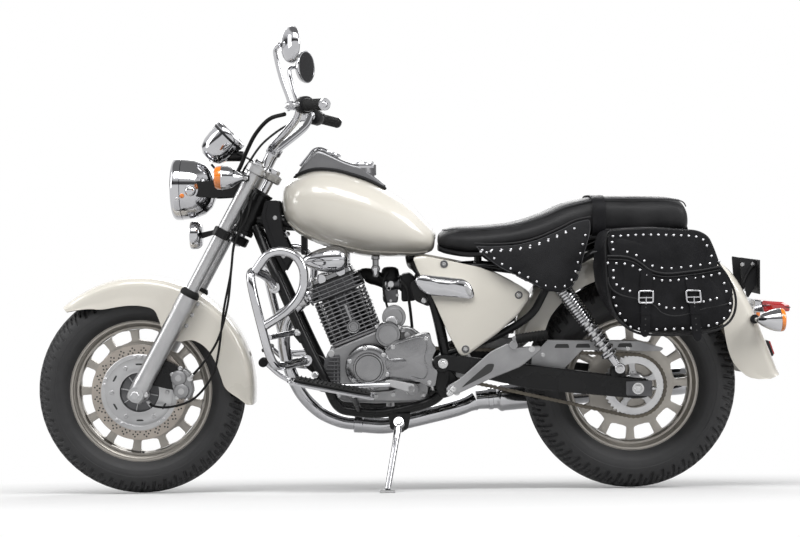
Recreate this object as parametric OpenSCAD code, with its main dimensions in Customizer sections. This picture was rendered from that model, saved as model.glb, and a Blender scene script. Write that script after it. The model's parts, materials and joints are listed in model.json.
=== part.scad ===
// Cruiser motorcycle, parked on its side stand. Millimetres.
// The machine is drawn upright: X forward from the rear axle, Y to the left, Z up from the
// ground. parked() then leans it onto the stand and puts the origin under its middle.

/* [Overall] */
// Distance between the wheel centres
wheelbase = 1422; // [1380:2:1720]
// Lean to the left when parked, in degrees
lean = 9; // [7:0.5:11]
// Angle of the fork from upright, in degrees
rake = 28.7; // [26:0.1:31]
// Distance across the handlebar's ends
bar_w = 770; // [640:10:930]

/* [Front wheel] */
// Outer radius of the front tyre
front_r = 302; // [290:1:312]
// Width of the front tyre
front_w = 110; // [90:1:114]
// Radius at which the front tyre's bead sits
front_bead_r = 203; // [195:1:210]
// Number of windows in the front wheel
front_windows = 13; // [7:1:15]
// Radius of the front brake disc
disc_r = 138; // [120:1:142]
// Thickness of the front brake disc
disc_t = 5; // [3.5:0.5:6]

/* [Rear wheel] */
// Outer radius of the rear tyre
rear_r = 307.5; // [290:0.5:312]
// Width of the rear tyre
rear_w = 130; // [108:1:134]
// Radius at which the rear tyre's bead sits
rear_bead_r = 190.5; // [180:0.5:200]
// Number of windows in the rear wheel
rear_windows = 12; // [7:1:14]
// Pitch radius of the rear sprocket
sprocket_r = 89; // [74:1:107]
// Pitch radius of the gearbox sprocket
drive_r = 32; // [26:1:38]

/* [Fork] */
// Distance from the fork legs to the steering axis, fore and aft
fork_offset = 42; // [36:1:50]
// Distance of each fork leg from the middle
leg_y = 97; // [95:1:116]
// Radius of the fork's inner tubes
tube_r = 18.5; // [16:0.5:22]
// Radius of the fork's sliders
slider_r = 28; // [26:0.5:29]
// Height of the sliders above the axle, along the leg
slider_len = 331; // [280:1:390]
// Height of the lower yoke above the axle, along the leg
low_yoke = 507; // [500:1:520]
// Height of the upper yoke above the axle, along the leg
top_yoke = 712; // [700:1:740]
// Radius of the steering stem
stem_r = 13; // [11:0.5:15]
// Radius of the axles
axle_r = 8; // [7:0.5:10]

/* [Body] */
// Greatest half width of the tank
tank_w = 145; // [122:1:174]
// Greatest half width of the seat
seat_w = 150; // [130:1:158]
// Half width of the rear fender
rear_fender_w = 95; // [85:1:98]
// Half width of the front fender
front_fender_w = 66; // [62:1:68]
// Thickness of the fenders' sheet
sheet = 4; // [2:0.5:5]
// Distance of the bags' inner faces from the middle
bag_y = 168; // [166:1:180]
// Thickness of each bag
bag_t = 150; // [125:5:180]
// Radius of the headlamp
lamp_r = 90; // [75:1:106]

/* [Frame] */
// Radius of the cradle's tubes
cradle_r = 14; // [11:0.5:15]
// Radius of the tubes under the seat
rail_r = 11; // [9:0.5:12]
// Inner face of each swingarm leg from the middle
arm_y = 125; // [124:1:130]
// Thickness of each swingarm leg
arm_t = 22; // [18:1:26]
// Radius of the engine guard's tube
guard_r = 12.5; // [10:0.5:15]

/* [Hidden] */
$fn = 48;

// Running clearance of a pin in its bore, and the gap left between seated pieces.
fit = 0.5;
seat_gap = 0.3;
// Clear distance kept between a turning piece and its neighbours.
clear = 5;

// Ground contact: a leaning tyre rests on the side of its round tread.
front_crown = front_w / 2;
rear_crown = rear_w / 2;
lift = front_crown * (1 - cos(lean));
front_z = front_r;
rear_z = rear_r - rear_crown + (rear_crown - lift) / cos(lean);

// Rearmost point of the machine, and the middle of its box.
tail_x = -456;
centre_x = (wheelbase + front_r + tail_x) / 2;
centre_y = 1010 * sin(lean);
// How far the front end, which is drawn for a wheelbase of 1422, moves with the front axle.
nose = wheelbase - 1422;

// Places of the frame's hard points.
pivot = [549, 0, 385];
drive = [625, 0, 392];
shock_low = [54, 0, 367];
shock_top = [239, 0, 632];
shock_y = arm_y + arm_t + 3;
stand_pivot = [675, 140, 217];
cyl_base = [795, 0, 450];
cyl_tilt = 21;
chain_y = rear_w / 2 + 15;
chain_t = 12;
// Half width of the crankcase beside the chain.
case_y = chain_y - 16;
cradle_y = arm_y - cradle_r - 3;
// Half width of the tank's tunnel over the backbone.
tunnel_y = 36;
// Ends of the wheel hubs from the middle, and the inner face of the brake disc.
hub_left = 62;
hub_right = 50;
rear_hub = 66;
disc_y = 54;
caliper_y = disc_y + disc_t / 2;

function unit(v) = v / max(norm(v), 0.001);
function tangent(p, i) = unit(p[min(i + 1, len(p) - 1)] - p[max(i - 1, 0)]);
function circle_pts(r, n) = [for (k = [0:n - 1]) r * [cos(360 * k / n), sin(360 * k / n)]];
// A section carried to point i of path p; ref is any direction that the path never takes.
function ring(p, i, section, ref) =
    let (t = tangent(p, i), u = unit(cross(ref, t)), v = cross(t, u))
    [for (s = section) p[i] + u * s[0] + v * s[1]];
// A smooth curve through the points, n steps between each two (Catmull-Rom).
function curve(p, n) = concat([for (i = [0:len(p) - 2], k = [0:n - 1])
    let (a = p[max(i - 1, 0)], b = p[i], c = p[i + 1], d = p[min(i + 2, len(p) - 1)], t = k / n)
    0.5 * (2 * b + (c - a) * t + (2 * a - 5 * b + 4 * c - d) * t * t
        + (3 * b - a - 3 * c + d) * t * t * t)], [p[len(p) - 1]]);
function mirror_y(p) = [for (q = p) [q[0], -q[1], q[2]]];
// Power curve used for rounded box sections; k of 2 is an ellipse, more is squarer.
function power(x, k) = sign(x) * pow(abs(x), 2 / k);
function oval(w, h, k, n) =
    [for (j = [0:n - 1]) let (a = 360 * j / n) [w * power(cos(a), k), h * power(sin(a), k)]];
// The outline of a belt round two circles in a plane, with n steps on each.
function arc_pts(c, r, a0, a1, n) =
    [for (k = [0:n]) let (a = a0 + (a1 - a0) * k / n) c + r * [cos(a), sin(a)]];
function belt_pts(a, ra, b, rb, n) =
    let (d = b - a, t = atan2(d[1], d[0]), s = acos((ra - rb) / norm(d)))
    concat(arc_pts(a, ra, t + s, t + 360 - s, n), arc_pts(b, rb, t - s, t + s, n));
// Fork frame to bike frame: x ahead of the legs' line, z up the leg from the axle.
function fork_pt(x, y, z) =
    [wheelbase + x * cos(rake) - z * sin(rake), y, front_z + x * sin(rake) + z * cos(rake)];
function cyl_pt(x, y, z) = cyl_base
    + [x * cos(cyl_tilt) + z * sin(cyl_tilt), y, z * cos(cyl_tilt) - x * sin(cyl_tilt)];
function head_pt(z) = fork_pt(-fork_offset, 0, z);

module parked() translate([-centre_x, -centre_y, lift]) rotate([-lean, 0, 0]) children();
module pair() {
    children();
    mirror([0, 1, 0]) children();
}
module at_fork() translate([wheelbase, 0, front_z]) rotate([0, -rake, 0]) children();
module at_cylinder() translate(cyl_base) rotate([0, cyl_tilt, 0]) children();
// A cylinder along Y between two distances from the middle.
module bar_y(p, r, y0, y1) translate([p[0], y0, p[2]]) rotate([-90, 0, 0]) cylinder(r = r, h = y1 - y0);
// A flat plate drawn as x, z and thick along Y.
module plate(outline, y0, y1)
    translate([0, y1, 0]) rotate([90, 0, 0]) linear_extrude(y1 - y0) polygon(outline);
// A straight rod between two points.
module rod(a, b, r) {
    d = b - a;
    translate(a) rotate([0, acos(d[2] / norm(d)), atan2(d[1], d[0])]) cylinder(r = r, h = norm(d));
}
// A closed solid over rings of points; strip caps suit sections that fold back on themselves.
module skin(rings, strip = false) {
    n = len(rings);
    m = len(rings[0]);
    last = (n - 1) * m;
    flat = [[for (j = [0:m - 1]) j], [for (j = [m - 1:-1:0]) last + j]];
    folded = [for (j = [0:m / 2 - 2]) each [[j, j + 1, m - 2 - j, m - 1 - j],
        [last + j, last + m - 1 - j, last + m - 2 - j, last + j + 1]]];
    sides = [for (i = [0:n - 2], j = [0:m - 1]) let (a = i * m + j, b = i * m + (j + 1) % m)
        each [[a, a + m, b + m], [a, b + m, b]]];
    polyhedron(points = [for (r = rings) each r], faces = concat(strip ? folded : flat, sides));
}
module tube(path, r, sides = 12, ref = [0, 1, 0]) {
    skin([for (i = [0:len(path) - 1]) ring(path, i, circle_pts(r, sides), ref)]);
}

// ---- Frame and running gear ----

cradle = [
    [1083 + nose, 26, 776], [1061 + nose, 44, 724], [1015, 92, 622], [938, 100, 445], [885, 100, 335],
    [850, 98, 262], [800, 96, 244], [714, 96, 240], [590, 100, 268], [540, cradle_y, 318],
    [538, cradle_y, 390], [566, cradle_y, 530], [600, 100, 622], [622, 70, 655], [634, 28, 664],
        [640, 18, 700]
];
seat_rail = [[600, 98, 634], [450, 112, 655], [239, 120, 640], [70, 121, 711], [-40, 121, 712],
    [-150, 118, 712]];
low_rail = [[541, cradle_y, 408], [413, 118, 450], [305, 119, 511], [262, 119, 575], [239, 120, 632]];
backbone = [head_pt(590) - [22, 0, 8], [960, 0, 782], [640, 0, 716]];

module main_frame() color("black") difference() {
    union() {
        at_fork() translate([-fork_offset, 0, low_yoke + 33]) cylinder(r = 28, h = top_yoke - low_yoke - 38);
        tube(backbone, 22, 16);
        pair() {
            tube(cradle, cradle_r, 12, [0, 0.97, 0.24]);
            tube(seat_rail, rail_r, 10);
            tube(low_rail, rail_r, 10);
            bar_y(pivot, 20, cradle_y - 18, arm_y - 1);
            bar_y(shock_top, 9, 110, shock_y + 28);
            bar_y([530, 0, 312], 11, cradle_y - 4, 157);
            translate([440, 40, 655]) cylinder(r = 9, h = lookup(440, seat_under) - 655 - seat_gap);
        }
        bar_y([907, 0, 332], 12, -100, 100);
        bar_y([575, 0, 290], 13, -100, 100);
        bar_y([603, 0, 632], 12, -98, 98);
        bar_y([930, 0, 780], 10, -tunnel_y + seat_gap, tunnel_y - seat_gap);
        bar_y([-144, 0, 712.4], 8, -118, 118);
        bar_y([440, 0, 655], 10, -112, 112);
        // Engine mounts and the side stand's lug.
        pair() plate([[893.6, 350], [893.6, 380], [925, 400], [905, 345]], 62, 98);
        plate([[640, 240], [706, 240], [700, 190], [650, 190]], 96, 112);
        at_stand() translate([0, 0, -44]) cylinder(r = 13, h = 44 - stand_eye - fit);
        at_stand() translate([0, 0, -44]) cylinder(r = stand_pin, h = 48 + stand_eye);
        at_stand() translate([0, 0, stand_eye + fit]) cylinder(r = 11, h = 5);
    }
    at_fork() translate([-fork_offset, 0, 0]) cylinder(r = stem_r + fit, h = top_yoke);
    bar_y(pivot, axle_r + fit, -200, 200);
}

module neck_cover() color("#1c1c1e") difference() {
    translate([nose, 0, 0]) pair() {
        plate([[1052, 850], [1066, 800], [1038, 716], [1000, 640], [972, 690], [1000, 752], [1012, 850]],
            49, 56);
        bar_y([1020, 0, 793], 8, 22 + seat_gap, 50);
    }
    at_fork() translate([-fork_offset, 0, 0]) cylinder(r = 40, h = top_yoke + 60);
}

module swingarm() color("#202022") {
    pair() difference() {
        plate([[570, 405], [528, 408], [-28, 332], [-45, rear_z], [-28, 284], [300, 312], [528, 362],
            [570, 366]],
            arm_y, arm_y + arm_t);
        bar_y(pivot, axle_r + fit, arm_y - 1, arm_y + arm_t + 1);
    }
    bar_y([478, 0, 376], 20, -arm_y, arm_y);
    pair() bar_y([54, 0, 350], 12, arm_y + 4, arm_y + arm_t);
    pair() bar_y(shock_low, 8, arm_y + arm_t - 12, shock_y + 28);
    pair() plate([[34, 340], [34, 372], [46, 380], [64, 380], [76, 372], [76, 340]],
        arm_y + 6, arm_y + arm_t);
    bar_y([0, 0, rear_z], axle_r, -arm_y - arm_t - 6, arm_y + arm_t + 6);
    pair() bar_y([0, 0, rear_z], 14, arm_y + arm_t, arm_y + arm_t + 14);
    bar_y(pivot, axle_r, -arm_y - arm_t - 4, arm_y + arm_t + 4);
    pair() bar_y(pivot, 15, arm_y + arm_t, arm_y + arm_t + 12);
}

module rear_shocks() color("silver") pair() difference() {
    d = shock_top - shock_low;
    union() {
        bar_y(shock_low, 14, shock_y - 1, shock_y + 25);
        bar_y(shock_top, 14, shock_y - 1, shock_y + 25);
        translate([0, shock_y + 12, 0]) {
            rod(shock_low, shock_low + d * 0.2, 11);
            rod(shock_low + d * 0.14, shock_low + d * 0.9, 24);
            rod(shock_low + d * 0.88, shock_top, 11);
        }
    }
    bar_y(shock_low, 8 + seat_gap, 100, 220);
    bar_y(shock_top, 9 + seat_gap, 100, 220);
}

// ---- Tank, seat and panels ----

// Tank stations: x, underside, top, share of the full half width, squareness.
tank_st = [
    [563, 728, 742, 0.10, 2], [570, 700, 760, 0.42, 2.1], [588, 690, 783, 0.58, 2.2],
    [627, 682, 824, 0.74, 2.3], [667, 682, 854, 0.85, 2.4], [707, 682, 877, 0.93, 2.5],
    [759, 684, 903, 0.98, 2.5], [808, 694, 920, 1, 2.5], [857, 706, 932, 0.99, 2.5],
    [910, 725, 934, 0.93, 2.4], [955, 748, 921, 0.8, 2.3], [985, 775, 903, 0.6, 2.2],
    [1000, 800, 885, 0.36, 2.1], [1006, 832, 858, 0.1, 2]
];
tank_top = [for (s = tank_st) [s[0], s[2]]];
function tank_z(x) = lookup(x, tank_top);
// Height of the tank's underside at a place along it and a distance from its middle.
function tank_column(k) = [for (s = tank_st) [s[0], s[k]]];
function tank_low(x, y) =
    let (low = lookup(x, tank_column(1)), w = tank_w * lookup(x, tank_column(3)),
        k = lookup(x, tank_column(4)))
    (low + tank_z(x)) / 2 - (tank_z(x) - low) / 2 * pow(1 - pow(y / w, k), 1 / k);

module fuel_tank() color("#d6d0c0") difference() {
    skin([for (s = tank_st) let (mid = (s[1] + s[2]) / 2, half = (s[2] - s[1]) / 2)
        [for (q = oval(tank_w * s[3], half, s[4], 24)) [s[0], q[0], mid + q[1]]]]);
    plate([[500, 600], [500, 742], [700, 772], [1100, 836], [1100, 600]], -tunnel_y, tunnel_y);
}

// The fuel cap's middle and radius, the height of its seat, and its thickness.
cap_x = 775;
cap_r = 32;
cap_z = 944;
cap_t = 12;
cap_hinge = [cap_x - cap_r, 0, cap_z + cap_t];
cap_seat = tank_z(cap_x + cap_r + 3) + fit;
module tank_console() color("#8f8f90") difference() {
    union() {
        plate(concat([[741, 921], [778, cap_z + 6], [815, cap_z + 12], [826, 962], [895, 998], [914, 992],
            [952, 944]],
            [for (x = [966, 955, 910, 857, 808, 759, 707]) [x, tank_z(x) + fit]]), -42, 42);
        translate([cap_x, 0, cap_seat]) cylinder(r = cap_r + 3, h = cap_z - cap_seat);
        translate([cap_hinge[0] - 10, -10, cap_z - 36]) cube([9, 20, 32 + cap_t]);
    }
    translate([cap_x, 0, cap_z]) cylinder(r = cap_r + 1.5, h = 60);
}
module fuel_cap() color("silver") {
    translate([cap_x, 0, cap_z + fit]) cylinder(r = cap_r, h = cap_t);
    translate([cap_x, 0, cap_z + cap_t + fit - 0.1]) cylinder(r = cap_r - 8, h = 5);
    bar_y(cap_hinge, 3.5, -10, 10);
}

// Seat stations: x, underside, top, half width as a share, squareness.
seat_st = [
    [-157, 745, 790, 0.55, 2.6], [-148, 736, 822, 0.76, 3], [-120, 735, 846, 0.84, 3.2],
    [0, 727.7, 852, 0.87, 3.4], [100, 727, 852, 0.87, 3.4], [140, 724, 846, 0.88, 3.2],
    [200, 716, 832, 0.92, 3], [260, 706, 806, 0.97, 3], [330, 695, 785, 1, 3],
    [400, 686, 774, 0.98, 3], [470, 681, 770, 0.88, 3], [530, 690, 768, 0.7, 2.8],
    [556, 699, 758, 0.55, 2.5]
];
seat_under = [for (s = seat_st) [s[0], s[1]]];
module seat() color("#1b1b1c") skin([for (s = seat_st)
    let (mid = (s[1] + s[2]) / 2, half = (s[2] - s[1]) / 2)
    [for (q = oval(seat_w * s[3], half, s[4], 24)) [s[0], q[0], mid + q[1]]]]);

skirt_out = 16;
module seat_skirts() color("#1b1b1c") pair() translate([0, seat_w + 3.2, 730]) rotate([skirt_out, 0, 0])
    plate([[462, -12], [411, -14], [342, -10], [282, 2], [217, 26], [174, 44], [140, 50], [140, 0],
        [152, -60], [163, -100], [185, -138], [215, -154], [262, -150], [301, -130], [394, -80], [435, -45]],
            0, 4);

side_y0 = 136;
side_y1 = 150;
module side_covers() color("#d6d0c0") pair() {
    plate([[632, 676], [565, 674], [520, 672], [445, 655], [394, 636], [330, 602], [300, 584], [307, 558],
        [335, 520], [392, 469], [457, 423], [485, 405], [506, 406], [533, 467], [577, 570], [617, 640]],
        side_y0, side_y1);
    bar_y([474, 0, 430.5], 6, 129 + seat_gap, side_y0);
    bar_y([590, 0, 662], 6, 110, side_y0);
}
module side_scoops() color("silver") pair()
    plate([[626, 622], [610, 636], [485, 622], [466, 603], [458, 575], [468, 566], [593, 580], [618, 600]],
        side_y1 + seat_gap, side_y1 + 24);

rear_crown_line = [
    [338, 0, 455], [330, 0, 500], [300, 0, 565], [232, 0, 636], [132, 0, 690], [0, 0, 716], [-100, 0, 714],
    [-195, 0, 692], [-278, 0, 640], [-335, 0, 553], [-378, 0, 450], [-423, 0, 338]
];
// Fender section as height and y: a round crown and side walls, outer face and then back inside.
function arch(w, drop, t) =
    let (n = 8, crown = [for (k = [0:n]) let (a = 180 - 180 * k / n)
        [power(sin(a), 3) - 1, power(cos(a), 3)]])
    concat([[-drop, -w]], [for (c = crown) [c[0] * w * 0.45, c[1] * w]], [[-drop, w], [-drop, w - t]],
        [for (k = [n:-1:0]) [crown[k][0] * w * 0.45 - t, crown[k][1] * (w - t)]], [[-drop, t - w]]);
module rear_fender() color("#d6d0c0") {
    n = len(rear_crown_line);
    skin([for (i = [0:n - 1]) ring(rear_crown_line, i,
        arch(rear_fender_w, i == n - 1 ? 62 : 80, sheet), [0, 1, 0])], true);
    pair() bar_y([205, 0, 630], 8, rear_fender_w - sheet, 109 - seat_gap);
}

module tail_lamp() {
    color("silver") plate([[-352, 512], [-356, 548], [-372, 546], [-380, 512]], -58, 58);
    color("#a81818") plate([[-372 - seat_gap, 546], [-440, 540], [-456, 528], [-456, 512],
        [-380 - seat_gap, 510]], -55, 55);
}
bullet_y = 150;
module bullet(lens) {
    rotate_extrude() polygon([[0, 0], [12, 4], [24, 16], [31, 34], [33, 58], [33, 70], [30, 74 + lens],
        [0, 80 + lens]]);
}
module rear_indicators() color("#c8c8c8") pair() {
    translate([-330, bullet_y, 496]) rotate([0, -90, 0]) bullet(8);
    bar_y([-342, 0, 496], 7, rear_fender_w - sheet, bullet_y - 4);
}
module plate_bracket() color("#1c1c1e") difference() {
    union() {
        plate([[-311, 671], [-357, 663], [-357, 590], [-333.2, 551.5], [-327.6, 560.3], [-326, 588],
            [-317, 589]], -54, -51);
        plate([[-311, 671], [-357, 663], [-357, 590], [-333.2, 551.5], [-327.6, 560.3], [-326, 588],
            [-317, 589]], 51, 54);
        plate([[-357, 663], [-360, 663], [-360, 566], [-357, 566]], -90, 90);
    }
    for (x = [-318, -348]) bar_y([x, 0, 650], 4, -60, 60);
    for (y = [-70, 70]) translate([-400, y, 615]) rotate([0, 90, 0]) cylinder(r = 3.25, h = 60);
}

module saddlebags() color("#1b1b1c") {
    pair() plate([[106, 752], [-14, 757], [-146, 752], [-179, 723], [-197, 673], [-215, 640], [-243, 561],
        [-245, 536], [-230, 503], [-193, 476], [-135, 467], [6, 473], [62, 500], [98, 540], [124, 590],
        [134, 656], [128, 711]], bag_y, bag_y + bag_t);
    plate([[70, 722.2], [70, 726.2], [-60, 727.2], [-60, 723.2]], -bag_y, bag_y);
}

// ---- Engine ----

module crankcase() color("#9a9a9a") {
    plate([[714, 481], [720, 479], [874, 420], [893, 360], [870, 302], [838, 266], [600, 266], [590, 300],
        [590, 440], [640, 478]], -case_y, case_y);
    plate([[714, 481], [720, 479], [874, 420], [893, 360], [870, 302], [838, 280], [700, 280], [696, 470]],
        -84, 84);
    bar_y([686, 0, 512], 30, -30, 84);
}
fin_n = 11;
fin_pitch = 11.5;
cyl_h = 10 + fin_n * fin_pitch;
module cylinder_block() color("#55565a") at_cylinder() {
    translate([0, 0, seat_gap]) cylinder(r = 52, h = cyl_h - 2 * seat_gap);
    for (k = [0:fin_n - 1]) translate([-80, -72, 10 + k * fin_pitch]) cube([160, 144, 5]);
}
module cylinder_head() color("#6a6b6e") at_cylinder() translate([0, 0, cyl_h]) {
    translate([-60, -58, 0]) cube([120, 116, 46]);
    for (k = [0:3]) translate([-78, -70, 4 + k * fin_pitch]) cube([156, 140, 5]);
    translate([-64, -62, 46]) cube([128, 124, 32]);
}
module engine_covers() color("silver") {
    bar_y([759, 0, 374], 66, 84 + seat_gap, 146);
    bar_y([759, 0, 374], 43, 146, 160);
    bar_y([703, 0, 466], 36, 84 + seat_gap, 130);
    plate([[712, 420], [680, 452], [600, 470], [578, 440], [578, 400], [580, 362], [574, 345], [582, 318],
        [612, 330], [704, 346]], 94, 146);
    bar_y([690, 0, 366], 92, -150, -84 - seat_gap);
    bar_y([800, 0, 392], 44, -136, -84 - seat_gap);
}
// Middle of the fuel tap, and the radius of its neck.
tap = [737, 0, 650];
tap_r = 9;
module carburettor() color("#3a3a3c") {
    rod(cyl_pt(-79.4, 0, 158), cyl_pt(-98, 0, 158), 20);
    rod(cyl_pt(-94, 0, 158), [700, 0, 606], 20);
    rod([710, 0, 606], [660, 0, 606], 24);
    translate([672, -30, 548]) cube([48, 60, 100]);
    translate([620, -42, 552]) cube([46, 84, 86]);
    // Fuel tap under the tank.
    bar_y(tap, 13, 44, 80);
    translate([tap[0], 60, tap[2]]) cylinder(r = tap_r, h = tank_low(tap[0], 60 - tap_r) - seat_gap - tap[2]);
    rod([tap[0], 60, tap[2]], [708, 28, 620], 5);
}

exhaust_y = 150;
header = [
    cyl_pt(81.5, -20, 160), cyl_pt(94, -21, 160), cyl_pt(116, -38, 152), [990, -58, 516], [1010, -60, 462],
        [1012, -66, 412], [1000, -88, 350],
    [968, -122, 272], [915, -146, 212], [853, -exhaust_y, 182], [804, -exhaust_y, 174]
];
collector = [[804, -exhaust_y, 174], [717, -exhaust_y, 168], [642, -152, 184], [507, -165, 214],
    [437, -182, 236]];
silencer_a = [440, -184, 238];
silencer_b = [-210, -206, 288];
module exhaust() color("silver") {
    tube(curve(header, 2), 19, 14, [0, 1, 0.4]);
    tube(collector, 25, 14, [0, 1, 0]);
    rod(silencer_a + (silencer_b - silencer_a) * 0.1, silencer_b, 42);
    rod(silencer_a, silencer_a + (silencer_b - silencer_a) * 0.12, 30);
}

// ---- Guards, boards and small chassis parts ----

guard_hoop = [
    [1023.6, 110, 602.4], [1046, 150, 636], [1074, 214, 652], [1076, 244, 622], [1050, 250, 506],
        [1024, 240, 410],
    [1000, 200, 388], [960, 150, 392], [932, 120, 396]
];
guard_loop = [[1066, 230, 654], [1030, 240, 698], [990, 240, 708], [952, 240, 692], [932, 240, 652],
    [938, 240, 596], [976, 240, 546], [1046, 246, 500]];
module engine_guards() color("silver") pair() {
    tube(curve(guard_hoop, 2), guard_r, 12, [0, 0.3, 1]);
    tube(curve(guard_loop, 2), guard_r, 12, [0, 1, 0]);
}
module horn_cover() color("silver") pair() {
    intersection() {
        translate([900, 70, 678]) rotate([0, 6, 0]) scale([1, 0.55, 0.42]) sphere(r = 92);
        plate([[985, 640], [985, 716], [950, 722], [812, 690], [812, 640]], 72, 140);
    }
    plate([[936, 690], [936, 772], [952, 772], [952, 690]], 22 + seat_gap, 28);
    bar_y([944, 0, 700], 6, 26, 74);
}
board_w = 100;
board_y = 200;
module footboards() color("#2a2a2b") pair() {
    plate([[969, 348], [966, 360], [743, 316], [741, 300], [900, 330]], board_y, board_y + board_w);
    rod([880, cradle_r + 100.5, 322], [880, board_y + 4, 330], 10);
    rod([790, cradle_r + 96.5, 252], [800, board_y + 10, 306], 9);
}
module foot_levers() {
    color("silver") tube([[640, 156, 316], [700, 166, 332], [830, 176, 352], [985, 178, 352],
        [1050, 184, 399]], 7, 10);
    color("#2a2a2b") bar_y([1050, 0, 399], 12, 182, 222);
    color("silver") bar_y([640, 0, 316], 9, case_y + seat_gap, 160);
    color("silver") bar_y([888, 0, 354], 9, -136, -cradle_r - 100 - seat_gap);
    color("silver") tube([[888, -128, 354], [960, -150, 350], [1010, -186, 360], [1060, -196, 400]], 8, 10);
    color("#2a2a2b") translate([1058, -262, 400]) rotate([0, 20, 0]) cube([34, 70, 12]);
}
peg_y = 157 + seat_gap;
module passenger_pegs() {
    color("silver") pair() plate([[540, 298], [538, 322], [505, 340], [416, 417], [365, 442], [356, 428],
        [276, 433], [272, 422],
        [332, 374], [417, 341], [509, 300]], peg_y, peg_y + 9);
    color("#2a2a2b") pair() translate([346, peg_y + 9, 452]) rotate([0, -82, 0]) cylinder(r = 13, h = 92);
    color("#2a2a2b") pair() translate([352, peg_y + 4, 436]) rotate([-90, 0, 0]) cylinder(r = 12, h = 14);
}
guard_y = chain_y + chain_t / 2 + 6;
module chain_guard() color("#232325") {
    plate([[300, 336], [294, 395], [248, 443], [-10, 437], [-83, 416], [-75, 407], [-19, 407], [66, 412],
        [150, 412],
        [225, 336]], guard_y, guard_y + 4);
    bar_y([262, 0, 346], 7, guard_y + 4, arm_y - seat_gap);
    plate([[248, 443], [-10, 437], [-10, 433], [248, 439]], rear_w / 2 + clear + 1, guard_y);
}
module drive_chain() color("#6b6459") {
    a = [0, rear_z];
    b = [drive[0], drive[2]];
    difference() {
        plate(belt_pts(a, sprocket_r + 6, b, drive_r + 6, 24), chain_y - chain_t / 2, chain_y + chain_t / 2);
        plate(belt_pts(a, sprocket_r - 4, b, drive_r - 4, 24), chain_y - chain_t, chain_y + chain_t);
    }
    bar_y(drive, drive_r - 4 + fit, chain_y - 4, chain_y + 4);
    bar_y(drive, 12, case_y + seat_gap, chain_y - 3);
}
// Inner face of the plate that closes the rear drum.
drum_y = rear_hub + clear + 0.5;
module rear_brake() color("silver") difference() {
    union() {
        bar_y([0, 0, rear_z], 74, -drum_y - 8, -drum_y);
        bar_y([44, 0, rear_z - 40], 12, -drum_y - 12, -drum_y - 7);
        plate([[30, 258], [60, 262], [66, 214], [52, 212]], -drum_y - 16, -drum_y - 10);
        bar_y([0, 0, rear_z], 15, -arm_y + seat_gap, -drum_y - 7);
    }
    bar_y([0, 0, rear_z], axle_r + seat_gap, -160, 0);
}

// ---- Steered assembly ----

yoke_t = 26;
yoke_x = 20;
module yoke(z, back) difference() {
    translate([0, 0, z]) {
        for (y = [-leg_y, leg_y]) translate([0, y, 0]) cylinder(r = tube_r + 10, h = yoke_t);
        translate([-fork_offset, 0, 0]) cylinder(r = 30, h = yoke_t);
        linear_extrude(yoke_t) polygon([[yoke_x, -leg_y], [yoke_x, leg_y], [-16, leg_y], [-back, 26],
            [-back, -26],
            [-16, -leg_y]]);
    }
    for (y = [-leg_y, leg_y]) translate([0, y, z - 1]) cylinder(r = tube_r, h = yoke_t + 2);
}
riser_top = 792;
module fork_yokes() color("silver") at_fork() {
    yoke(low_yoke, fork_offset);
    yoke(top_yoke, fork_offset);
    translate([-fork_offset, 0, low_yoke]) cylinder(r = stem_r, h = top_yoke - low_yoke + yoke_t);
    translate([-fork_offset, 0, top_yoke + yoke_t]) cylinder(r = 17, h = 12);
    for (y = [-50, 50]) translate([-14, y, top_yoke + yoke_t])
        cylinder(r = 14, h = riser_top - top_yoke - yoke_t - 11);
}
module fork_tubes() color("#cfcfd2") at_fork() for (y = [-leg_y, leg_y])
    translate([0, y, slider_len - 90]) cylinder(r = tube_r, h = top_yoke + yoke_t + 8 - slider_len + 90);
module fork_sliders() color("#b9b9bb") {
    at_fork() for (y = [-leg_y, leg_y]) translate([0, y, 0]) difference() {
        union() {
            translate([0, 0, -22]) cylinder(r1 = slider_r - 6, r2 = slider_r, h = 60);
            translate([0, 0, 38]) cylinder(r = slider_r, h = slider_len - 38);
        }
        translate([0, 0, slider_len - 91]) cylinder(r = tube_r + seat_gap, h = 120);
    }
    bar_y([wheelbase, 0, front_z], axle_r, -leg_y - slider_r - 6, leg_y + slider_r + 6);
    bar_y([wheelbase, 0, front_z], 15, hub_left + clear / 2, leg_y - slider_r + 3);
    bar_y([wheelbase, 0, front_z], 15, -leg_y + slider_r - 3, -hub_right - clear / 2);
    bar_y([wheelbase, 0, front_z], 14, leg_y + slider_r - 2, leg_y + slider_r + 12);
}

bar_r = 11;
grip_in = [915, 268, 1106];
grip_out = [862, bar_w / 2, 1098];
grip_dir = unit(grip_out - grip_in);
bar_half = [[1033, 0, 996], [1033, 58, 996], [1014, 100, 1012], [952, 182, 1070],
    grip_in - 46 * grip_dir, grip_in];
module handlebar() color("silver") {
    path = concat(mirror_y([for (k = [len(bar_half) - 1:-1:1]) bar_half[k]]), bar_half);
    translate([nose, 0, 0]) {
        tube(path, bar_r - 0.2, 12, [1, 0, 0]);
        pair() rod(grip_in - 44 * grip_dir, grip_out, bar_r);
    }
    at_fork() for (y = [-50, 50]) translate([-14, y, riser_top - 10.5]) cylinder(r = 14, h = 24);
}
grip_r = 16;
module grips() color("#1b1b1c") translate([nose, 0, 0]) pair() difference() {
    rod(grip_in + grip_dir * 4, grip_out + grip_dir * 6, grip_r);
    rod(grip_in, grip_out, bar_r + seat_gap);
}
lever_a = [955, 246, 1106];
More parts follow.
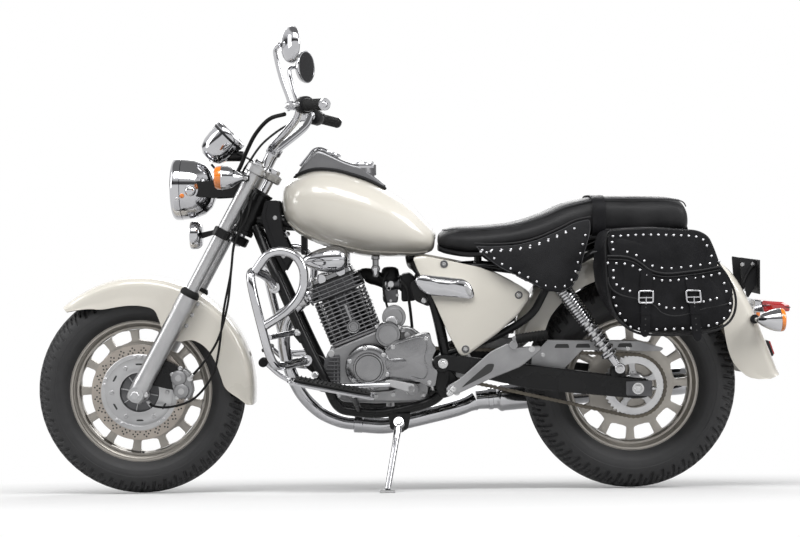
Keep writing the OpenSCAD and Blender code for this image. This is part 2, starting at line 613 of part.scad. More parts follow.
module switch_gear() translate([nose, 0, 0]) {
    color("#1b1b1c") pair() difference() {
        rod(grip_in - 36 * grip_dir, grip_in + 3 * grip_dir, 24);
        rod(grip_in - 60 * grip_dir, grip_out, bar_r + fit);
    }
    color("silver") pair() {
        rod([946, 238, 1106], [972, 238, 1104], 10);
        tube([[968, 234, 1104], [966, 290, 1103], [942, 350, 1100], [932, 392, 1099]], 6, 8, [1, 0, 0]);
    }
    color("#1b1b1c") translate([928, -262, 1121]) cube([26, 40, 22]);
}
mirror_c = [958, 305, 1266];
module mirrors() color("silver") translate([nose, 0, 0]) pair() {
    tube([[962, 238, 1116], [988, 246, 1180], [1004, 252, 1240], [1000, 270, 1262], [962, 298, 1267]],
        5, 8, [0, 1, 0]);
    translate(mirror_c + [14, 0, 0]) rotate([0, -90, 0])
        rotate_extrude() polygon([[0, 0], [26, 2], [42, 10], [50, 22], [50, 28], [0, 28]]);
}

lamp_x = 1300;
lamp_z = 886;
module headlamp() translate([nose, 0, 0]) {
    color("silver") translate([lamp_x - 104, 0, lamp_z]) rotate([0, 90, 0])
        rotate_extrude() polygon([[0, 0], [30, 3], [55, 14], [74, 34], [85, 62], [lamp_r - 2, 90],
            [lamp_r, 100],
            [lamp_r, 118], [lamp_r - 8, 124], [lamp_r - 30, 130], [0, 134]]);
    // Bracket arms back to the fork tubes.
    color("#1b1b1c") pair() plate([[1274, 866], [1274, 906], [1110, 902], [1092, 880], [1110, 862]],
        72, leg_y - tube_r - seat_gap);
}
module horn() color("silver") {
    translate([1240 + nose, 0, 752]) rotate([0, 90, 0]) cylinder(r = 41, h = 34);
    plate([for (q = [fork_pt(yoke_x + seat_gap, 0, low_yoke), [1242 + nose, 0, 742],
        [1242 + nose, 0, 760],
        fork_pt(yoke_x + seat_gap, 0, low_yoke + 16)]) [q[0], q[2]]], -10, 10);
}
dial_tilt = 45;
module speedometer() color("silver") {
    translate([1222 + nose, 0, 975]) rotate([0, -dial_tilt, 0])
        rotate_extrude() polygon([[0, 0], [22, 2], [38, 14], [46, 36], [50, 70], [52, 96], [48, 102],
            [0, 102]]);
    at_fork() translate([-10, -22, top_yoke + yoke_t + seat_gap]) cube([92, 44, 6]);
}
module front_indicators() color("#c8c8c8") translate([nose, 0, 0]) pair() {
    translate([1096, bullet_y + 38, 913]) rotate([0, 90, 0]) bullet(6);
    bar_y([1134, 0, 913], 8, leg_y + 20, bullet_y + 16);
    translate([1090, leg_y + tube_r + seat_gap, 903]) cube([52, 5, 20]);
}

fender_r = front_r + 30;
// Angles up from straight ahead: front edge, step in the skirts behind the fork, rear edge.
fender_a = [49, 108, 187];
// Inner radius of the skirts ahead of the step and behind it.
skirt_r = [252, 226];
module front_fender() color("#d6d0c0") {
    translate([wheelbase, 0, front_z]) rotate([90, 0, 0]) {
        rotate([0, 0, fender_a[0]]) rotate_extrude(angle = fender_a[2] - fender_a[0])
            polygon([for (s = arch(front_fender_w, fender_r - skirt_r[0], sheet)) [fender_r + s[0], s[1]]]);
        rotate([0, 0, fender_a[1]]) rotate_extrude(angle = fender_a[2] - fender_a[1] - 1)
            for (y = [sheet - front_fender_w, front_fender_w]) translate([skirt_r[1], y - sheet + 0.2])
                square([skirt_r[0] - skirt_r[1] + sheet, sheet - 0.4]);
    }
    // Bosses that bolt to the sliders.
    pair() bar_y(fork_pt(0, 0, 290), 9, front_fender_w - 1, leg_y - slider_r - seat_gap);
}
caliper_a = 170;
module brake_caliper() color("silver") difference() {
    union() {
        translate([wheelbase, 0, front_z]) rotate([0, -caliper_a, 0])
            translate([86, caliper_y - 15, -38]) cube([74, 45, 76]);
        plate([for (q = [fork_pt(-14, 0, 36), fork_pt(-14, 0, 120), fork_pt(-110, 0, 110),
            fork_pt(-120, 0, 70)])
            [q[0], q[2]]], caliper_y + 9, caliper_y + 21);
    }
    translate([wheelbase, 0, front_z]) rotate([0, -caliper_a, 0])
        translate([60, caliper_y - disc_t / 2 - clear, -50])
            cube([disc_r + clear - 60, disc_t + 2 * clear, 100]);
    at_fork() translate([0, leg_y, -40]) cylinder(r = slider_r + seat_gap, h = 300);
}
// Throttle, clutch and speedometer cables with the brake hose, all held along their way.
speedo_cable = [
    [-34, 75, -8], [-60, 84, -10], [-105, 92, 14], [-150, 100, 66], [-166, 108, 146], [-150, 108, 218],
    [-107, 104, 330], [-76, 92, 427], [-46, 84, 500], [-38, 82, 545], [-14, 60, 600], [48, 36, 645],
        [128, 8, 676]
];
loom = [[-12, 212, 900], [24, 170, 868], [44, 120, 815], [48, 80, 758], [46, 56, 700], [58, 34, 655],
    [74, 20, 632]];
hose = [[-112, 90, 112], [-126, 104, 170], [-132, 108, 250], [-110, 112, 350], [-74, 112, 440],
    [-46, 110, 515],
    [-40, 100, 600], [-12, 56, 662], [36, 0, 692], [42, -60, 738], [38, -110, 800], [14, -170, 868],
        [-14, -218, 908]];
module control_cables() color("#1b1b1c") {
    for (c = [[speedo_cable, 3.5], [loom, 6], [hose, 3.5]])
        tube(curve([for (q = c[0]) fork_pt(q[0], q[1], q[2])], 2), c[1], 8, [1, 0.3, 0.1]);
}

// ---- Wheels ----

// Half width of the bead as a share of the tyre's, and the height of the rim's flange.
bead_share = 0.27;
flange_h = 17;
module tyre(r, w, bead) rotate([90, 0, 0]) rotate_extrude($fn = 96) polygon(concat(
    [for (a = [-90:10:90]) [r - w / 2 + w / 2 * cos(a), w / 2 * sin(a)]],
    [[bead + flange_h + 1, w * bead_share], [bead + seat_gap, w * bead_share],
        [bead + seat_gap, -w * bead_share], [bead + flange_h + 1, -w * bead_share]]));
// A cast wheel: barrel with flanges, a flat web with windows, and a hub bored for the axle.
module wheel(w, bead, win, count, hub, hub_rad) rotate([90, 0, 0]) difference() {
    inner = w * bead_share + seat_gap;
    outer = inner + 6;
    rotate_extrude($fn = 96) polygon([
        [axle_r + fit, -hub[0]], [hub_rad, -hub[0]], [hub_rad, -8], [win[1] + 1, -7], [win[1] + 1, 8 - outer],
        [bead - 12, -outer], [bead + flange_h, -outer], [bead + flange_h, -inner], [bead, -inner],
        [bead, inner], [bead + flange_h, inner], [bead + flange_h, outer], [bead - 12, outer],
        [win[1] + 1, outer - 8], [win[1] + 1, 7], [hub_rad, 8], [hub_rad, hub[1]], [axle_r + fit, hub[1]]]);
    for (k = [0:count - 1]) rotate([0, 0, 360 * (k + 0.5) / count]) translate([0, 0, -30]) linear_extrude(60)
        polygon(concat(arc_pts([0, 0], win[1], -window_half / count, window_half / count, 4),
            arc_pts([0, 0], win[0], window_half / count, -window_half / count, 4)));
}
// Half the angle of all the windows together.
window_half = 126;
module front_tyre() color("#1a1a1a") translate([wheelbase, 0, front_z]) tyre(front_r, front_w, front_bead_r);
module front_rim() color("#a5a098") translate([wheelbase, 0, front_z])
    wheel(front_w, front_bead_r, [146, 179], front_windows, [hub_left, hub_right], 30);
module brake_disc() color("silver") translate([wheelbase, 0, front_z]) difference() {
    union() {
        bar_y([0, 0, 0], disc_r, disc_y, disc_y + disc_t);
        bar_y([0, 0, 0], 40, 8 + seat_gap, disc_y);
    }
    bar_y([0, 0, 0], 30 + seat_gap, 0, 80);
}
module rear_tyre() color("#1a1a1a") translate([0, 0, rear_z]) tyre(rear_r, rear_w, rear_bead_r);
module rear_rim() color("#a5a098") translate([0, 0, rear_z])
    wheel(rear_w, rear_bead_r, [128, 168], rear_windows, [rear_hub, rear_hub], 64);
module rear_sprocket() color("#8a8a8a") translate([0, 0, rear_z]) difference() {
    bar_y([0, 0, 0], sprocket_r - 4.5 - clear, rear_hub + seat_gap, chain_y + 4);
    bar_y([0, 0, 0], axle_r + fit, 0, 120);
}

// ---- Side stand ----

// A point of the upright machine, as it lies when parked.
function park(p) = [p[0] - centre_x, p[1] * cos(lean) + p[2] * sin(lean) - centre_y,
    -p[1] * sin(lean) + p[2] * cos(lean) + lift];
// Thickness of the foot, and how far out and ahead of the pivot the leg's lower end stands.
stand_pad = 8;
stand_out = 96;
stand_ahead = 34;
stand_toe = let (y = stand_pivot[1] + stand_out)
    [stand_pivot[0] + stand_ahead, y, (stand_pad - 2 - lift + y * sin(lean)) / cos(lean)];
// The leg turns in the plane of its lowered and its folded direction.
stand_folded = [-205, 14, 22];
stand_axis = unit(cross(stand_toe - stand_pivot, stand_folded));
// Half the length of the leg's eye along its pin, and the pin's radius.
stand_eye = 9;
stand_pin = 6;
module at_stand() translate(stand_pivot) rotate([0, acos(stand_axis[2]), atan2(stand_axis[1], stand_axis[0])])
    children();
module side_stand() color("silver") {
    parked() difference() {
        union() {
            at_stand() translate([0, 0, -stand_eye]) cylinder(r = 15, h = 2 * stand_eye);
            rod(stand_pivot, stand_toe, 8.5);
        }
        at_stand() translate([0, 0, -20]) cylinder(r = stand_pin + fit, h = 40);
    }
    translate([park(stand_toe)[0] - 22, park(stand_toe)[1] - 22, 0]) cube([44, 44, stand_pad]);
}

parked() main_frame();
parked() neck_cover();
parked() swingarm();
parked() rear_shocks();
parked() fuel_tank();
parked() tank_console();
parked() seat();
parked() seat_skirts();
parked() side_covers();
parked() side_scoops();
parked() rear_fender();
parked() tail_lamp();
parked() rear_indicators();
parked() plate_bracket();
parked() saddlebags();
parked() crankcase();
parked() cylinder_block();
parked() cylinder_head();
parked() engine_covers();
parked() carburettor();
parked() exhaust();
parked() engine_guards();
parked() horn_cover();
parked() footboards();
parked() foot_levers();
parked() passenger_pegs();
parked() chain_guard();
parked() drive_chain();
parked() rear_brake();
parked() fork_yokes();
parked() fork_tubes();
parked() fork_sliders();
parked() handlebar();
parked() grips();
parked() switch_gear();
parked() mirrors();
parked() headlamp();
parked() horn();
parked() speedometer();
parked() front_indicators();
parked() front_fender();
parked() brake_caliper();
parked() control_cables();
parked() front_tyre();
parked() front_rim();
parked() brake_disc();
parked() rear_tyre();
parked() rear_rim();
parked() rear_sprocket();
side_stand();
parked() fuel_cap();
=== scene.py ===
"""A cruiser motorcycle, dressed around its construction model.

The machine is drawn upright in millimetres: X forward from the rear axle, Y to the left and Z up
from the ground. Parking then leans every finished mesh onto the side stand, in metres.
"""
import json
import logging
import math
from collections.abc import Callable, Sequence
from dataclasses import dataclass, field, replace
from enum import Enum

import bmesh
import bpy
import numpy as np
from mathutils import Matrix, Vector
from numpy.typing import ArrayLike, NDArray


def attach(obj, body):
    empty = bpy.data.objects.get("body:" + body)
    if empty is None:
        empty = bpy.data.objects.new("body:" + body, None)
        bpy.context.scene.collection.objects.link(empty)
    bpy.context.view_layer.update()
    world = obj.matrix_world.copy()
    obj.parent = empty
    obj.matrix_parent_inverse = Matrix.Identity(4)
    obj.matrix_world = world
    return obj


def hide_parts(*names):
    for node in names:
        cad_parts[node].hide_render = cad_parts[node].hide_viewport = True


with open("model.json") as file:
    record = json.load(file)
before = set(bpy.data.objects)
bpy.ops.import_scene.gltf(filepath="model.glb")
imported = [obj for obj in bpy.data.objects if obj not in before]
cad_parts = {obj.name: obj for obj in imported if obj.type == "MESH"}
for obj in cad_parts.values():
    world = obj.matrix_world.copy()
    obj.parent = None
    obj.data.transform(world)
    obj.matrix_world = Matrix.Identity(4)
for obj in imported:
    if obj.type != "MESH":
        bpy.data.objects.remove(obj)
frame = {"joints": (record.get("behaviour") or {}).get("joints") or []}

Points = NDArray[np.float64]
Faces = NDArray[np.int64]
log = logging.getLogger("motorcycle")

MM = 0.001
WHEELBASE = 1422.0
FRONT_AXLE = np.array([WHEELBASE, 0.0, 302.0])
RAKE = math.radians(28.7)
FORK_OFFSET = 42.0
LEG_Y = 97.0


# ---- Curves and vectors ----

def array(values: ArrayLike) -> Points:
    """Returns the values as an array of floats."""
    return np.asarray(values, dtype=np.float64)


def unit(vectors: ArrayLike) -> Points:
    """Returns vectors of length one, along the last axis."""
    v = array(vectors)
    return v / np.maximum(np.linalg.norm(v, axis=-1, keepdims=True), 1e-9)


def ease(x: ArrayLike, low: float = 0.0, high: float = 1.0) -> Points:
    """Smooth step: 3t² - 2t³, where t runs from 0 at low to 1 at high."""
    t = np.clip((array(x) - low) / (high - low), 0.0, 1.0)
    return t * t * (3.0 - 2.0 * t)


def spline(points: ArrayLike, steps: int, closed: bool = False) -> Points:
    """A smooth curve through every point (Catmull-Rom).

    Between b and c, with neighbours a and d, it is half of
    2b + (c - a)t + (2a - 5b + 4c - d)t² + (3b - a - 3c + d)t³.

    Args:
        points: the points it passes, one to a row.
        steps: how many stretches each gap is cut into.
        closed: whether the last point joins the first.

    Returns:
        The points of the curve.
    """
    p = array(points)
    if closed:
        a, b, c, d = np.roll(p, 1, 0), p, np.roll(p, -1, 0), np.roll(p, -2, 0)
    else:
        ends = np.concatenate([2 * p[:1] - p[1:2], p, 2 * p[-1:] - p[-2:-1]])
        a, b, c, d = ends[:-3], ends[1:-2], ends[2:-1], ends[3:]
    t = (np.arange(steps) / steps)[None, :, None]
    a, b, c, d = (q[:, None, :] for q in (a, b, c, d))
    curve = 0.5 * (2 * b + (c - a) * t + (2 * a - 5 * b + 4 * c - d) * t**2 + (3 * b - a - 3 * c + d) * t**3)
    curve = curve.reshape(-1, p.shape[1])
    return curve if closed else np.concatenate([curve, p[-1:]])


def profile(x: ArrayLike, table: ArrayLike) -> Points:
    """Values of a smooth curve through a table's rows.

    The rows become a fine Catmull-Rom curve, which is then read off at each x.

    Args:
        x: where to read it.
        table: rows of x and then any number of values, in rising x.

    Returns:
        One value, or one row of values, for each x.
    """
    fine = spline(table, 12)
    columns = [np.interp(array(x), fine[:, 0], fine[:, k]) for k in range(1, fine.shape[1])]
    return columns[0] if len(columns) == 1 else np.stack(columns, -1)


def rounded(outline: ArrayLike, radius: float, steps: int = 4) -> Points:
    """Rounds an outline's corners.

    Each corner becomes the curve (1-t)²A + 2t(1-t)C + t²B, where C is the corner and A and B lie
    a radius from it along its two sides, or less where a side is short.

    Args:
        outline: the corners in order.
        radius: how far from each corner the rounding starts.
        steps: stretches in each rounding.

    Returns:
        The rounded outline.
    """
    p = array(outline)
    before, after = np.roll(p, 1, 0) - p, np.roll(p, -1, 0) - p
    reach_a = np.minimum(radius, 0.45 * np.linalg.norm(before, axis=1, keepdims=True))
    reach_b = np.minimum(radius, 0.45 * np.linalg.norm(after, axis=1, keepdims=True))
    a, b = (p + unit(before) * reach_a)[:, None], (p + unit(after) * reach_b)[:, None]
    t = np.linspace(0, 1, steps + 1)[None, :, None]
    return ((1 - t) ** 2 * a + 2 * t * (1 - t) * p[:, None] + t**2 * b).reshape(-1, p.shape[1])


def arc(centre: ArrayLike, radius: float, start: float, end: float, steps: int = 12) -> Points:
    """Points of a circle's arc in a plane, between two angles in degrees."""
    a = np.radians(np.linspace(start, end, steps + 1))
    return array(centre) + radius * np.stack([np.cos(a), np.sin(a)], -1)


def basis(axis: ArrayLike) -> Points:
    """Returns three rows: two directions across the axis, and the axis itself."""
    w = unit(axis)
    side = np.array([1.0, 0, 0]) if abs(w[0]) < 0.8 else np.array([0, 0, 1.0])
    u = unit(side - w * (side @ w))
    return np.stack([u, np.cross(w, u), w])


def fork(x: float, y: float, z: float) -> Points:
    """Returns the place of a point given ahead of the fork legs, across, and up from the axle."""
    c, s = math.cos(RAKE), math.sin(RAKE)
    return FRONT_AXLE + np.array([x * c - z * s, y, x * s + z * c])


FORK_UP = fork(0, 0, 1) - fork(0, 0, 0)
FORK_AHEAD = fork(1, 0, 0) - fork(0, 0, 0)


# ---- Shapes ----

@dataclass
class Shape:
    """A mesh in upright millimetres.

    Attributes:
        points: its vertices, one to a row.
        faces: arrays of faces, each array holding faces of one number of corners.
    """

    points: Points
    faces: list[Faces]

    def __add__(self, other: "Shape") -> "Shape":
        """Returns both shapes as one."""
        shift = len(self.points)
        return Shape(np.concatenate([self.points, other.points]), self.faces + [f + shift for f in other.faces])

    def mirrored(self) -> "Shape":
        """Returns the shape on the machine's other side, with its faces kept outwards."""
        return Shape(self.points * [1, -1, 1], [f[:, ::-1] for f in self.faces])

    def paired(self) -> "Shape":
        """Returns the shape with its mirror image."""
        return self + self.mirrored()

    def moved(self, offset: ArrayLike) -> "Shape":
        """Returns the shape carried by an offset."""
        return Shape(self.points + array(offset), self.faces)

    def laid(self, rows: Points, origin: ArrayLike) -> "Shape":
        """Returns the shape with its own X, Y and Z along the given rows, at an origin."""
        return Shape(self.points @ rows + array(origin), self.faces)

    def turned(self, axis: ArrayLike, degrees: float, about: ArrayLike = (0, 0, 0)) -> "Shape":
        """Returns the shape turned about an axis through a point."""
        rows = array(Matrix.Rotation(math.radians(degrees), 3, Vector(array(axis))))
        return Shape((self.points - array(about)) @ rows.T + array(about), self.faces)

    def copied(self, rows: Points, origins: Points) -> "Shape":
        """Returns one copy for each set of directions and origin.

        Copy k holds every point p as p times rows[k], plus origins[k].
        """
        n, m = len(origins), len(self.points)
        points = np.einsum("pi,kij->kpj", self.points, rows) + origins[:, None]
        shift = (np.arange(n) * m)[:, None, None]
        return Shape(points.reshape(-1, 3), [(f[None] + shift).reshape(-1, f.shape[1]) for f in self.faces])

    def around(self, centre: ArrayLike, count: int, start: float = 0.0) -> "Shape":
        """Returns copies turned evenly about a line along Y through a centre, first at an angle in degrees.

        The shape is drawn about the origin, with its outward direction along X.
        """
        a = np.radians(start) + 2 * np.pi * np.arange(count) / count
        zero, one = np.zeros(count), np.ones(count)
        rows = np.stack([np.stack([np.cos(a), zero, np.sin(a)], -1), np.stack([zero, one, zero], -1),
                         np.stack([-np.sin(a), zero, np.cos(a)], -1)], 1)
        return self.copied(rows, np.repeat(array(centre)[None], count, 0))


def merged(shapes: Sequence[Shape]) -> Shape:
    """Returns all the shapes as one."""
    total = shapes[0]
    for shape in shapes[1:]:
        total = total + shape
    return total


def grid(points: Points, wrap_rows: bool = False, wrap_columns: bool = False, caps: bool = False) -> Shape:
    """A surface over a grid of points.

    Each face joins point (i, j) to its neighbours at i + 1 and j + 1.

    Args:
        points: rows by columns by three.
        wrap_rows: whether the last row joins the first.
        wrap_columns: whether the last column joins the first.
        caps: whether the first and last rows, which must wrap, are closed by flat faces.

    Returns:
        The surface, whose faces point outwards where columns run counterclockwise seen from the last row.
    """
    n, m = points.shape[:2]
    i = np.arange(n if wrap_rows else n - 1)[:, None]
    j = np.arange(m if wrap_columns else m - 1)[None]
    up, right = (i + 1) % n, (j + 1) % m
    quads = np.stack([i * m + j, i * m + right, up * m + right, up * m + j], -1).reshape(-1, 4)
    faces = [quads]
    if caps:
        ring = np.arange(m)
        faces += [ring[::-1][None], (ring + (n - 1) * m)[None]]
    return Shape(points.reshape(-1, 3), faces)


def lathe(outline: ArrayLike, origin: ArrayLike = (0, 0, 0), axis: ArrayLike = (0, 1, 0), steps: int = 48,
          closed: bool = False, caps: bool = True) -> Shape:
    """A turned shape: each outline point (h, r) becomes a circle of radius r at h along the axis.

    Args:
        outline: rows of distance along the axis and radius.
        origin: where the axis starts.
        axis: its direction.
        steps: points round each circle.
        closed: whether the outline is a closed loop, as on a ring.
        caps: whether open ends are closed by flat faces.

    Returns:
        The turned shape.
    """
    o = array(outline)
    u, v, w = basis(axis)
    a = 2 * np.pi * np.arange(steps) / steps
    across = np.cos(a)[:, None] * u + np.sin(a)[:, None] * v
    points = array(origin) + o[:, 0, None, None] * w + np.maximum(o[:, 1], 0.02)[:, None, None] * across
    return grid(points, wrap_rows=closed, wrap_columns=True, caps=caps and not closed)


def rod(start: ArrayLike, end: ArrayLike, radius: float, steps: int = 24, bevel: float = 0.8) -> Shape:
    """A straight round rod with its edges eased by a small bevel."""
    a, b = array(start), array(end)
    h = float(np.linalg.norm(b - a))
    e = min(bevel, radius * 0.5, h * 0.45)
    return lathe([(0, radius - e), (e, radius), (h - e, radius), (h, radius - e)], a, b - a, steps)


def across(x: float, z: float, y0: float, y1: float, radius: float, steps: int = 32, bevel: float = 0.8) -> Shape:
    """A rod across the machine between two distances from its middle."""
    return rod((x, y0, z), (x, y1, z), radius, steps, bevel)


def ring_frames(path: Points) -> tuple[Points, Points]:
    """Two directions across a path at each of its points.

    The first is at right angles to the path and to the direction in which the path spreads least,
    and the second is at right angles to both path and first.
    """
    along = unit(np.gradient(path, axis=0))
    least = np.linalg.svd(path - path.mean(0) + 1e-9, full_matrices=True)[2][-1]
    first = unit(np.cross(least, along))
    return first, np.cross(along, first)


def tube(path: ArrayLike, radius: ArrayLike, steps: int = 14, flat: float = 1.0, domed: bool = False) -> Shape:
    """A tube along a path: at each point a ring of the radius lies across the path.

    Args:
        path: the points of its middle line.
        radius: one radius, or one for each point.
        steps: points round each ring.
        flat: how much thinner the ring is along its second direction.
        domed: whether the ends are rounded over.

    Returns:
        The closed tube.
    """
    p = array(path)
    r = np.broadcast_to(array(radius), (len(p),)).astype(float)
    if domed:
        lean = np.radians([80, 50, 20])
        start, end = unit(p[0] - p[1]), unit(p[-1] - p[-2])
        p = np.concatenate([p[0] + r[0] * np.sin(lean)[:, None] * start, p,
                            p[-1] + r[-1] * np.sin(lean[::-1])[:, None] * end])
        r = np.concatenate([r[0] * np.cos(lean), r, r[-1] * np.cos(lean[::-1])])
    first, second = ring_frames(p)
    a = 2 * np.pi * np.arange(steps) / steps
    rings = np.cos(a)[None, :, None] * first[:, None] + flat * np.sin(a)[None, :, None] * second[:, None]
    return grid(p[:, None] + r[:, None, None] * rings, wrap_columns=True, caps=True)


def inset(outline: Points, distance: float) -> Points:
    """An outline moved inwards: each point moves along the mean of its two sides' inward normals."""
    side = unit(np.roll(outline, -1, 0) - outline)
    normal = np.stack([-side[:, 1], side[:, 0]], -1)
    mean = unit(normal + np.roll(normal, 1, 0))
    nxt = np.roll(outline, -1, 0)
    area = np.sum(outline[:, 0] * nxt[:, 1] - outline[:, 1] * nxt[:, 0])
    return outline + mean * distance * np.sign(area)


def prism(outline: ArrayLike, low: float, high: float, bevel: float = 1.0) -> Shape:
    """A flat plate drawn in X and Z and thick along Y, with bevelled edges.

    Args:
        outline: its corners in order.
        low: lower distance from the middle.
        high: higher distance from the middle.
        bevel: width of the bevel.

    Returns:
        The plate.
    """
    o = array(outline)
    e = min(bevel, (high - low) * 0.45)
    rings = [(inset(o, e), low), (o, low + e), (o, high - e), (inset(o, e), high)]
    points = np.stack([np.stack([q[:, 0], np.full(len(q), y), q[:, 1]], -1) for q, y in rings])
    return grid(points, wrap_columns=True, caps=True)


def pillow(outline: ArrayLike, base: float, height: float, rim: float, middle: ArrayLike | None = None,
           rings: int = 9) -> Shape:
    """A crowned panel over an outline that its middle sees whole.

    Ring t, from 1 at the edge to 0 at the middle, is the outline shrunk to a share t of its size,
    and it stands rim + (height - rim)·(1 - t²·⁵) off the base.

    Args:
        outline: edge of the panel in X and Z.
        base: distance of its back from the middle of the machine.
        height: how far its middle stands off the base.
        rim: how far its edge stands off the base.
        middle: the point that the rings shrink to, or none for the outline's mean.
        rings: how many rings.

    Returns:
        The panel as a closed solid.
    """
    o = array(outline)
    m = o.mean(0) if middle is None else array(middle)
    t = np.concatenate([[1.0, 1.0], np.linspace(0.985, 0.02, rings)])
    up = np.concatenate([[0.0, rim * 0.75], rim + (height - rim) * (1 - t[2:] ** 2.5)])
    flat = m + t[:, None, None] * (o - m)
    points = np.stack([flat[..., 0], np.broadcast_to((base + up)[:, None], flat.shape[:2]), flat[..., 1]], -1)
    return grid(points, wrap_columns=True, caps=True)


def block(low: ArrayLike, high: ArrayLike, bevel: float = 1.5) -> Shape:
    """A box between two corners, with bevelled upright edges and rims."""
    (x0, y0, z0), (x1, y1, z1) = array(low), array(high)
    e = min(bevel, 0.3 * min(x1 - x0, z1 - z0))
    corners = rounded([(x0, z0), (x1, z0), (x1, z1), (x0, z1)], e * 1.5, 2)
    return prism(corners, y0, y1, e)


def loft(stations: ArrayLike, section: Callable[[float, float, float, float], Points], steps: int) -> Shape:
    """A body through stations along X.

    Args:
        stations: rows of x, underside, top, half width and squareness, in rising x.
        section: gives the y and z offsets of a section from half width, half height, squareness and x.
        steps: how many stretches each gap is cut into.

    Returns:
        The closed body.
    """
    fine = spline(stations, steps)
    rings = [np.column_stack([np.full(len(s), x), s[:, 0], s[:, 1] + (z0 + z1) / 2])
             for x, z0, z1, w, k in fine for s in [section(w, (z1 - z0) / 2, k, x)]]
    return grid(np.stack(rings), wrap_columns=True, caps=True)


def oval(width: float, height: float, power: float, x: float = 0.0, steps: int = 48) -> Points:
    """A rounded box section: |y/width|ᵏ + |z/height|ᵏ = 1, where k is the power."""
    a = 2 * np.pi * np.arange(steps) / steps
    c, s = np.cos(a), np.sin(a)
    return np.column_stack([width * np.sign(c) * np.abs(c) ** (2 / power),
                            height * np.sign(s) * np.abs(s) ** (2 / power)])


def bolt(place: ArrayLike, axis: ArrayLike = (0, 1, 0), radius: float = 6.0, height: float = 4.5) -> Shape:
    """A flanged bolt head with six flats and a shallow dimple, standing off a surface along an axis."""
    flange = lathe([(-1, radius * 1.25), (0.6, radius * 1.25), (1.2, radius * 1.1)], place, axis, 20)
    head = lathe([(0, radius), (height - 0.8, radius), (height, radius * 0.85), (height, radius * 0.45),
                  (height - 1, radius * 0.35)], place, axis, 6)
    return flange + head


def helix(start: ArrayLike, axis: ArrayLike, radius: float, length: float, turns: float, steps: int = 14) -> Points:
    """Points of a helix along an axis, with so many steps to a turn."""
    u, v, w = basis(axis)
    t = np.linspace(0, 1, int(turns * steps))[:, None]
    a = 2 * np.pi * turns * t
    return array(start) + length * t * w + radius * (np.cos(a) * u + np.sin(a) * v)


def bolts(places: ArrayLike, axis: ArrayLike = (0, 1, 0), radius: float = 6.0, height: float = 4.5) -> Shape:
    """Bolt heads at several places, all along one axis."""
    p = array(places)
    one = bolt((0, 0, 0), (0, 0, 1), radius, height)
    return one.copied(np.repeat(basis(axis)[None], len(p), 0), p)


def rounds(places: ArrayLike, axis: ArrayLike, outline: ArrayLike, steps: int = 12) -> Shape:
    """The same small turned shape at several places, with one axis or one for each place."""
    p = array(places)
    axes = np.broadcast_to(array(axis), p.shape)
    one = lathe(outline, (0, 0, 0), (0, 0, 1), steps)
    return one.copied(np.stack([basis(w) for w in axes]), p)


# ---- Finishes ----

class Grain(Enum):
    """The small relief of a surface."""

    SMOOTH = "smooth"
    CAST = "cast"
    SATIN = "satin"
    LEATHER = "leather"
    RUBBER = "rubber"
    TURNED = "turned"


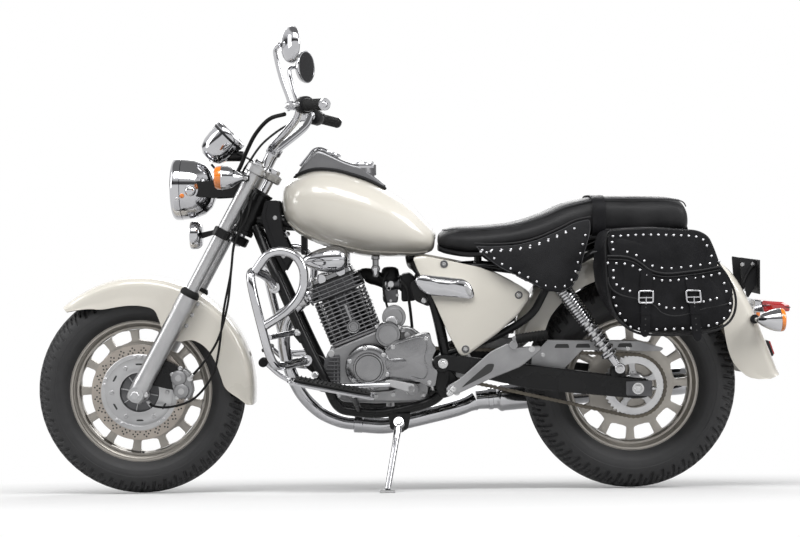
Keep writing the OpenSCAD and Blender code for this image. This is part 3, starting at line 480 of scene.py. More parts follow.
@dataclass(frozen=True)
class Finish:
    """How one surface looks.

    Attributes:
        name: its name, from which its material's is made.
        colour: its colour.
        second: the colour that it drifts to in patches.
        metallic: 1 for bare metal.
        roughness: its mean roughness.
        spread: how far the roughness drifts to either side.
        grain: its small relief.
        relief: depth of the relief in millimetres.
        patch: size of the patches, as noise scale in 1/m.
        coat: strength of a clear coat.
        sheen: strength of the soft sheen of cloth and leather.
        glow: strength of light of its own colour, for lenses.
        clear: share of light that passes, for glass and lenses.
        shine: strength of the surface's own reflection; bare black rubber and leather have little.
    """

    name: str
    colour: tuple[float, float, float]
    second: tuple[float, float, float]
    metallic: float = 0.0
    roughness: float = 0.4
    spread: float = 0.05
    grain: Grain = Grain.SMOOTH
    relief: float = 0.05
    patch: float = 14.0
    coat: float = 0.0
    sheen: float = 0.0
    glow: float = 0.0
    clear: float = 0.0
    shine: float = 0.5

    def material(self) -> bpy.types.Material:
        """Returns the finish's material, made on first use and named apart from the CAD's own of the same slot."""
        made = bpy.data.materials.get(f"{self.name}_look")
        return made if made else self._made()

    def _made(self) -> bpy.types.Material:
        """Builds the material: two colours and two roughnesses mixed by noise, under a relief."""
        m = bpy.data.materials.new(f"{self.name}_look")
        m.use_nodes = True
        nodes, links = m.node_tree.nodes, m.node_tree.links
        shader = nodes["Principled BSDF"]
        place = nodes.new("ShaderNodeTexCoord").outputs["Object"]
        drift = nodes.new("ShaderNodeTexNoise")
        drift.inputs["Scale"].default_value = self.patch
        drift.inputs["Detail"].default_value = 5
        links.new(place, drift.inputs["Vector"])
        for socket, low, high in (("Base Color", self.colour, self.second),
                                  ("Roughness", self.roughness - self.spread, self.roughness + self.spread)):
            ramp = nodes.new("ShaderNodeMapRange")
            ramp.inputs["From Min"].default_value, ramp.inputs["From Max"].default_value = 0.32, 0.68
            links.new(drift.outputs["Fac"], ramp.inputs["Value"])
            if socket == "Roughness":
                ramp.inputs["To Min"].default_value, ramp.inputs["To Max"].default_value = low, high
                links.new(ramp.outputs["Result"], shader.inputs[socket])
                continue
            mix = nodes.new("ShaderNodeMix")
            mix.data_type = "RGBA"
            mix.inputs["A"].default_value, mix.inputs["B"].default_value = (*low, 1), (*high, 1)
            links.new(ramp.outputs["Result"], mix.inputs["Factor"])
            links.new(mix.outputs["Result"], shader.inputs[socket])
        self._raise(nodes, links, place, shader)
        for socket, value in (("Metallic", self.metallic), ("Coat Weight", self.coat), ("Coat Roughness", 0.04),
                              ("Sheen Weight", self.sheen), ("Sheen Roughness", 0.4),
                              ("Transmission Weight", self.clear), ("Emission Strength", self.glow),
                              ("Specular IOR Level", self.shine)):
            shader.inputs[socket].default_value = value
        shader.inputs["Emission Color"].default_value = (*self.colour, 1)
        return m

    def _raise(self, nodes: bpy.types.Nodes, links: bpy.types.NodeLinks, place: bpy.types.NodeSocket,
               shader: bpy.types.Node) -> None:
        """Adds the relief: cells and noise for leather, noise alone for the rest, stretched on turned metal.

        Args:
            nodes: the material's nodes.
            links: its links.
            place: the Object coordinates.
            shader: the shader whose normal is raised.
        """
        scale = {Grain.SMOOTH: 60.0, Grain.CAST: 900.0, Grain.SATIN: 1800.0, Grain.LEATHER: 420.0,
                 Grain.RUBBER: 1200.0, Grain.TURNED: 300.0}[self.grain]
        noise = nodes.new("ShaderNodeTexNoise")
        noise.inputs["Scale"].default_value = scale
        noise.inputs["Detail"].default_value = 3
        links.new(place, noise.inputs["Vector"])
        height = noise.outputs["Fac"]
        if self.grain is Grain.LEATHER:
            cells = nodes.new("ShaderNodeTexVoronoi")
            cells.feature = "DISTANCE_TO_EDGE"
            cells.inputs["Scale"].default_value = 300
            links.new(place, cells.inputs["Vector"])
            crease = nodes.new("ShaderNodeMapRange")
            crease.inputs["From Max"].default_value = 0.25
            links.new(cells.outputs["Distance"], crease.inputs["Value"])
            total = nodes.new("ShaderNodeMath")
            links.new(crease.outputs["Result"], total.inputs[0])
            links.new(noise.outputs["Fac"], total.inputs[1])
            height = total.outputs["Value"]
        bump = nodes.new("ShaderNodeBump")
        bump.inputs["Strength"].default_value = 1.0
        bump.inputs["Distance"].default_value = self.relief * MM
        links.new(height, bump.inputs["Height"])
        links.new(bump.outputs["Normal"], shader.inputs["Normal"])


PEARL = Finish("pearl_paint", (0.735, 0.70, 0.62), (0.765, 0.73, 0.655), roughness=0.3, spread=0.03, relief=0.02,
               patch=5, coat=1.0)
BLACK_PAINT = Finish("frame_black", (0.007, 0.007, 0.0075), (0.012, 0.012, 0.0125), roughness=0.28, shine=0.22)
BLACK_PLASTIC = Finish("black_plastic", (0.011, 0.011, 0.012), (0.018, 0.018, 0.019), roughness=0.46, grain=Grain.CAST,
                       relief=0.03, shine=0.18)
CHROME = Finish("chrome", (0.53, 0.53, 0.545), (0.47, 0.47, 0.485), metallic=1, roughness=0.075, spread=0.02,
                relief=0.02)
SATIN = Finish("satin_alloy", (0.47, 0.47, 0.475), (0.41, 0.41, 0.415), metallic=0.9, roughness=0.36, grain=Grain.SATIN,
               relief=0.01)
CAST = Finish("cast_alloy", (0.33, 0.33, 0.335), (0.26, 0.26, 0.265), metallic=0.85, roughness=0.48, grain=Grain.CAST,
              relief=0.12)
POLISHED = Finish("polished_alloy", (0.27, 0.27, 0.275), (0.22, 0.22, 0.225), metallic=1, roughness=0.24,
                  grain=Grain.SATIN, relief=0.008)
DARK_CAST = Finish("dark_cast", (0.10, 0.10, 0.105), (0.15, 0.15, 0.155), metallic=0.6, roughness=0.45,
                   grain=Grain.CAST, relief=0.1)
FIN_EDGE = Finish("fin_edge", (0.42, 0.42, 0.43), (0.34, 0.34, 0.35), metallic=0.9, roughness=0.32, relief=0.03)
WHEEL = Finish("wheel_alloy", (0.40, 0.375, 0.34), (0.34, 0.32, 0.29), metallic=0.75, roughness=0.42,
               grain=Grain.SATIN, relief=0.012, coat=0.2)
LEATHER = Finish("leather", (0.008, 0.008, 0.009), (0.014, 0.014, 0.0155), roughness=0.46, spread=0.07,
                 grain=Grain.LEATHER, relief=0.22, patch=22, shine=0.11)
VINYL = Finish("vinyl", (0.012, 0.012, 0.013), (0.02, 0.02, 0.021), roughness=0.48, grain=Grain.LEATHER, relief=0.1,
               shine=0.2)
RUBBER = Finish("rubber", (0.012, 0.012, 0.012), (0.02, 0.02, 0.02), roughness=0.6, grain=Grain.RUBBER, shine=0.12)
TYRE = Finish("tyre", (0.014, 0.014, 0.015), (0.024, 0.024, 0.025), roughness=0.6, grain=Grain.RUBBER, relief=0.08,
              patch=30)
DISC = Finish("disc_steel", (0.40, 0.36, 0.32), (0.32, 0.29, 0.26), metallic=0.9, roughness=0.34, grain=Grain.TURNED,
              relief=0.03)
STEEL = Finish("steel", (0.55, 0.55, 0.55), (0.45, 0.45, 0.46), metallic=1, roughness=0.3, grain=Grain.TURNED,
               relief=0.02)
CHAIN = Finish("chain_steel", (0.09, 0.08, 0.068), (0.14, 0.125, 0.1), metallic=0.8, roughness=0.42, relief=0.04)
RED = Finish("red_lens", (0.42, 0.012, 0.014), (0.34, 0.01, 0.012), roughness=0.1, coat=1, glow=0.08, relief=0.01)
AMBER = Finish("amber_lens", (0.85, 0.23, 0.01), (0.75, 0.19, 0.01), roughness=0.12, coat=1, glow=0.12, relief=0.01)
GLASS = Finish("lamp_glass", (0.88, 0.9, 0.92), (0.84, 0.86, 0.88), roughness=0.04, spread=0.01, coat=1, clear=0.85,
               relief=0.01)
MIRROR = Finish("mirror_glass", (0.8, 0.81, 0.82), (0.77, 0.78, 0.79), metallic=0.45, roughness=0.05, spread=0.01,
                relief=0.0)
CONSOLE = Finish("console_alloy", (0.2, 0.2, 0.205), (0.16, 0.16, 0.165), metallic=0.85, roughness=0.34,
                 grain=Grain.SATIN,
                 relief=0.008)
DIAL = Finish("dial_face", (0.55, 0.55, 0.53), (0.5, 0.5, 0.48), roughness=0.4)
# Near black for dark joints, seams, switch buttons and a dark ring on the generator cover, and also for painted shade:
# holes, slot openings, pinch gaps and windows are drawn as thin near-black patches instead of being cut.
MARKS_AND_OPENING_SHADE = Finish("dial_marks", (0.02, 0.02, 0.02), (0.03, 0.03, 0.03), roughness=0.5)
THREAD = Finish("thread", (0.045, 0.045, 0.048), (0.06, 0.06, 0.064), roughness=0.7, relief=0.05)


# ---- Workshop ----

@dataclass(frozen=True)
class Parking:
    """The lean onto the side stand.

    Attributes:
        lean: angle to the left.
        middle: place of the machine's middle in X and Y, in millimetres.
        lift: how far the leaning tyres' round treads raise the machine, in millimetres.
    """

    lean: float
    middle: tuple[float, float]
    lift: float

    @classmethod
    def read(cls) -> "Parking":
        """Reads the lean, the middle and the lift from the front wheel's joint in the frame."""
        joints = {j["name"]: j for j in frame["joints"]}
        axis = joints["front_wheel_spin"]["axis"]
        lean = math.atan2(-axis[2], axis[1])
        place = array(joints["front_wheel_spin"]["pos_m"]) / MM
        lift = place[2] - FRONT_AXLE[2] * math.cos(lean)
        return cls(lean, (WHEELBASE - place[0], FRONT_AXLE[2] * math.sin(lean) - place[1]), lift)

    def metres(self, points: Points) -> Points:
        """Returns upright millimetres as parked metres: a turn about X by minus the lean, then a shift."""
        c, s = math.cos(self.lean), math.sin(self.lean)
        x, y, z = points[..., 0], points[..., 1], points[..., 2]
        return np.stack([x - self.middle[0], y * c + z * s - self.middle[1], z * c - y * s + self.lift], -1) * MM

    def upright(self, vector: Points, place: bool = True) -> Points:
        """Undoes the parking of a place, or of a direction, in millimetres."""
        c, s = math.cos(self.lean), math.sin(self.lean)
        x, y, z = vector + place * array([self.middle[0], self.middle[1], -self.lift])
        return array([x, y * c - z * s, y * s + z * c])


class Body(Enum):
    """The moving bodies of the frame."""

    CHASSIS = "chassis"
    STEERING = "steering"
    FRONT_WHEEL = "front_wheel"
    REAR_WHEEL = "rear_wheel"
    STAND = "stand"
    CAP = "cap"


@dataclass
class Workshop:
    """Makes finished pieces out of shapes.

    Attributes:
        parking: where an upright point lies on the parked machine.
    """

    parking: Parking

    def piece(self, name: str, parts: Sequence[tuple[Shape, Finish]], body: Body, slot: str | None = None,
              stands_for: Sequence[str] = (), sharp: float = 32.0) -> bpy.types.Object:
        """Makes one piece.

        Args:
            name: its name.
            parts: its shapes, each with its finish.
            body: the body it moves with.
            slot: the record's material slot, or none; not used.
            stands_for: CAD nodes that it replaces.
            sharp: edges that turn by more than this many degrees stay crisp.

        Returns:
            The finished object, at the origin.
        """
        whole = merged([shape for shape, _ in parts])
        mesh = bpy.data.meshes.new(name)
        faces = [corners for f in whole.faces for corners in f.tolist()]
        mesh.from_pydata(self.parking.metres(whole.points).tolist(), [], faces)
        finishes = list(dict.fromkeys(finish for _, finish in parts))
        for finish in finishes:
            mesh.materials.append(finish.material())
        index = [np.full(sum(len(f) for f in shape.faces), finishes.index(finish)) for shape, finish in parts]
        mesh.polygons.foreach_set("material_index", np.concatenate(index).astype(np.int32))
        self.outwards(mesh)
        mesh.shade_smooth()
        mesh.set_sharp_from_angle(angle=math.radians(sharp))
        piece = bpy.data.objects.new(name, mesh)
        bpy.context.scene.collection.objects.link(piece)
        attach(piece, body.value)
        if stands_for:
            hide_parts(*stands_for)
        log.info("%s: %d faces on %s", name, len(mesh.polygons), body.value)
        return piece

    @staticmethod
    def outwards(mesh: bpy.types.Mesh) -> None:
        """Turns every closed shell's faces outwards."""
        work = bmesh.new()
        work.from_mesh(mesh)
        bmesh.ops.recalc_face_normals(work, faces=work.faces)
        work.to_mesh(mesh)
        work.free()


# ---- Wheels ----

@dataclass
class Tyre:
    """A treaded tyre standing on its rim.

    Attributes:
        radius: outer radius.
        width: full width.
        bead: radius of the rim's seat.
        pitches: how many times the tread repeats.
        depth: depth of the grooves.
    """

    radius: float
    width: float
    bead: float
    pitches: int
    depth: float = 5.0

    def shape(self, centre: ArrayLike) -> Shape:
        """Builds the tyre about a centre.

        The section's angle a runs from -90° to 90° over the round tread, at radius R - w/2·(1 - cos a)
        and distance w/2·sin a, and goes on down the sidewalls to the bead. Grooves lower the tread by
        their depth where the mask is 1.

        Args:
            centre: the wheel's middle.

        Returns:
            The closed tyre.
        """
        per, rows = 16, 61
        columns = per * self.pitches
        half = self.width / 2
        lean = np.radians(np.linspace(-90, 90, rows))
        turn = 2 * np.pi * np.arange(columns) / columns
        a, t = np.meshgrid(lean, turn * self.pitches / (2 * np.pi), indexing="ij")
        lower = self.depth * self._grooves(np.degrees(a), t)
        radius = self.radius - 0.4 - half + (half - 0.8 - lower) * np.cos(a)
        out = (half - 0.8 - lower) * np.sin(a)
        wall = [(1.0, 0.99, 0.97), (0.86, 0.985, 0.90), (0.82, 0.975, 0.88), (0.6, 0.94, 0.76), (0.56, 0.925, 0.75),
                (0.3, 0.80, 0.66), (0.12, 0.62, 0.575), (0.0, 0.545, 0.54)]
        low, high = self.bead + 1.5, self.radius - half - 1.5
        side = array([(low + (high - low) * s, half * (0.985 * w)) for s, w, _ in wall])
        ends = np.broadcast_to(side[:, None], (len(side), columns, 2))
        radius = np.concatenate([ends[::-1, :, 0], radius, ends[..., 0]])
        out = np.concatenate([-ends[::-1, :, 1], out, ends[..., 1]])
        x, z = radius * np.cos(turn), radius * np.sin(turn)
        points = np.stack([x, out, z], -1) + array(centre)
        return grid(points, wrap_rows=True, wrap_columns=True)

    @staticmethod
    def _grooves(lean: Points, turn: Points) -> Points:
        """Where the tread is cut, from 0 to 1.

        Two wavy rings run at 11° ± 3°, a slanted groove crosses each shoulder from 24° to 66°, a short
        one lies between each two, and a ring at 44° joins them.

        Args:
            lean: the section's angle in degrees.
            turn: the angle round the wheel, in repeats of the tread.

        Returns:
            The mask.
        """
        side = np.abs(lean)
        phase = turn + 0.5 * (lean > 0)

        def band(distance: Points, width: float) -> Points:
            """Returns 1 inside a band about zero, with soft edges."""
            return 1 - ease(np.abs(distance), width * 0.5, width)

        def saw(offset: Points) -> Points:
            """Returns the distance to the nearest whole number."""
            return offset - np.round(offset)

        ring = band(side - 11 - 3 * np.sin(2 * np.pi * turn), 4.5)
        slant = phase + (side - 45) * 0.008
        cut = band(saw(slant), 0.17) * ease(side, 22, 27) * (1 - ease(side, 70, 76))
        short = band(saw(slant + 0.5), 0.13) * ease(side, 30, 34) * (1 - ease(side, 56, 60))
        link = band(side - 42, 4.0) * ease(np.abs(saw(slant)), 0.1, 0.2) * 0.6
        return np.clip(np.maximum.reduce([ring, cut, short, link]), 0, 1)


@dataclass
class CastWheel:
    """A cast wheel: rim, windowed web and hub.

    Attributes:
        bead: radius of the bead seat.
        width: width of the tyre that it takes.
        windows: how many windows the web has.
        reach: inner and outer radius of the windows.
        hub: distances of the hub's right and left ends from the middle.
        hub_radius: radius of the hub.
        bore: radius of the axle's bore.
    """

    bead: float
    width: float
    windows: int
    reach: tuple[float, float]
    hub: tuple[float, float]
    hub_radius: float
    bore: float = 8.5

    def rim(self, centre: ArrayLike) -> Shape:
        """The barrel with its bright outer lip, groove and stepped inner bands, on both sides."""
        inner = self.width * 0.27 + 0.3
        lip, b, r = inner + 6, self.bead, self.reach[1]
        side = [(b - 0.5, inner - 3), (b + 1, inner), (b + 15, inner + 0.4), (b + 16.6, inner + 2), (b + 16.2, lip - 1),
                (b + 14.5, lip), (b + 10.5, lip), (b + 8.8, lip - 1.6), (b + 7.4, lip - 4.6), (b + 2, lip - 5.4),
                (b + 0.2, lip - 3.6), (b - 5, lip - 4.2), (b - 6.5, lip - 8), (r + 10, lip - 13), (r + 8.6, lip - 15.5),
                (r + 3.2, lip - 17), (r + 2, 9.6), (r + 1.2, 8.2)]
        loop = [(y, q) for q, y in side] + [(-y, q) for q, y in side[::-1]]
        return lathe(loop, centre, (0, 1, 0), 128, closed=True)

    def web(self, centre: ArrayLike) -> Shape:
        """The web, as one arm between each two windows, whose edges round over.

        At radius q the arm's half width is q·sin of half the arm's angle, which grows towards both
        ends of a window along a quarter circle.
        """
        low, high = self.reach
        corner = 7.5
        q = np.concatenate([[low - 16, low - 4], low + corner * (1 - np.cos(np.linspace(0, np.pi / 2, 6))),
                            np.linspace(low + corner, high - corner, 7)[1:-1],
                            high - corner * (1 - np.cos(np.linspace(np.pi / 2, 0, 6))), [high + 3]])
        near = np.clip(np.maximum(corner - (q - low), corner - (high - q)), 0, corner)
        fillet = corner - np.sqrt(corner**2 - near**2)
        pitch = 2 * np.pi / self.windows
        open_half = np.radians(126.0 / self.windows)
        solid = q * (pitch / 2 - open_half) + fillet * 1.0
        solid = np.where((q < low) | (q > high), q * pitch / 2 * 1.001, np.minimum(solid, q * pitch / 2))
        t = 7.6
        section = array([(-1, 0.62), (-1, -0.62), (-0.94, -0.9), (-0.8, -1), (0.8, -1), (0.94, -0.9), (1, -0.62),
                         (1, 0.62), (0.94, 0.9), (0.8, 1), (-0.8, 1), (-0.94, 0.9)])
        edge = np.abs(section[:, 0]) - 1
        wide = np.sign(section[:, 0])[None] * (solid[:, None] + edge[None] * 14)
        wide = np.where(solid[:, None] > 13, wide, section[:, 0][None] * solid[:, None])
        angle = wide / q[:, None]
        points = np.stack([q[:, None] * np.cos(angle), np.broadcast_to(t * section[:, 1], angle.shape),
                           q[:, None] * np.sin(angle)], -1)
        arm = grid(points, wrap_columns=True, caps=True)
        return arm.around(centre, self.windows, 0.0)

    def hub_shape(self, centre: ArrayLike, web_radius: float) -> Shape:
        """The hub, its flange and the band that carries the arms."""
        right, left = self.hub
        r, b = self.hub_radius, self.bore
        low = self.reach[0]
        loop = [(-right, b), (-right, r - 3), (-right + 3, r), (-14, r + 2), (-9, r + 10), (-8.4, web_radius),
                (-7.6, low - 6), (-7.0, low - 2), (7.0, low - 2), (7.6, low - 6), (8.4, web_radius), (9, r + 10),
                (14, r + 2), (left - 3, r), (left, r - 3), (left, b)]
        return lathe(loop, centre, (0, 1, 0), 96, closed=True)


@dataclass
class FrontWheel:
    """The front wheel with its disc.

    Attributes:
        centre: the axle.
        tyre: its tyre.
        wheel: its casting.
        disc_y: inner face of the disc.
    """

    centre: Points = field(default_factory=lambda: FRONT_AXLE.copy())
    tyre: Tyre = field(default_factory=lambda: Tyre(302, 110, 203, 54))
    wheel: CastWheel = field(default_factory=lambda: CastWheel(203, 110, 13, (146, 179), (50, 62), 30))
    disc_y: float = 54.0

    def build(self, shop: Workshop) -> None:
        """Makes the tyre, the wheel and the disc."""
        shop.piece("front_tread", [(self.tyre.shape(self.centre), TYRE)], Body.FRONT_WHEEL, "tyre", ["front_tyre"], 24)
        w = self.wheel
        band = w.web(self.centre) + w.hub_shape(self.centre, 100)
        shop.piece("front_casting", [(w.rim(self.centre) + band, WHEEL), (self._valve(), BLACK_PLASTIC)],
                   Body.FRONT_WHEEL, "wheel_alloy", ["front_rim"], 30)
        shop.piece("front_disc", self._disc(), Body.FRONT_WHEEL, "disc_steel", ["brake_disc"], 30)

    def _valve(self) -> Shape:
        """The air valve, standing inwards off the rim."""
        return rod((0, 12, 0), (0, 12, 26), 4).laid(np.eye(3), self.centre + [0, 0, -204])

    def _disc(self) -> list[tuple[Shape, Finish]]:
        """The track, whose drill holes are not cut but drawn as near-black discs of painted shade, the carrier with its
        bolts and a near-black plate of painted shade for each slot, and the dark ribbed hub.
        """
        y = self.disc_y
        c = self.centre
        track = lathe([(y, 109), (y + 5, 109), (y + 5, 137.4), (y + 4.4, 138), (y + 0.6, 138), (y, 137.4)], c,
                      (0, 1, 0), 128, closed=True)
        turn = np.linspace(0, 2 * np.pi, 24, endpoint=False)
        holes = [(q, a + k * np.radians(3.4)) for k, q in enumerate((115, 122, 129)) for a in turn]
        holes += [(q - 3, a + np.radians(6.5) + k * np.radians(3.0)) for k, q in enumerate((118, 126)) for a in turn]
        spots = array([(q * math.cos(a), 0, q * math.sin(a)) for q, a in holes])
        # Painted shade: the drill holes are not cut; near-black discs on the track stand in for the shade inside them.
        drill_hole_shade = rounds(c + spots + [0, y + 5, 0], (0, 1, 0), [(-0.5, 2.6), (0.15, 2.6)], 10)
        carrier = lathe([(y + 0.8, 57), (y + 0.8, 110), (y + 5.4, 110.5), (y + 6.4, 109), (y + 6.4, 98), (y + 4.6, 95),
                         (y + 3.4, 68), (y + 5.2, 64), (y + 5.2, 57)], c, (0, 1, 0), 128, closed=True)
        five = 2 * np.pi * np.arange(5) / 5 + 0.3
        ring = array([(103.5 * math.cos(a + s), y + 6.2, 103.5 * math.sin(a + s)) for a in five for s in (-0.085,
                                                                                                          0.085)])
        heads = rounds(c + ring, (0, 1, 0), [(0, 5.4), (1.6, 5.2), (2.6, 3.8), (2.7, 1.5)], 16)
        six = array([(80 * math.cos(a), y + 3.9, 80 * math.sin(a)) for a in 2 * np.pi * np.arange(6) / 6])
        heads += bolts(c + six, (0, 1, 0), 5.4, 4.0)
        # Painted shade: each slot in the carrier is a thin near-black plate standing in for the shade inside it, not an
        # opening.
        slot = prism(arc((6, 0), 4.6, -90, 90, 8).tolist() + arc((-6, 0), 4.6, 90, 270, 8).tolist(), y + 3.5, y + 4.1,
                     0.2)
        slot_shade = slot.turned((0, 1, 0), 90).moved((83, 0, 0)).around(c, 6, 30.0)
        cup = lathe([(y - 6, 31), (y - 6, 54), (y + 3, 57.4), (y + 4.6, 57.2), (y + 4.8, 60), (y + 0.9, 60),
                     (y - 9, 55), (y - 9, 31)], c, (0, 1, 0), 96, closed=True)
        spoke = block((32, y - 6.4, -1.4), (54, y + 0.5, 1.4), 0.5).around(c, 8, 11.0)
        centre = lathe([(y - 10, 31), (y + 6, 31), (y + 8, 29), (y + 8, 20)], c, (0, 1, 0), 64)
        return [(track, DISC), (drill_hole_shade, MARKS_AND_OPENING_SHADE), (carrier + heads, SATIN), (slot_shade, MARKS_AND_OPENING_SHADE), (cup, DARK_CAST),
                (spoke, SATIN), (centre, POLISHED)]


@dataclass
class RearWheel:
    """The rear wheel with its sprocket.

    Attributes:
        centre: the axle.
        tyre: its tyre.
        wheel: its casting.
        chain_y: the chain's distance from the middle.
        sprocket: pitch radius of the sprocket.
        teeth: how many teeth it has.
    """

    centre: Points = field(default_factory=lambda: array([0, 0, 307.62]))
    tyre: Tyre = field(default_factory=lambda: Tyre(307.5, 130, 190.5, 52, 5.5))
    wheel: CastWheel = field(default_factory=lambda: CastWheel(190.5, 130, 12, (128, 168), (66, 66), 64))
    chain_y: float = 80.0
    sprocket: float = 89.0
    teeth: int = 44

    def build(self, shop: Workshop) -> None:
        """Makes the tyre, the wheel and the sprocket."""
        shop.piece("rear_tread", [(self.tyre.shape(self.centre), TYRE)], Body.REAR_WHEEL, "tyre", ["rear_tyre"], 24)
        w = self.wheel
        shop.piece("rear_casting", [(w.rim(self.centre) + w.web(self.centre) + w.hub_shape(self.centre, 100), WHEEL)],
                   Body.REAR_WHEEL, "wheel_alloy", ["rear_rim"], 30)
        shop.piece("rear_cog", self._cog(), Body.REAR_WHEEL, "chain_steel", ["rear_sprocket"], 30)

    def _cog(self) -> list[tuple[Shape, Finish]]:
        """The toothed ring, whose radius is r + 3.4·cos(teeth·angle), its spider with openings, and its bolts."""
        c, y = self.centre, self.chain_y
        steps = self.teeth * 8
        a = 2 * np.pi * np.arange(steps) / steps
        outer = self.sprocket - 2.2 + 3.0 * np.cos(self.teeth * a)
        rings = [(64, -2.4), (64, 2.4), (78, 2.6), (None, 2.0), (None, -2.0), (78, -2.6)]
        radius = np.stack([outer if q is None else np.full(steps, float(q)) for q, _ in rings])
        side = array([h for _, h in rings])[:, None]
        points = np.stack([radius * np.cos(a), y + np.broadcast_to(side, radius.shape), radius * np.sin(a)], -1) + c
        teeth = grid(points, wrap_rows=True, wrap_columns=True)
        arm = prism([(30, -13), (50, -8), (62, -10), (66, -14), (66, 14), (62, 10), (50, 8), (30, 13)], y - 2.2,
                    y + 2.2)
        hub = lathe([(67, 9), (y + 3, 9), (y + 5, 10.5), (y + 5, 30), (y + 3, 34), (y - 2, 38), (67, 40)], c,
                    (0, 1, 0), 64, closed=True)
        five = 2 * np.pi * np.arange(5) / 5 + 0.2
        ring = c + array([(35 * math.cos(t), y + 2.6, 35 * math.sin(t)) for t in five])
        heads = bolts(ring, (0, 1, 0), 5.2, 4.5)
        return [(teeth, STEEL), (arm.around(c, 5, 12.0) + hub + heads, SATIN)]


# ---- Painted panels ----

def swept(path: Points, sections: Points) -> Shape:
    """A closed section carried along a path that stays in the plane of X and Z.

    At path point p, a section point (s, y) lies at p + s·n + y across, where n is the path's normal.

    Args:
        path: the path's points.
        sections: for each path point, the section's rows of distance outwards and across.

    Returns:
        The closed solid.
    """
    along = unit(np.gradient(path, axis=0))
    outward = np.cross([0.0, 1.0, 0.0], along)
    points = path[:, None] + outward[:, None] * sections[..., :1] + array([0, 1, 0]) * sections[..., 1:]
    return grid(points, wrap_columns=True, caps=True)


def arch_section(width: float, drop: float, sheet: float, steps: int = 36) -> Points:
    """A fender's section: a superellipse crown of power 3, flat sides, and edges that turn out a little.

    Args:
        width: half width.
        drop: how far the edge lies under the crown.
        sheet: thickness.
        steps: stretches over the crown.

    Returns:
        The closed section, outer face first.
    """
    a = np.linspace(np.pi, 0, steps + 1)
    rise = min(0.45 * width, drop * 0.9)
    y = width * np.sign(np.cos(a)) * np.abs(np.cos(a)) ** (2 / 3)
    h = (np.abs(np.sin(a)) ** (2 / 3) - 1) * rise
    low = np.linspace(-drop, -rise, 6)[:-1]
    lip = np.array([1.6, 1.4, 0.0, 0.0, 0.0])
    outer = np.concatenate([np.stack([low, -width - lip], -1), np.stack([h, y], -1),
                            np.stack([low[::-1], width + lip[::-1]], -1)])
    inner = np.stack([outer[::-1, 0] - sheet * 0.9, outer[::-1, 1] * (width - sheet) / width], -1)
    inner[[0, -1], 0] = -drop
    return np.concatenate([outer, inner])


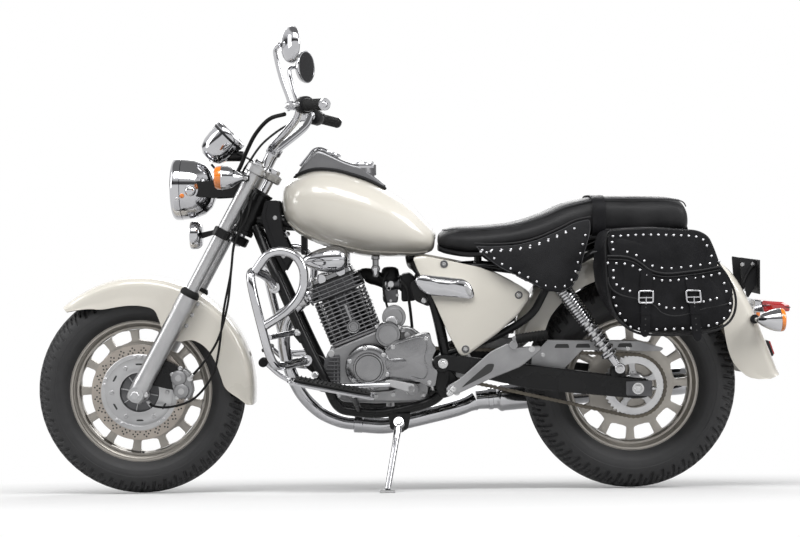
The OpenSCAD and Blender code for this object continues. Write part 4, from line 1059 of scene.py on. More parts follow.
@dataclass
class Fenders:
    """Both fenders with what they carry.

    Attributes:
        rear_line: the rear crown's points in X and Z.
        rear_drop: share of the rear crown's length and depth of its sides.
        front_edge: angle up from straight ahead and radius of the front sides' edge.
    """

    rear_line: Sequence[tuple[float, float]] = ((338, 455), (330, 500), (300, 565), (232, 636), (132, 690), (0, 716),
                                                (-100, 714), (-195, 692), (-278, 640), (-335, 553), (-378, 450),
                                                (-423, 338))
    rear_drop: Sequence[tuple[float, float]] = ((0, 80), (0.3, 84), (0.6, 88), (0.75, 92), (0.9, 120), (0.96, 104),
                                                (0.985, 78), (1.0, 36))
    front_edge: Sequence[tuple[float, float]] = ((49, 312), (53, 300), (60, 280), (70, 258), (92, 250), (101, 243),
                                                 (106, 220), (112, 192), (120, 184), (129, 188), (137, 218),
                                                 (149, 234), (169, 240), (179, 254), (187, 312))

    def build(self, shop: Workshop) -> None:
        """Makes both fenders, the tail lamp, the rear indicators and the number plate's bracket."""
        shop.piece("rear_mudguard", [(self._rear(), PEARL), (self._stay_bolts(), CHROME)], Body.CHASSIS,
                   "pearl_paint", ["rear_fender"], 50)
        shop.piece("front_mudguard", [(self._front(), PEARL), (self._front_bosses(), SATIN)], Body.STEERING,
                   "pearl_paint", ["front_fender"], 50)
        self._tail(shop)

    def _rear(self) -> Shape:
        """The rear fender, whose sides end in a rounded corner at its tail."""
        line = spline(np.insert(array(self.rear_line), 1, 0, axis=1), 10)
        length = np.concatenate([[0], np.cumsum(np.linalg.norm(np.diff(line, axis=0), axis=1))])
        drop = profile(length / length[-1], self.rear_drop)
        return swept(line, np.stack([arch_section(95, d, 4) for d in drop]))

    def _front(self) -> Shape:
        """The front fender, round the wheel, with skirts that reach down behind the fork."""
        turn = np.linspace(49, 187, 140)
        edge = profile(turn, self.front_edge)
        t = np.radians(turn)
        line = FRONT_AXLE + 332 * np.stack([np.cos(t), 0 * t, np.sin(t)], -1)
        return swept(line, np.stack([arch_section(66, 332 - e, 4) for e in edge]))

    def _front_bosses(self) -> Shape:
        """The bosses that bolt the front fender to the sliders, and the tabs on the fork."""
        p = fork(0, 0, 290)
        near = across(p[0], p[2], 65, 68.6, 9)
        heads = bolts([fork(-30, 67, 270), fork(-30, 67, 305), fork(-30, 67, 235)], (0, 1, 0), 5, 4)
        return near.paired() + heads.paired()

    def _stay_bolts(self) -> Shape:
        """Bolts along the rear fender's side under the seat rail."""
        heads = bolts([(205, 95.5, 630), (20, 95.5, 664)], (0, 1, 0), 7, 5)
        return heads.paired() + across(205, 630, 91, 108.6, 8).paired()

    def _tail(self, shop: Workshop) -> None:
        """Makes the lamps, the bracket and the reflector."""
        base = prism(rounded([(-346, 512), (-350, 549), (-372, 546), (-382, 511)], 5), -58, 58, 4)
        lens = pillow(rounded([(-374, 545.5), (-438, 540), (-455, 530), (-455, 513), (-382, 510.5)], 6), 0, 55, 50,
                      rings=5)
        seam = prism(rounded([(-372, 531), (-456.3, 524), (-456.3, 526), (-372, 533.5)], 1), -54.6, 54.6, 1)
        shop.piece("tail_light", [(base, CHROME), (lens.paired(), RED), (seam, MARKS_AND_OPENING_SHADE)], Body.CHASSIS, "red_lens",
                   ["tail_lamp"], 40)
        cup = [(0, 0), (4, 7), (14, 14.5), (26, 21.5), (40, 27.5), (54, 31.5), (62, 33), (66, 33), (67, 31.5)]
        glass = [(66, 31), (68, 32.6), (75, 32.6), (78, 30.5), (80, 24), (81, 0)]
        parts = [(lathe(cup, (-333, 150, 496), (-1, 0, 0), 56), CHROME), (lathe(glass, (-333, 150, 496), (-1, 0, 0),
                                                                                56), AMBER),
                 (rod((-342, 91, 496), (-342, 146, 496), 7), CHROME), (rod((-342, 96, 496), (-342, 103, 496), 13),
                                                                       BLACK_PLASTIC)]
        shop.piece("rear_signals", [(shape.paired(), finish) for shape, finish in parts], Body.CHASSIS, "chrome",
                   ["rear_indicators"], 40)
        wing = prism(rounded([(-311, 671), (-357, 663), (-357, 590), (-334, 553), (-328, 561), (-326, 588),
                              (-317, 589)], 4),
                     51, 54, 0.8)
        face = prism(rounded([(-357, 664), (-360, 664), (-360, 566), (-357, 566)], 0.8, 2), -90, 90, 0.6)
        rib = tube(spline([(-320, 54.5, 596), (-330, 56, 620), (-344, 56, 642), (-352, 55, 646)], 4), 4, 8)
        eyes = rounds([(-360.2, 70, 615), (-360.2, -70, 615)], (-1, 0, 0), [(0, 6), (0.8, 6), (0.9, 3.3), (0.1, 3.2)],
                      24)
        lugs = bolts([(-318, 54, 650), (-348, 54, 650)], (0, 1, 0), 4.5, 3)
        reflector = prism(rounded([(-384, 424), (-400, 428), (-415, 384), (-401, 377)], 4), -27, 27, 2)
        glow = prism(rounded([(-399, 424), (-405, 426), (-418, 388), (-413, 385)], 2), -23, 23, 1.5)
        shop.piece("plate_holder", [(wing.paired() + face + rib.paired(), BLACK_PLASTIC), (eyes + lugs.paired(), SATIN),
                                    (reflector, BLACK_PLASTIC), (glow, RED)], Body.CHASSIS, "black_plastic",
                   ["plate_bracket"], 35)


@dataclass
class Tank:
    """The fuel tank with its console and cap.

    Attributes:
        stations: rows of x, underside, top, share of the half width and squareness.
        half_width: half the tank's width.
    """

    stations: Sequence[tuple[float, ...]] = (
        (563, 728, 742, 0.10, 2), (570, 700, 760, 0.42, 2.1), (588, 690, 783, 0.58, 2.2), (627, 682, 824, 0.74, 2.3),
        (667, 682, 854, 0.85, 2.4), (707, 682, 877, 0.93, 2.5), (759, 684, 903, 0.98, 2.5), (808, 694, 920, 1, 2.5),
        (857, 706, 932, 0.99, 2.5), (910, 725, 934, 0.93, 2.4), (955, 748, 921, 0.8, 2.3), (985, 775, 903, 0.6, 2.2),
        (1000, 800, 885, 0.36, 2.1), (1006, 832, 858, 0.1, 2))
    half_width: float = 145.0

    def top(self, x: ArrayLike) -> Points:
        """Height of the tank's top at x."""
        return profile(x, [(s[0], s[2]) for s in self.stations])

    def build(self, shop: Workshop) -> None:
        """Makes the tank, the console and the cap."""
        rows = [(x, low, high, self.half_width * w, k) for x, low, high, w, k in self.stations]
        shell = loft(rows, self._section, 9)
        badge_bolts = bolts([(996, 38, 752)], (0.3, 1, 0), 6, 4).paired()
        shop.piece("petrol_tank", [(shell, PEARL), (self._seam(), PEARL), (badge_bolts, CHROME)], Body.CHASSIS,
                   "pearl_paint", ["fuel_tank"], 60)
        self._console(shop)
        self._cap(shop)

    @staticmethod
    def _section(width: float, height: float, power: float, x: float) -> Points:
        """A rounded box section with a tunnel for the backbone, whose roof rises forward with x."""
        o = oval(width, height, power, x, 96)
        roof = np.interp(x, [500, 700, 1100], [742, 772, 836])
        low = np.interp(x, [563, 627, 759, 857, 955, 1006], [728, 682, 684, 706, 748, 832])
        deep = 1 - ease(np.abs(o[:, 0]), 30, 37)
        under = (o[:, 1] < 0) * deep * np.clip(min(height * 1.5, roof - low), 0, None)
        return o + np.stack([0 * under, under], -1)

    def _seam(self) -> Shape:
        """The rolled seam that runs round the tank's lower edge."""
        table = [(x, low, high, self.half_width * w, k) for x, low, high, w, k in self.stations[1:-2]]
        x = np.linspace(585, 985, 60)
        s = profile(x, table)
        middle, half, width, k = (s[:, 0] + s[:, 1]) / 2, (s[:, 1] - s[:, 0]) / 2, s[:, 2], s[:, 3]
        a = np.radians(-52)
        y = width * np.cos(a) ** (2 / k) + 0.4
        z = middle - half * np.abs(np.sin(a)) ** (2 / k) - 0.4
        return tube(np.stack([x, y, z], -1), 2.2, 10, domed=True).paired()

    def _console(self, shop: Workshop) -> None:
        """The satin cover on the tank's top, its black trim, its window and the bright rings."""
        table = [(706, 884, 892, 20, 2.6), (716, 884, 900, 28, 3), (741, 893, 921, 35, 3.4), (776, 903, 949, 40, 4),
                 (800, 909, 955, 41.5, 4.5), (830, 914, 966, 42, 5), (865, 920, 984, 42, 5), (893, 922, 996, 42, 5),
                 (908, 922, 993, 41, 4.6), (928, 919, 974, 39, 4), (950, 914, 946, 34, 3.4), (964, 911, 924, 26, 3)]
        body = loft(table, lambda w, h, k, x: oval(w, h, k, x, 64), 6)
        x = np.linspace(708, 962, 50)
        trim = profile(x, [(r[0], r[3]) for r in table])
        strip = np.stack([x, trim + 1.0, self.top(x) + 4.5], -1)
        black = tube(strip, 4.6, 10, flat=1.0, domed=True).paired()
        front = tube(spline([(964, -26, 918), (968, -13, 917), (969, 0, 916.5), (968, 13, 917), (964, 26, 918)], 6),
                     4.6, 10,
                     domed=True)
        frame_line = tube(spline([(952, 18, 951), (930, 24, 977), (912, 26, 996), (890, 26, 999.5), (864, 25, 987),
                                  (846, 22, 976)], 6), 2.4, 8, domed=True).paired()
        ring = lathe([(0, 30), (5, 30), (7.5, 28), (7.5, 22), (4, 20), (0, 20)], (864, 0, 983), (-0.35, 0, 0.94), 56,
                     closed=True)
        dial = lathe([(3, 21), (4.5, 20), (4.8, 0)], (864, 0, 983), (-0.35, 0, 0.94), 48)
        seat = lathe([(0, 39), (6, 39), (8, 37), (8, 33.8), (0, 33.8)], (775, 0, 941), (0, 0, 1), 64, closed=True)
        skirt = lathe([(-20, 40), (4, 38.5)], (775, 0, 941), (0, 0, 1), 64)
        lug = block((733, -10, 920), (741.5, 10, 951), 1.5)
        shop.piece("tank_cover", [(body, CONSOLE), (black + front, BLACK_PLASTIC), (frame_line + ring + seat, CHROME),
                                  (dial, GLASS), (skirt + lug, CONSOLE)], Body.CHASSIS, "satin_alloy", ["tank_console"],
                   40)

    @staticmethod
    def _cap(shop: Workshop) -> None:
        """The cap: a domed lid with a knurled rim, a lock and its hinge."""
        lid = lathe([(0.6, 29), (0.8, 31.4), (3, 32), (8.6, 32), (11, 30.5), (12.4, 27), (13, 24), (14.6, 23.4),
                     (16.2, 21),
                     (17.2, 14), (17.3, 8.6), (16.3, 8.2), (16.3, 0)], (775, 0, 944), (0, 0, 1), 72)
        knurl = rod((32, 0, 3.4), (32, 0, 8.4), 0.9, 6, 0.3)
        a = 2 * np.pi * np.arange(60) / 60
        rows = np.stack([np.stack([np.cos(a), np.sin(a), 0 * a], -1), np.stack([-np.sin(a), np.cos(a), 0 * a], -1),
                         np.stack([0 * a, 0 * a, 1 + 0 * a], -1)], 1)
        ridges = knurl.copied(rows, np.repeat(array([[775.0, 0, 944]]), 60, 0))
        lock = lathe([(15.5, 7.6), (18, 7.4), (18.6, 6.4), (18.6, 0)], (775, 0, 944), (0, 0, 1), 32)
        # Painted shade: the key slot is a thin near-black strip standing in for the shade inside it.
        slot = block((774.2, -4, 962.4), (775.8, 4, 963.0), 0.2)
        hinge = across(743, 956.4, -10, 10, 3.5, 24)
        shop.piece("filler_cap", [(lid + hinge, CHROME), (ridges, CHROME), (lock, SATIN), (slot, MARKS_AND_OPENING_SHADE)], Body.CAP,
                   "chrome", ["fuel_cap"], 35)


@dataclass
class SidePanels:
    """The side covers with their bolts, and the bright scoops on them."""

    outline: Sequence[tuple[float, float]] = (
        (631, 684), (600, 688), (565, 681), (520, 672), (445, 655), (394, 636), (330, 602), (303, 583), (306, 560),
        (335, 520), (392, 469), (457, 423), (486, 403), (503, 409), (533, 467), (577, 570), (619, 650))

    def build(self, shop: Workshop) -> None:
        """Makes both sides' covers and scoops."""
        edge = spline(rounded(self.outline, 10, 3), 3, closed=True)
        panel = pillow(edge, 136, 14.0, 9.5, (470, 560), 16)
        low = [(543, 148.6, 665), (334, 147.3, 575), (485, 147.2, 424)]
        cups = rounds(low, (0, 1, 0), [(-2, 11), (0.6, 11), (1.6, 9.6), (1.6, 7.6), (0.4, 6.8), (-1.5, 6.6)], 32)
        heads = bolts(array(low) - [0, 1.2, 0], (0, 1, 0), 5, 4.2)
        shop.piece("side_panels", [(panel.paired(), PEARL), (cups.paired(), DARK_CAST), (heads.paired(), SATIN),
                                   (self._pegs().paired(), RUBBER)], Body.CHASSIS, "pearl_paint", ["side_covers"], 50)
        scoop_edge = rounded([(627, 622), (609, 637), (486, 622), (466, 603), (457, 575), (468, 565), (594, 579),
                              (617, 600)], 14, 6)
        scoop = pillow(scoop_edge, 150.3, 23.0, 9, (545, 602), 14)
        mouth = pillow(rounded([(473, 572), (464, 577), (471, 601), (486, 610), (492, 604), (483, 584)], 5, 4), 160,
                       8.5, 5,
                       rings=5)
        line = spline([(606, 166.5, 628), (560, 171.5, 622), (510, 169.5, 616), (488, 165.5, 613)], 5)
        crease = tube(line, 1.2, 8, domed=True)
        screw = bolts([(470, 159.5, 574)], (0, 1, 0), 4.5, 4)
        shop.piece("panel_scoops", [((scoop + crease).paired(), CHROME), (mouth.paired(), SATIN),
                                    (screw.paired(), CHROME)],
                   Body.CHASSIS, "chrome", ["side_scoops"], 60)

    @staticmethod
    def _pegs() -> Shape:
        """The pegs that hold a cover to the frame."""
        return across(474, 430.5, 129.4, 137, 6, 20) + across(590, 662, 110, 137, 6, 20)


# ---- Upholstery ----

@dataclass
class Upholstery:
    """Turns plain closed shapes into stuffed leather.

    Attributes:
        parking: the lean onto the stand.
        voxel: size of the remesh's cells in metres.
        frames: how many frames the cloth settles for.
    """

    parking: Parking
    voxel: float = 0.006
    frames: int = 16

    def stuffed(self, name: str, shape: Shape, pressure: float, cap: float) -> bpy.types.Object:
        """Inflates a shape as cloth.

        Args:
            name: the piece's name.
            shape: the slack shape.
            pressure: the cloth's inner pressure.
            cap: how far a point may move, in millimetres.

        Returns:
            The finished object, subdivided once.
        """
        mesh = bpy.data.meshes.new(name)
        mesh.from_pydata(self.parking.metres(shape.points).tolist(), [], [c for f in shape.faces for c in f.tolist()])
        Workshop.outwards(mesh)
        piece = bpy.data.objects.new(name, mesh)
        bpy.context.scene.collection.objects.link(piece)
        remesh = piece.modifiers.new("remesh", "REMESH")
        remesh.mode, remesh.voxel_size, remesh.use_smooth_shade = "VOXEL", self.voxel, True
        self._apply(piece)
        rest = self._read(piece)
        cloth = piece.modifiers.new("cloth", "CLOTH")
        settings = cloth.settings
        settings.quality, settings.mass = 5, 0.3
        settings.tension_stiffness = settings.compression_stiffness = 30
        settings.bending_stiffness = 4
        settings.use_pressure, settings.uniform_pressure_force = True, pressure
        settings.effector_weights.gravity = 0
        cloth.collision_settings.use_collision = False
        for number in range(1, self.frames + 1):
            bpy.context.scene.frame_set(number)
        self._apply(piece)
        bpy.context.scene.frame_set(1)
        moved = self._read(piece) - rest
        length = np.linalg.norm(moved, axis=1, keepdims=True)
        moved *= cap * MM * np.tanh(length / (cap * MM)) / np.maximum(length, 1e-9)
        piece.data.vertices.foreach_set("co", (rest + moved).ravel())
        smooth = piece.modifiers.new("smooth", "SMOOTH")
        smooth.factor, smooth.iterations = 0.5, 8
        finer = piece.modifiers.new("finer", "SUBSURF")
        finer.levels = finer.render_levels = 1
        self._apply(piece)
        piece.data.shade_smooth()
        log.info("%s: %d faces", name, len(piece.data.polygons))
        return piece

    @staticmethod
    def _apply(piece: bpy.types.Object) -> None:
        """Applies all of a piece's modifiers."""
        graph = bpy.context.evaluated_depsgraph_get()
        finished = bpy.data.meshes.new_from_object(piece.evaluated_get(graph))
        piece.modifiers.clear()
        piece.data = finished

    @staticmethod
    def _read(piece: bpy.types.Object) -> Points:
        """Returns a piece's vertices, one to a row."""
        flat = np.empty(3 * len(piece.data.vertices))
        piece.data.vertices.foreach_get("co", flat)
        return flat.reshape(-1, 3)

    def dressed(self, piece: bpy.types.Object, finish: Finish, body: Body, stands_for: Sequence[str]) -> None:
        """Gives a stuffed piece its leather, its body, and the CAD nodes that it replaces."""
        piece.data.materials.clear()
        piece.data.materials.append(finish.material())
        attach(piece, body.value)
        if stands_for:
            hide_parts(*stands_for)


def spaced(curve: Points, pitch: float) -> Points:
    """Points at equal distances along a curve."""
    length = np.concatenate([[0], np.cumsum(np.linalg.norm(np.diff(curve, axis=0), axis=1))])
    at = np.linspace(0, length[-1], max(int(round(length[-1] / pitch)), 1) + 1)
    return np.stack([np.interp(at, length, curve[:, k]) for k in range(curve.shape[1])], -1)


def smoothed(outline: ArrayLike, radius: float = 12.0) -> Points:
    """A rounded closed outline at an even pitch of about 6 mm."""
    o = rounded(outline, radius, 4)
    return spaced(np.concatenate([o, o[:1]]), 6.0)[:-1]


def studs(places: Points, axis: ArrayLike, radius: float = 4.0) -> Shape:
    """Domed chrome studs."""
    dome = [(-1.5, radius), (0.4, radius), (1.4, radius * 0.86), (2.3, radius * 0.6), (2.9, radius * 0.3), (3.0, 0)]
    return rounds(places, axis, dome, 14)


@dataclass
class Seat:
    """The rider's and the passenger's seat with its strap, its seams and the studded skirts.

    Attributes:
        stations: rows of x, underside, top, share of the half width and squareness.
        half_width: half the seat's width.
        skirt: outline of a skirt, as x and height over its hinge line.
    """

    stations: Sequence[tuple[float, ...]] = (
        (-157, 748, 786, 0.52, 2.6), (-150, 738, 822, 0.74, 3), (-120, 736, 844, 0.83, 3.4), (0, 729, 849, 0.86, 3.6),
        (100, 728, 849, 0.86, 3.6), (140, 725, 843, 0.87, 3.2), (200, 717, 829, 0.91, 2.8), (260, 707, 803, 0.96, 2.7),
        (330, 696, 781, 0.99, 2.7), (400, 687, 771, 0.97, 2.7), (470, 682, 767, 0.87, 2.8), (530, 691, 765, 0.69, 2.7),
        (556, 700, 755, 0.53, 2.5))
    half_width: float = 150.0
    skirt: Sequence[tuple[float, float]] = (
        (463, -13), (411, -15), (342, -12), (282, 2), (217, 30), (174, 52), (128, 62), (126, 30), (132, 4), (152, -60),
        (163, -102), (184, -140), (215, -155), (262, -151), (301, -131), (394, -81), (437, -45))

    def surface(self, x: ArrayLike, turn: ArrayLike, lift: float = 0.0) -> Points:
        """Points on the seat's left side: at x, and at an angle up from level round the section.

        They lie at w·cos(a)^(2/k) across and h·sin(a)^(2/k) over the section's middle, where w, h and k
        are its half width, half height and squareness.

        Args:
            x: distance along the machine.
            turn: angle in degrees, below zero under the middle.
            lift: how far off the surface.

        Returns:
            The points.
        """
        x = array(x)
        s = profile(x, self.stations)
        low, high, w, k = s[..., 0], s[..., 1], s[..., 2] * self.half_width, s[..., 3]
        a = np.radians(np.broadcast_to(array(turn), x.shape))
        c, n = np.abs(np.cos(a)) ** (2 / k), np.sign(np.sin(a)) * np.abs(np.sin(a)) ** (2 / k)
        return np.stack([x, (w + lift) * c, (low + high) / 2 + ((high - low) / 2 + lift) * n], -1)

    def build(self, shop: Workshop, upholstery: Upholstery) -> None:
        """Makes the seat and its skirts."""
        rows = [(x, low, high, self.half_width * w, k) for x, low, high, w, k in self.stations]
        pad = upholstery.stuffed("saddle", loft(rows, lambda w, h, k, x: self._pad(w, h, k, x), 3), 4.0, 5.0)
        upholstery.dressed(pad, VINYL, Body.CHASSIS, ["seat"])
        low_seam = tube(self.surface(np.linspace(-150, 548, 120), -38, 3.2), 2.4, 8, domed=True)
        x = np.linspace(-148, 540, 140)
        top_seam = tube(self.surface(x, 46, 3.4), 1.9, 8, domed=True)
        stitch = self._stitches(x[4:-4], 53, 3.0)
        a = np.linspace(-60, 240, 61)
        s = profile(array([104.0]), self.stations)[0]
        w, middle, h = s[2] * self.half_width + 4.4, (s[0] + s[1]) / 2, (s[1] - s[0]) / 2 + 4.4
        c, n = np.cos(np.radians(a)), np.sin(np.radians(a))
        band = np.stack([0 * a, w * np.sign(c) * np.abs(c) ** (2 / s[3]),
                         middle + h * np.sign(n) * np.abs(n) ** (2 / s[3])], -1)
        strap = self._strap(band)
        base = loft([(x, low - 1.5, low + 16, self.half_width * q * 0.93, 4.0) for x, low, _, q, _ in self.stations],
                    lambda w, h, k, x: oval(w, h, k, x, 40), 3)
        shop.piece("saddle_trim", [((low_seam + top_seam).paired(), THREAD), (stitch.paired(), THREAD),
                                   (strap, LEATHER),
                                   (base, BLACK_PLASTIC)], Body.CHASSIS, "leather", [], 40)
        self._skirts(shop, upholstery)

    @staticmethod
    def _pad(width: float, height: float, power: float, x: float) -> Points:
        """A section that pulls in towards its seams."""
        o = oval(width - 4, height - 3, power, x, 72)
        a = np.degrees(np.arctan2(o[:, 1] / height, np.abs(o[:, 0]) / width))
        pinch = 2.6 * np.exp(-((a - 46) / 7) ** 2) + 2.2 * np.exp(-((a + 38) / 8) ** 2)
        return o - unit(o) * pinch[:, None]

    def _stitches(self, x: Points, turn: float, lift: float) -> Shape:
        """Short threads along a line on the surface."""
        ends = self.surface(np.stack([x - 1.6, x + 1.6], -1), turn, lift)
        return merged([tube(np.stack([a, (a + b) / 2 + [0, 0.3, 0.3], b]), 0.7, 5) for a, b in ends])

    @staticmethod
    def _strap(band: Points) -> Shape:
        """The flat passenger strap across the seat, with two raised edges."""
        along = unit(np.gradient(band, axis=0))
        outward = np.cross(along, [1.0, 0, 0])
        outward *= np.sign(outward[30, 2])
        section = array([(-19, 0), (-19, 2.6), (-16, 3.4), (-13, 2.4), (13, 2.4), (16, 3.4), (19, 2.6), (19, 0)])
        points = (array([104.0, 0, 0]) + band[:, None] + section[None, :, :1] * array([1.0, 0, 0])
                  + (section[None, :, 1:] - 1.0) * outward[:, None])
        return grid(points, wrap_columns=True, caps=True)

    def _skirts(self, shop: Workshop, upholstery: Upholstery) -> None:
        """Two leather skirts that hang outwards from the seat's edge, with studs along their rims."""
        edge = smoothed(self.skirt, 14)
        place = array([0, self.half_width + 3.2, 730])
        def hung(shape: Shape) -> Shape:
            """Turns a flat shape out by 16° about the seat's edge."""
            return shape.turned((1, 0, 0), 16).moved(place)
        sheet = pillow(edge, 0, 6.2, 3.6, (290, -50), 12)
        wave = 1.6 * np.sin(sheet.points[:, 0] / 31) * np.clip(-sheet.points[:, 2] / 100, 0, 1)
        sheet = Shape(sheet.points + np.stack([0 * wave, wave * (sheet.points[:, 1] > 1), 0 * wave], -1), sheet.faces)
        rim = inset(edge, 15)
        rim = spaced(np.concatenate([rim, rim[:1]]), 27)[:-1]
        keep = rim[:, 1] < np.interp(rim[:, 0], [120, 217, 282, 342, 465], [30, 16, -14, -26, -28]) + 6
        spots = np.stack([rim[:, 0], np.full(len(rim), 4.6), rim[:, 1]], -1)[keep]
        second = spaced(array([(176.0, 30.0), (236, 0), (300, -24), (360, -32), (440, -34)]), 27)
        row = np.stack([second[:, 0], np.full(len(second), 5.2), second[:, 1]], -1)
        seam = np.insert(inset(edge, 5), 1, 4.1, axis=1)
        piping = tube(np.concatenate([seam, seam[:1]]), 0.8, 6)
        shine = studs(np.concatenate([spots, row]), (0, 1, 0))
        top = tube(spline([(455, 2, -10), (411, 2, -12), (342, 2, -9), (282, 2, 5), (217, 2, 33), (174, 2, 54),
                           (130, 2, 64)], 6), 3.2, 8, domed=True)
        thin = replace(upholstery, voxel=0.0035)
        for name, shape in (("skirt_left", hung(sheet)), ("skirt_right", hung(sheet).mirrored())):
            upholstery.dressed(thin.stuffed(name, shape, 1.5, 1.5), LEATHER, Body.CHASSIS, ["seat_skirts"])
        shop.piece("skirt_trim", [(hung(piping).paired(), THREAD), (hung(top).paired(), VINYL),
                                  (hung(shine).paired(), CHROME)],
                   Body.CHASSIS, "leather", [], 35)


@dataclass
class Saddlebags:
    """The pair of leather bags with flaps, studs, straps and buckles.

    Attributes:
        face: outline of the outer face.
        back: outline of the back, whose front edge shows as the side gusset.
        inner: distance of the back from the middle.
        outer: distance of the face from the middle.
    """

    face: Sequence[tuple[float, float]] = (
        (105, 753), (-14, 758), (-135, 750), (-164, 735), (-180, 697), (-193, 659), (-214, 632), (-234, 594),
                                           (-241, 562),
        (-237, 529), (-222, 503), (-191, 484), (-137, 474), (-62, 471), (14, 474), (45, 486), (79, 513), (98, 555),
        (105, 609), (108, 663), (110, 717))
    back: Sequence[tuple[float, float]] = (
        (116, 757), (0, 758), (-128, 748), (-160, 732), (-178, 695), (-192, 655), (-212, 628), (-228, 590), (-232, 560),
        (-228, 532), (-214, 510), (-186, 492), (-134, 480), (-60, 476), (20, 478), (60, 500), (98, 540), (124, 590),
        (134, 656), (128, 715))
    inner: float = 168.0
    outer: float = 308.0

    def build(self, shop: Workshop, upholstery: Upholstery) -> None:
        """Makes both bags and their dressing."""
        left = self._body()
        for name, shape, nodes in (("bag_left", left, ["saddlebags"]), ("bag_right", left.mirrored(), ["saddlebags"])):
            bag = upholstery.stuffed(name, shape, 3.0, 7.0)
            upholstery.dressed(bag, LEATHER, Body.CHASSIS, nodes)
        parts = self._dressing()
        shop.piece("bag_trim", [(shape.paired(), finish) for shape, finish in parts] + [(self._yoke(), LEATHER)],
                   Body.CHASSIS, "leather", [], 40)

    def _body(self) -> Shape:
        """The slack bag, lofted from its back to its face, pulled in at both seams."""
        n = 132
        def even(outline: ArrayLike) -> Points:
            """Returns the outline as n even points."""
            o = rounded(outline, 16, 4)
            loop = np.concatenate([o, o[:1]])
            length = np.concatenate([[0], np.cumsum(np.linalg.norm(np.diff(loop, axis=0), axis=1))])
            at = np.arange(n) * length[-1] / n
            return np.stack([np.interp(at, length, loop[:, k]) for k in (0, 1)], -1)
        back, face = even(self.back), even(self.face)
        middle = face.mean(0)
        rows = []
        for t, y, swell in ((0, 4, -30), (0, 0, -4), (0.08, 5, 1), (0.4, 50, 2), (0.75, 96, -1), (0.95, 132, -2),
                            (1, 140, -4),
                            (1, 142, -18), (1, 144.5, -50)):
            flat = back + t * (face - back)
            flat = flat + unit(flat - middle) * swell
            rows.append(np.stack([flat[:, 0], np.full(n, self.inner + 2 + y), flat[:, 1]], -1))
        return grid(np.stack(rows), wrap_columns=True, caps=True)

    def crown(self, flat: Points) -> Points:
        """How far the stuffed face stands out at points of its plane, highest in its middle."""
        reach = np.stack([(flat[:, 0] + 65) / 172, (flat[:, 1] - 615) / 145], -1)
        return self.outer + 5 + 6.5 * np.clip(1 - (np.abs(reach) ** 2.6).sum(-1), 0, None) ** 0.7

    def _raised(self, flat: ArrayLike, lift: float) -> Points:
        """Returns points of the face's plane carried onto the face, at a distance off it."""
        o = array(flat)
        return np.stack([o[:, 0], self.crown(o) + lift, o[:, 1]], -1)

    def _panel(self, outline: ArrayLike, low: float, high: float, rings: int = 9) -> Shape:
        """A leather panel that follows the face, between two distances off it."""
        o = smoothed(outline, 10)
        m = o.mean(0)
        shares = np.concatenate([[1.0, 1.0, 0.994], np.linspace(0.96, 0.03, rings)])
        lift = np.concatenate([[low, high - 0.8, high], np.full(rings, high)])
        points = np.stack([self._raised(m + t * (o - m), h) for t, h in zip(shares, lift)])
        return grid(points, wrap_columns=True, caps=True)

    def _dressing(self) -> list[tuple[Shape, Finish]]:
        """The flap and its two layers, piping, seams, studs, straps and buckles of the left bag."""
        upper = [(100, 754), (-14, 759), (-134, 751), (-163, 736), (-179, 697), (-192, 658), (-150, 648), (-107, 643),
                 (-64, 639),
                 (-31, 641), (-4, 650), (17, 666), (38, 679), (65, 686), (99, 687), (107, 720)]
        lid = [(104, 690), (65, 689), (38, 680), (17, 666), (-4, 650), (-31, 640), (-64, 638), (-107, 642), (-150, 648),
               (-192, 657), (-212, 630), (-229, 596), (-229, 578), (-217, 555), (-192, 548), (-149, 540), (-105, 526),
               (-68, 522), (-38, 531), (-14, 553), (23, 568), (66, 578), (93, 594), (103, 618), (106, 655)]
        loop = smoothed(self.face, 14)
        rim = self._raised(inset(loop, -1.0), -7.0)
        piping = tube(np.concatenate([rim, rim[:1]]), 3.4, 10)
        s_curve = [(106, 687), (65, 685), (38, 678), (17, 665), (-4, 649), (-31, 640), (-64, 638), (-107, 642),
                   (-150, 647),
                   (-193, 655)]
        seam = spline(s_curve, 6)
        bead = tube(self._raised(seam, 4.2), 3.2, 8, domed=True) + tube(self._raised(seam - [0, 9], 3.6), 1.6, 8,
                                                                        domed=True)
        lid_line = spline([(106, 628), (104, 612), (93, 594), (66, 579), (23, 569), (-14, 554), (-38, 532), (-68, 523),
                           (-105, 527),
                           (-149, 541), (-192, 549), (-217, 556), (-229, 580)], 6)
        lid_bead = tube(self._raised(lid_line, 1.8), 2.2, 8, domed=True)
        rows = [(spline([(92, 740), (0, 743), (-120, 738), (-150, 728)], 4), 21),
                (seam[8:] + [0, 14], 25), (seam + [0, -19], 23),
                (spline([(-160, 712), (-172, 684)], 4), 22), (spline([(95, 724), (92, 704)], 3), 20),
                (spline([(-206, 610), (-212, 588)], 3), 21), (spline([(92, 648), (90, 622), (76, 602), (48, 592)], 4),
                                                              21),
                (spline([(-150, 561), (-186, 570)], 3), 22), (spline([(-30, 555), (-52, 545), (-92, 545)], 4), 21),
                (spline([(-206, 515), (-178, 499), (-100, 489), (30, 490), (58, 510), (80, 540), (91, 575)], 5), 24),
                (spline([(-222, 555), (-222, 535)], 3), 20)]
        spots = np.concatenate([self._raised(spaced(curve, pitch), 3.0) for curve, pitch in rows])
        parts = [(self._panel(upper, -4, 3.4), LEATHER), (self._panel(lid, -4, 2.2), LEATHER),
                 (piping + bead + lid_bead, VINYL),
                 (studs(spots, (0, 1, 0), 3.9), CHROME)]
        for x, slope, top, low in ((6, 0.02, 655, 466), (-122, -0.10, 632, 453)):
            parts += self._strapped(x, slope, top, low)
        gusset = tube(spline([(112, self.inner + 60, 700), (136, self.inner + 62, 694), (142, self.inner + 60, 690)],
                             4), 2, 8)
        fold = np.insert(rounded(self.back, 16, 4)[4:70], 1, self.inner + 74, axis=1)
        welt = tube(spaced(fold, 8), 2.0, 8, domed=True)
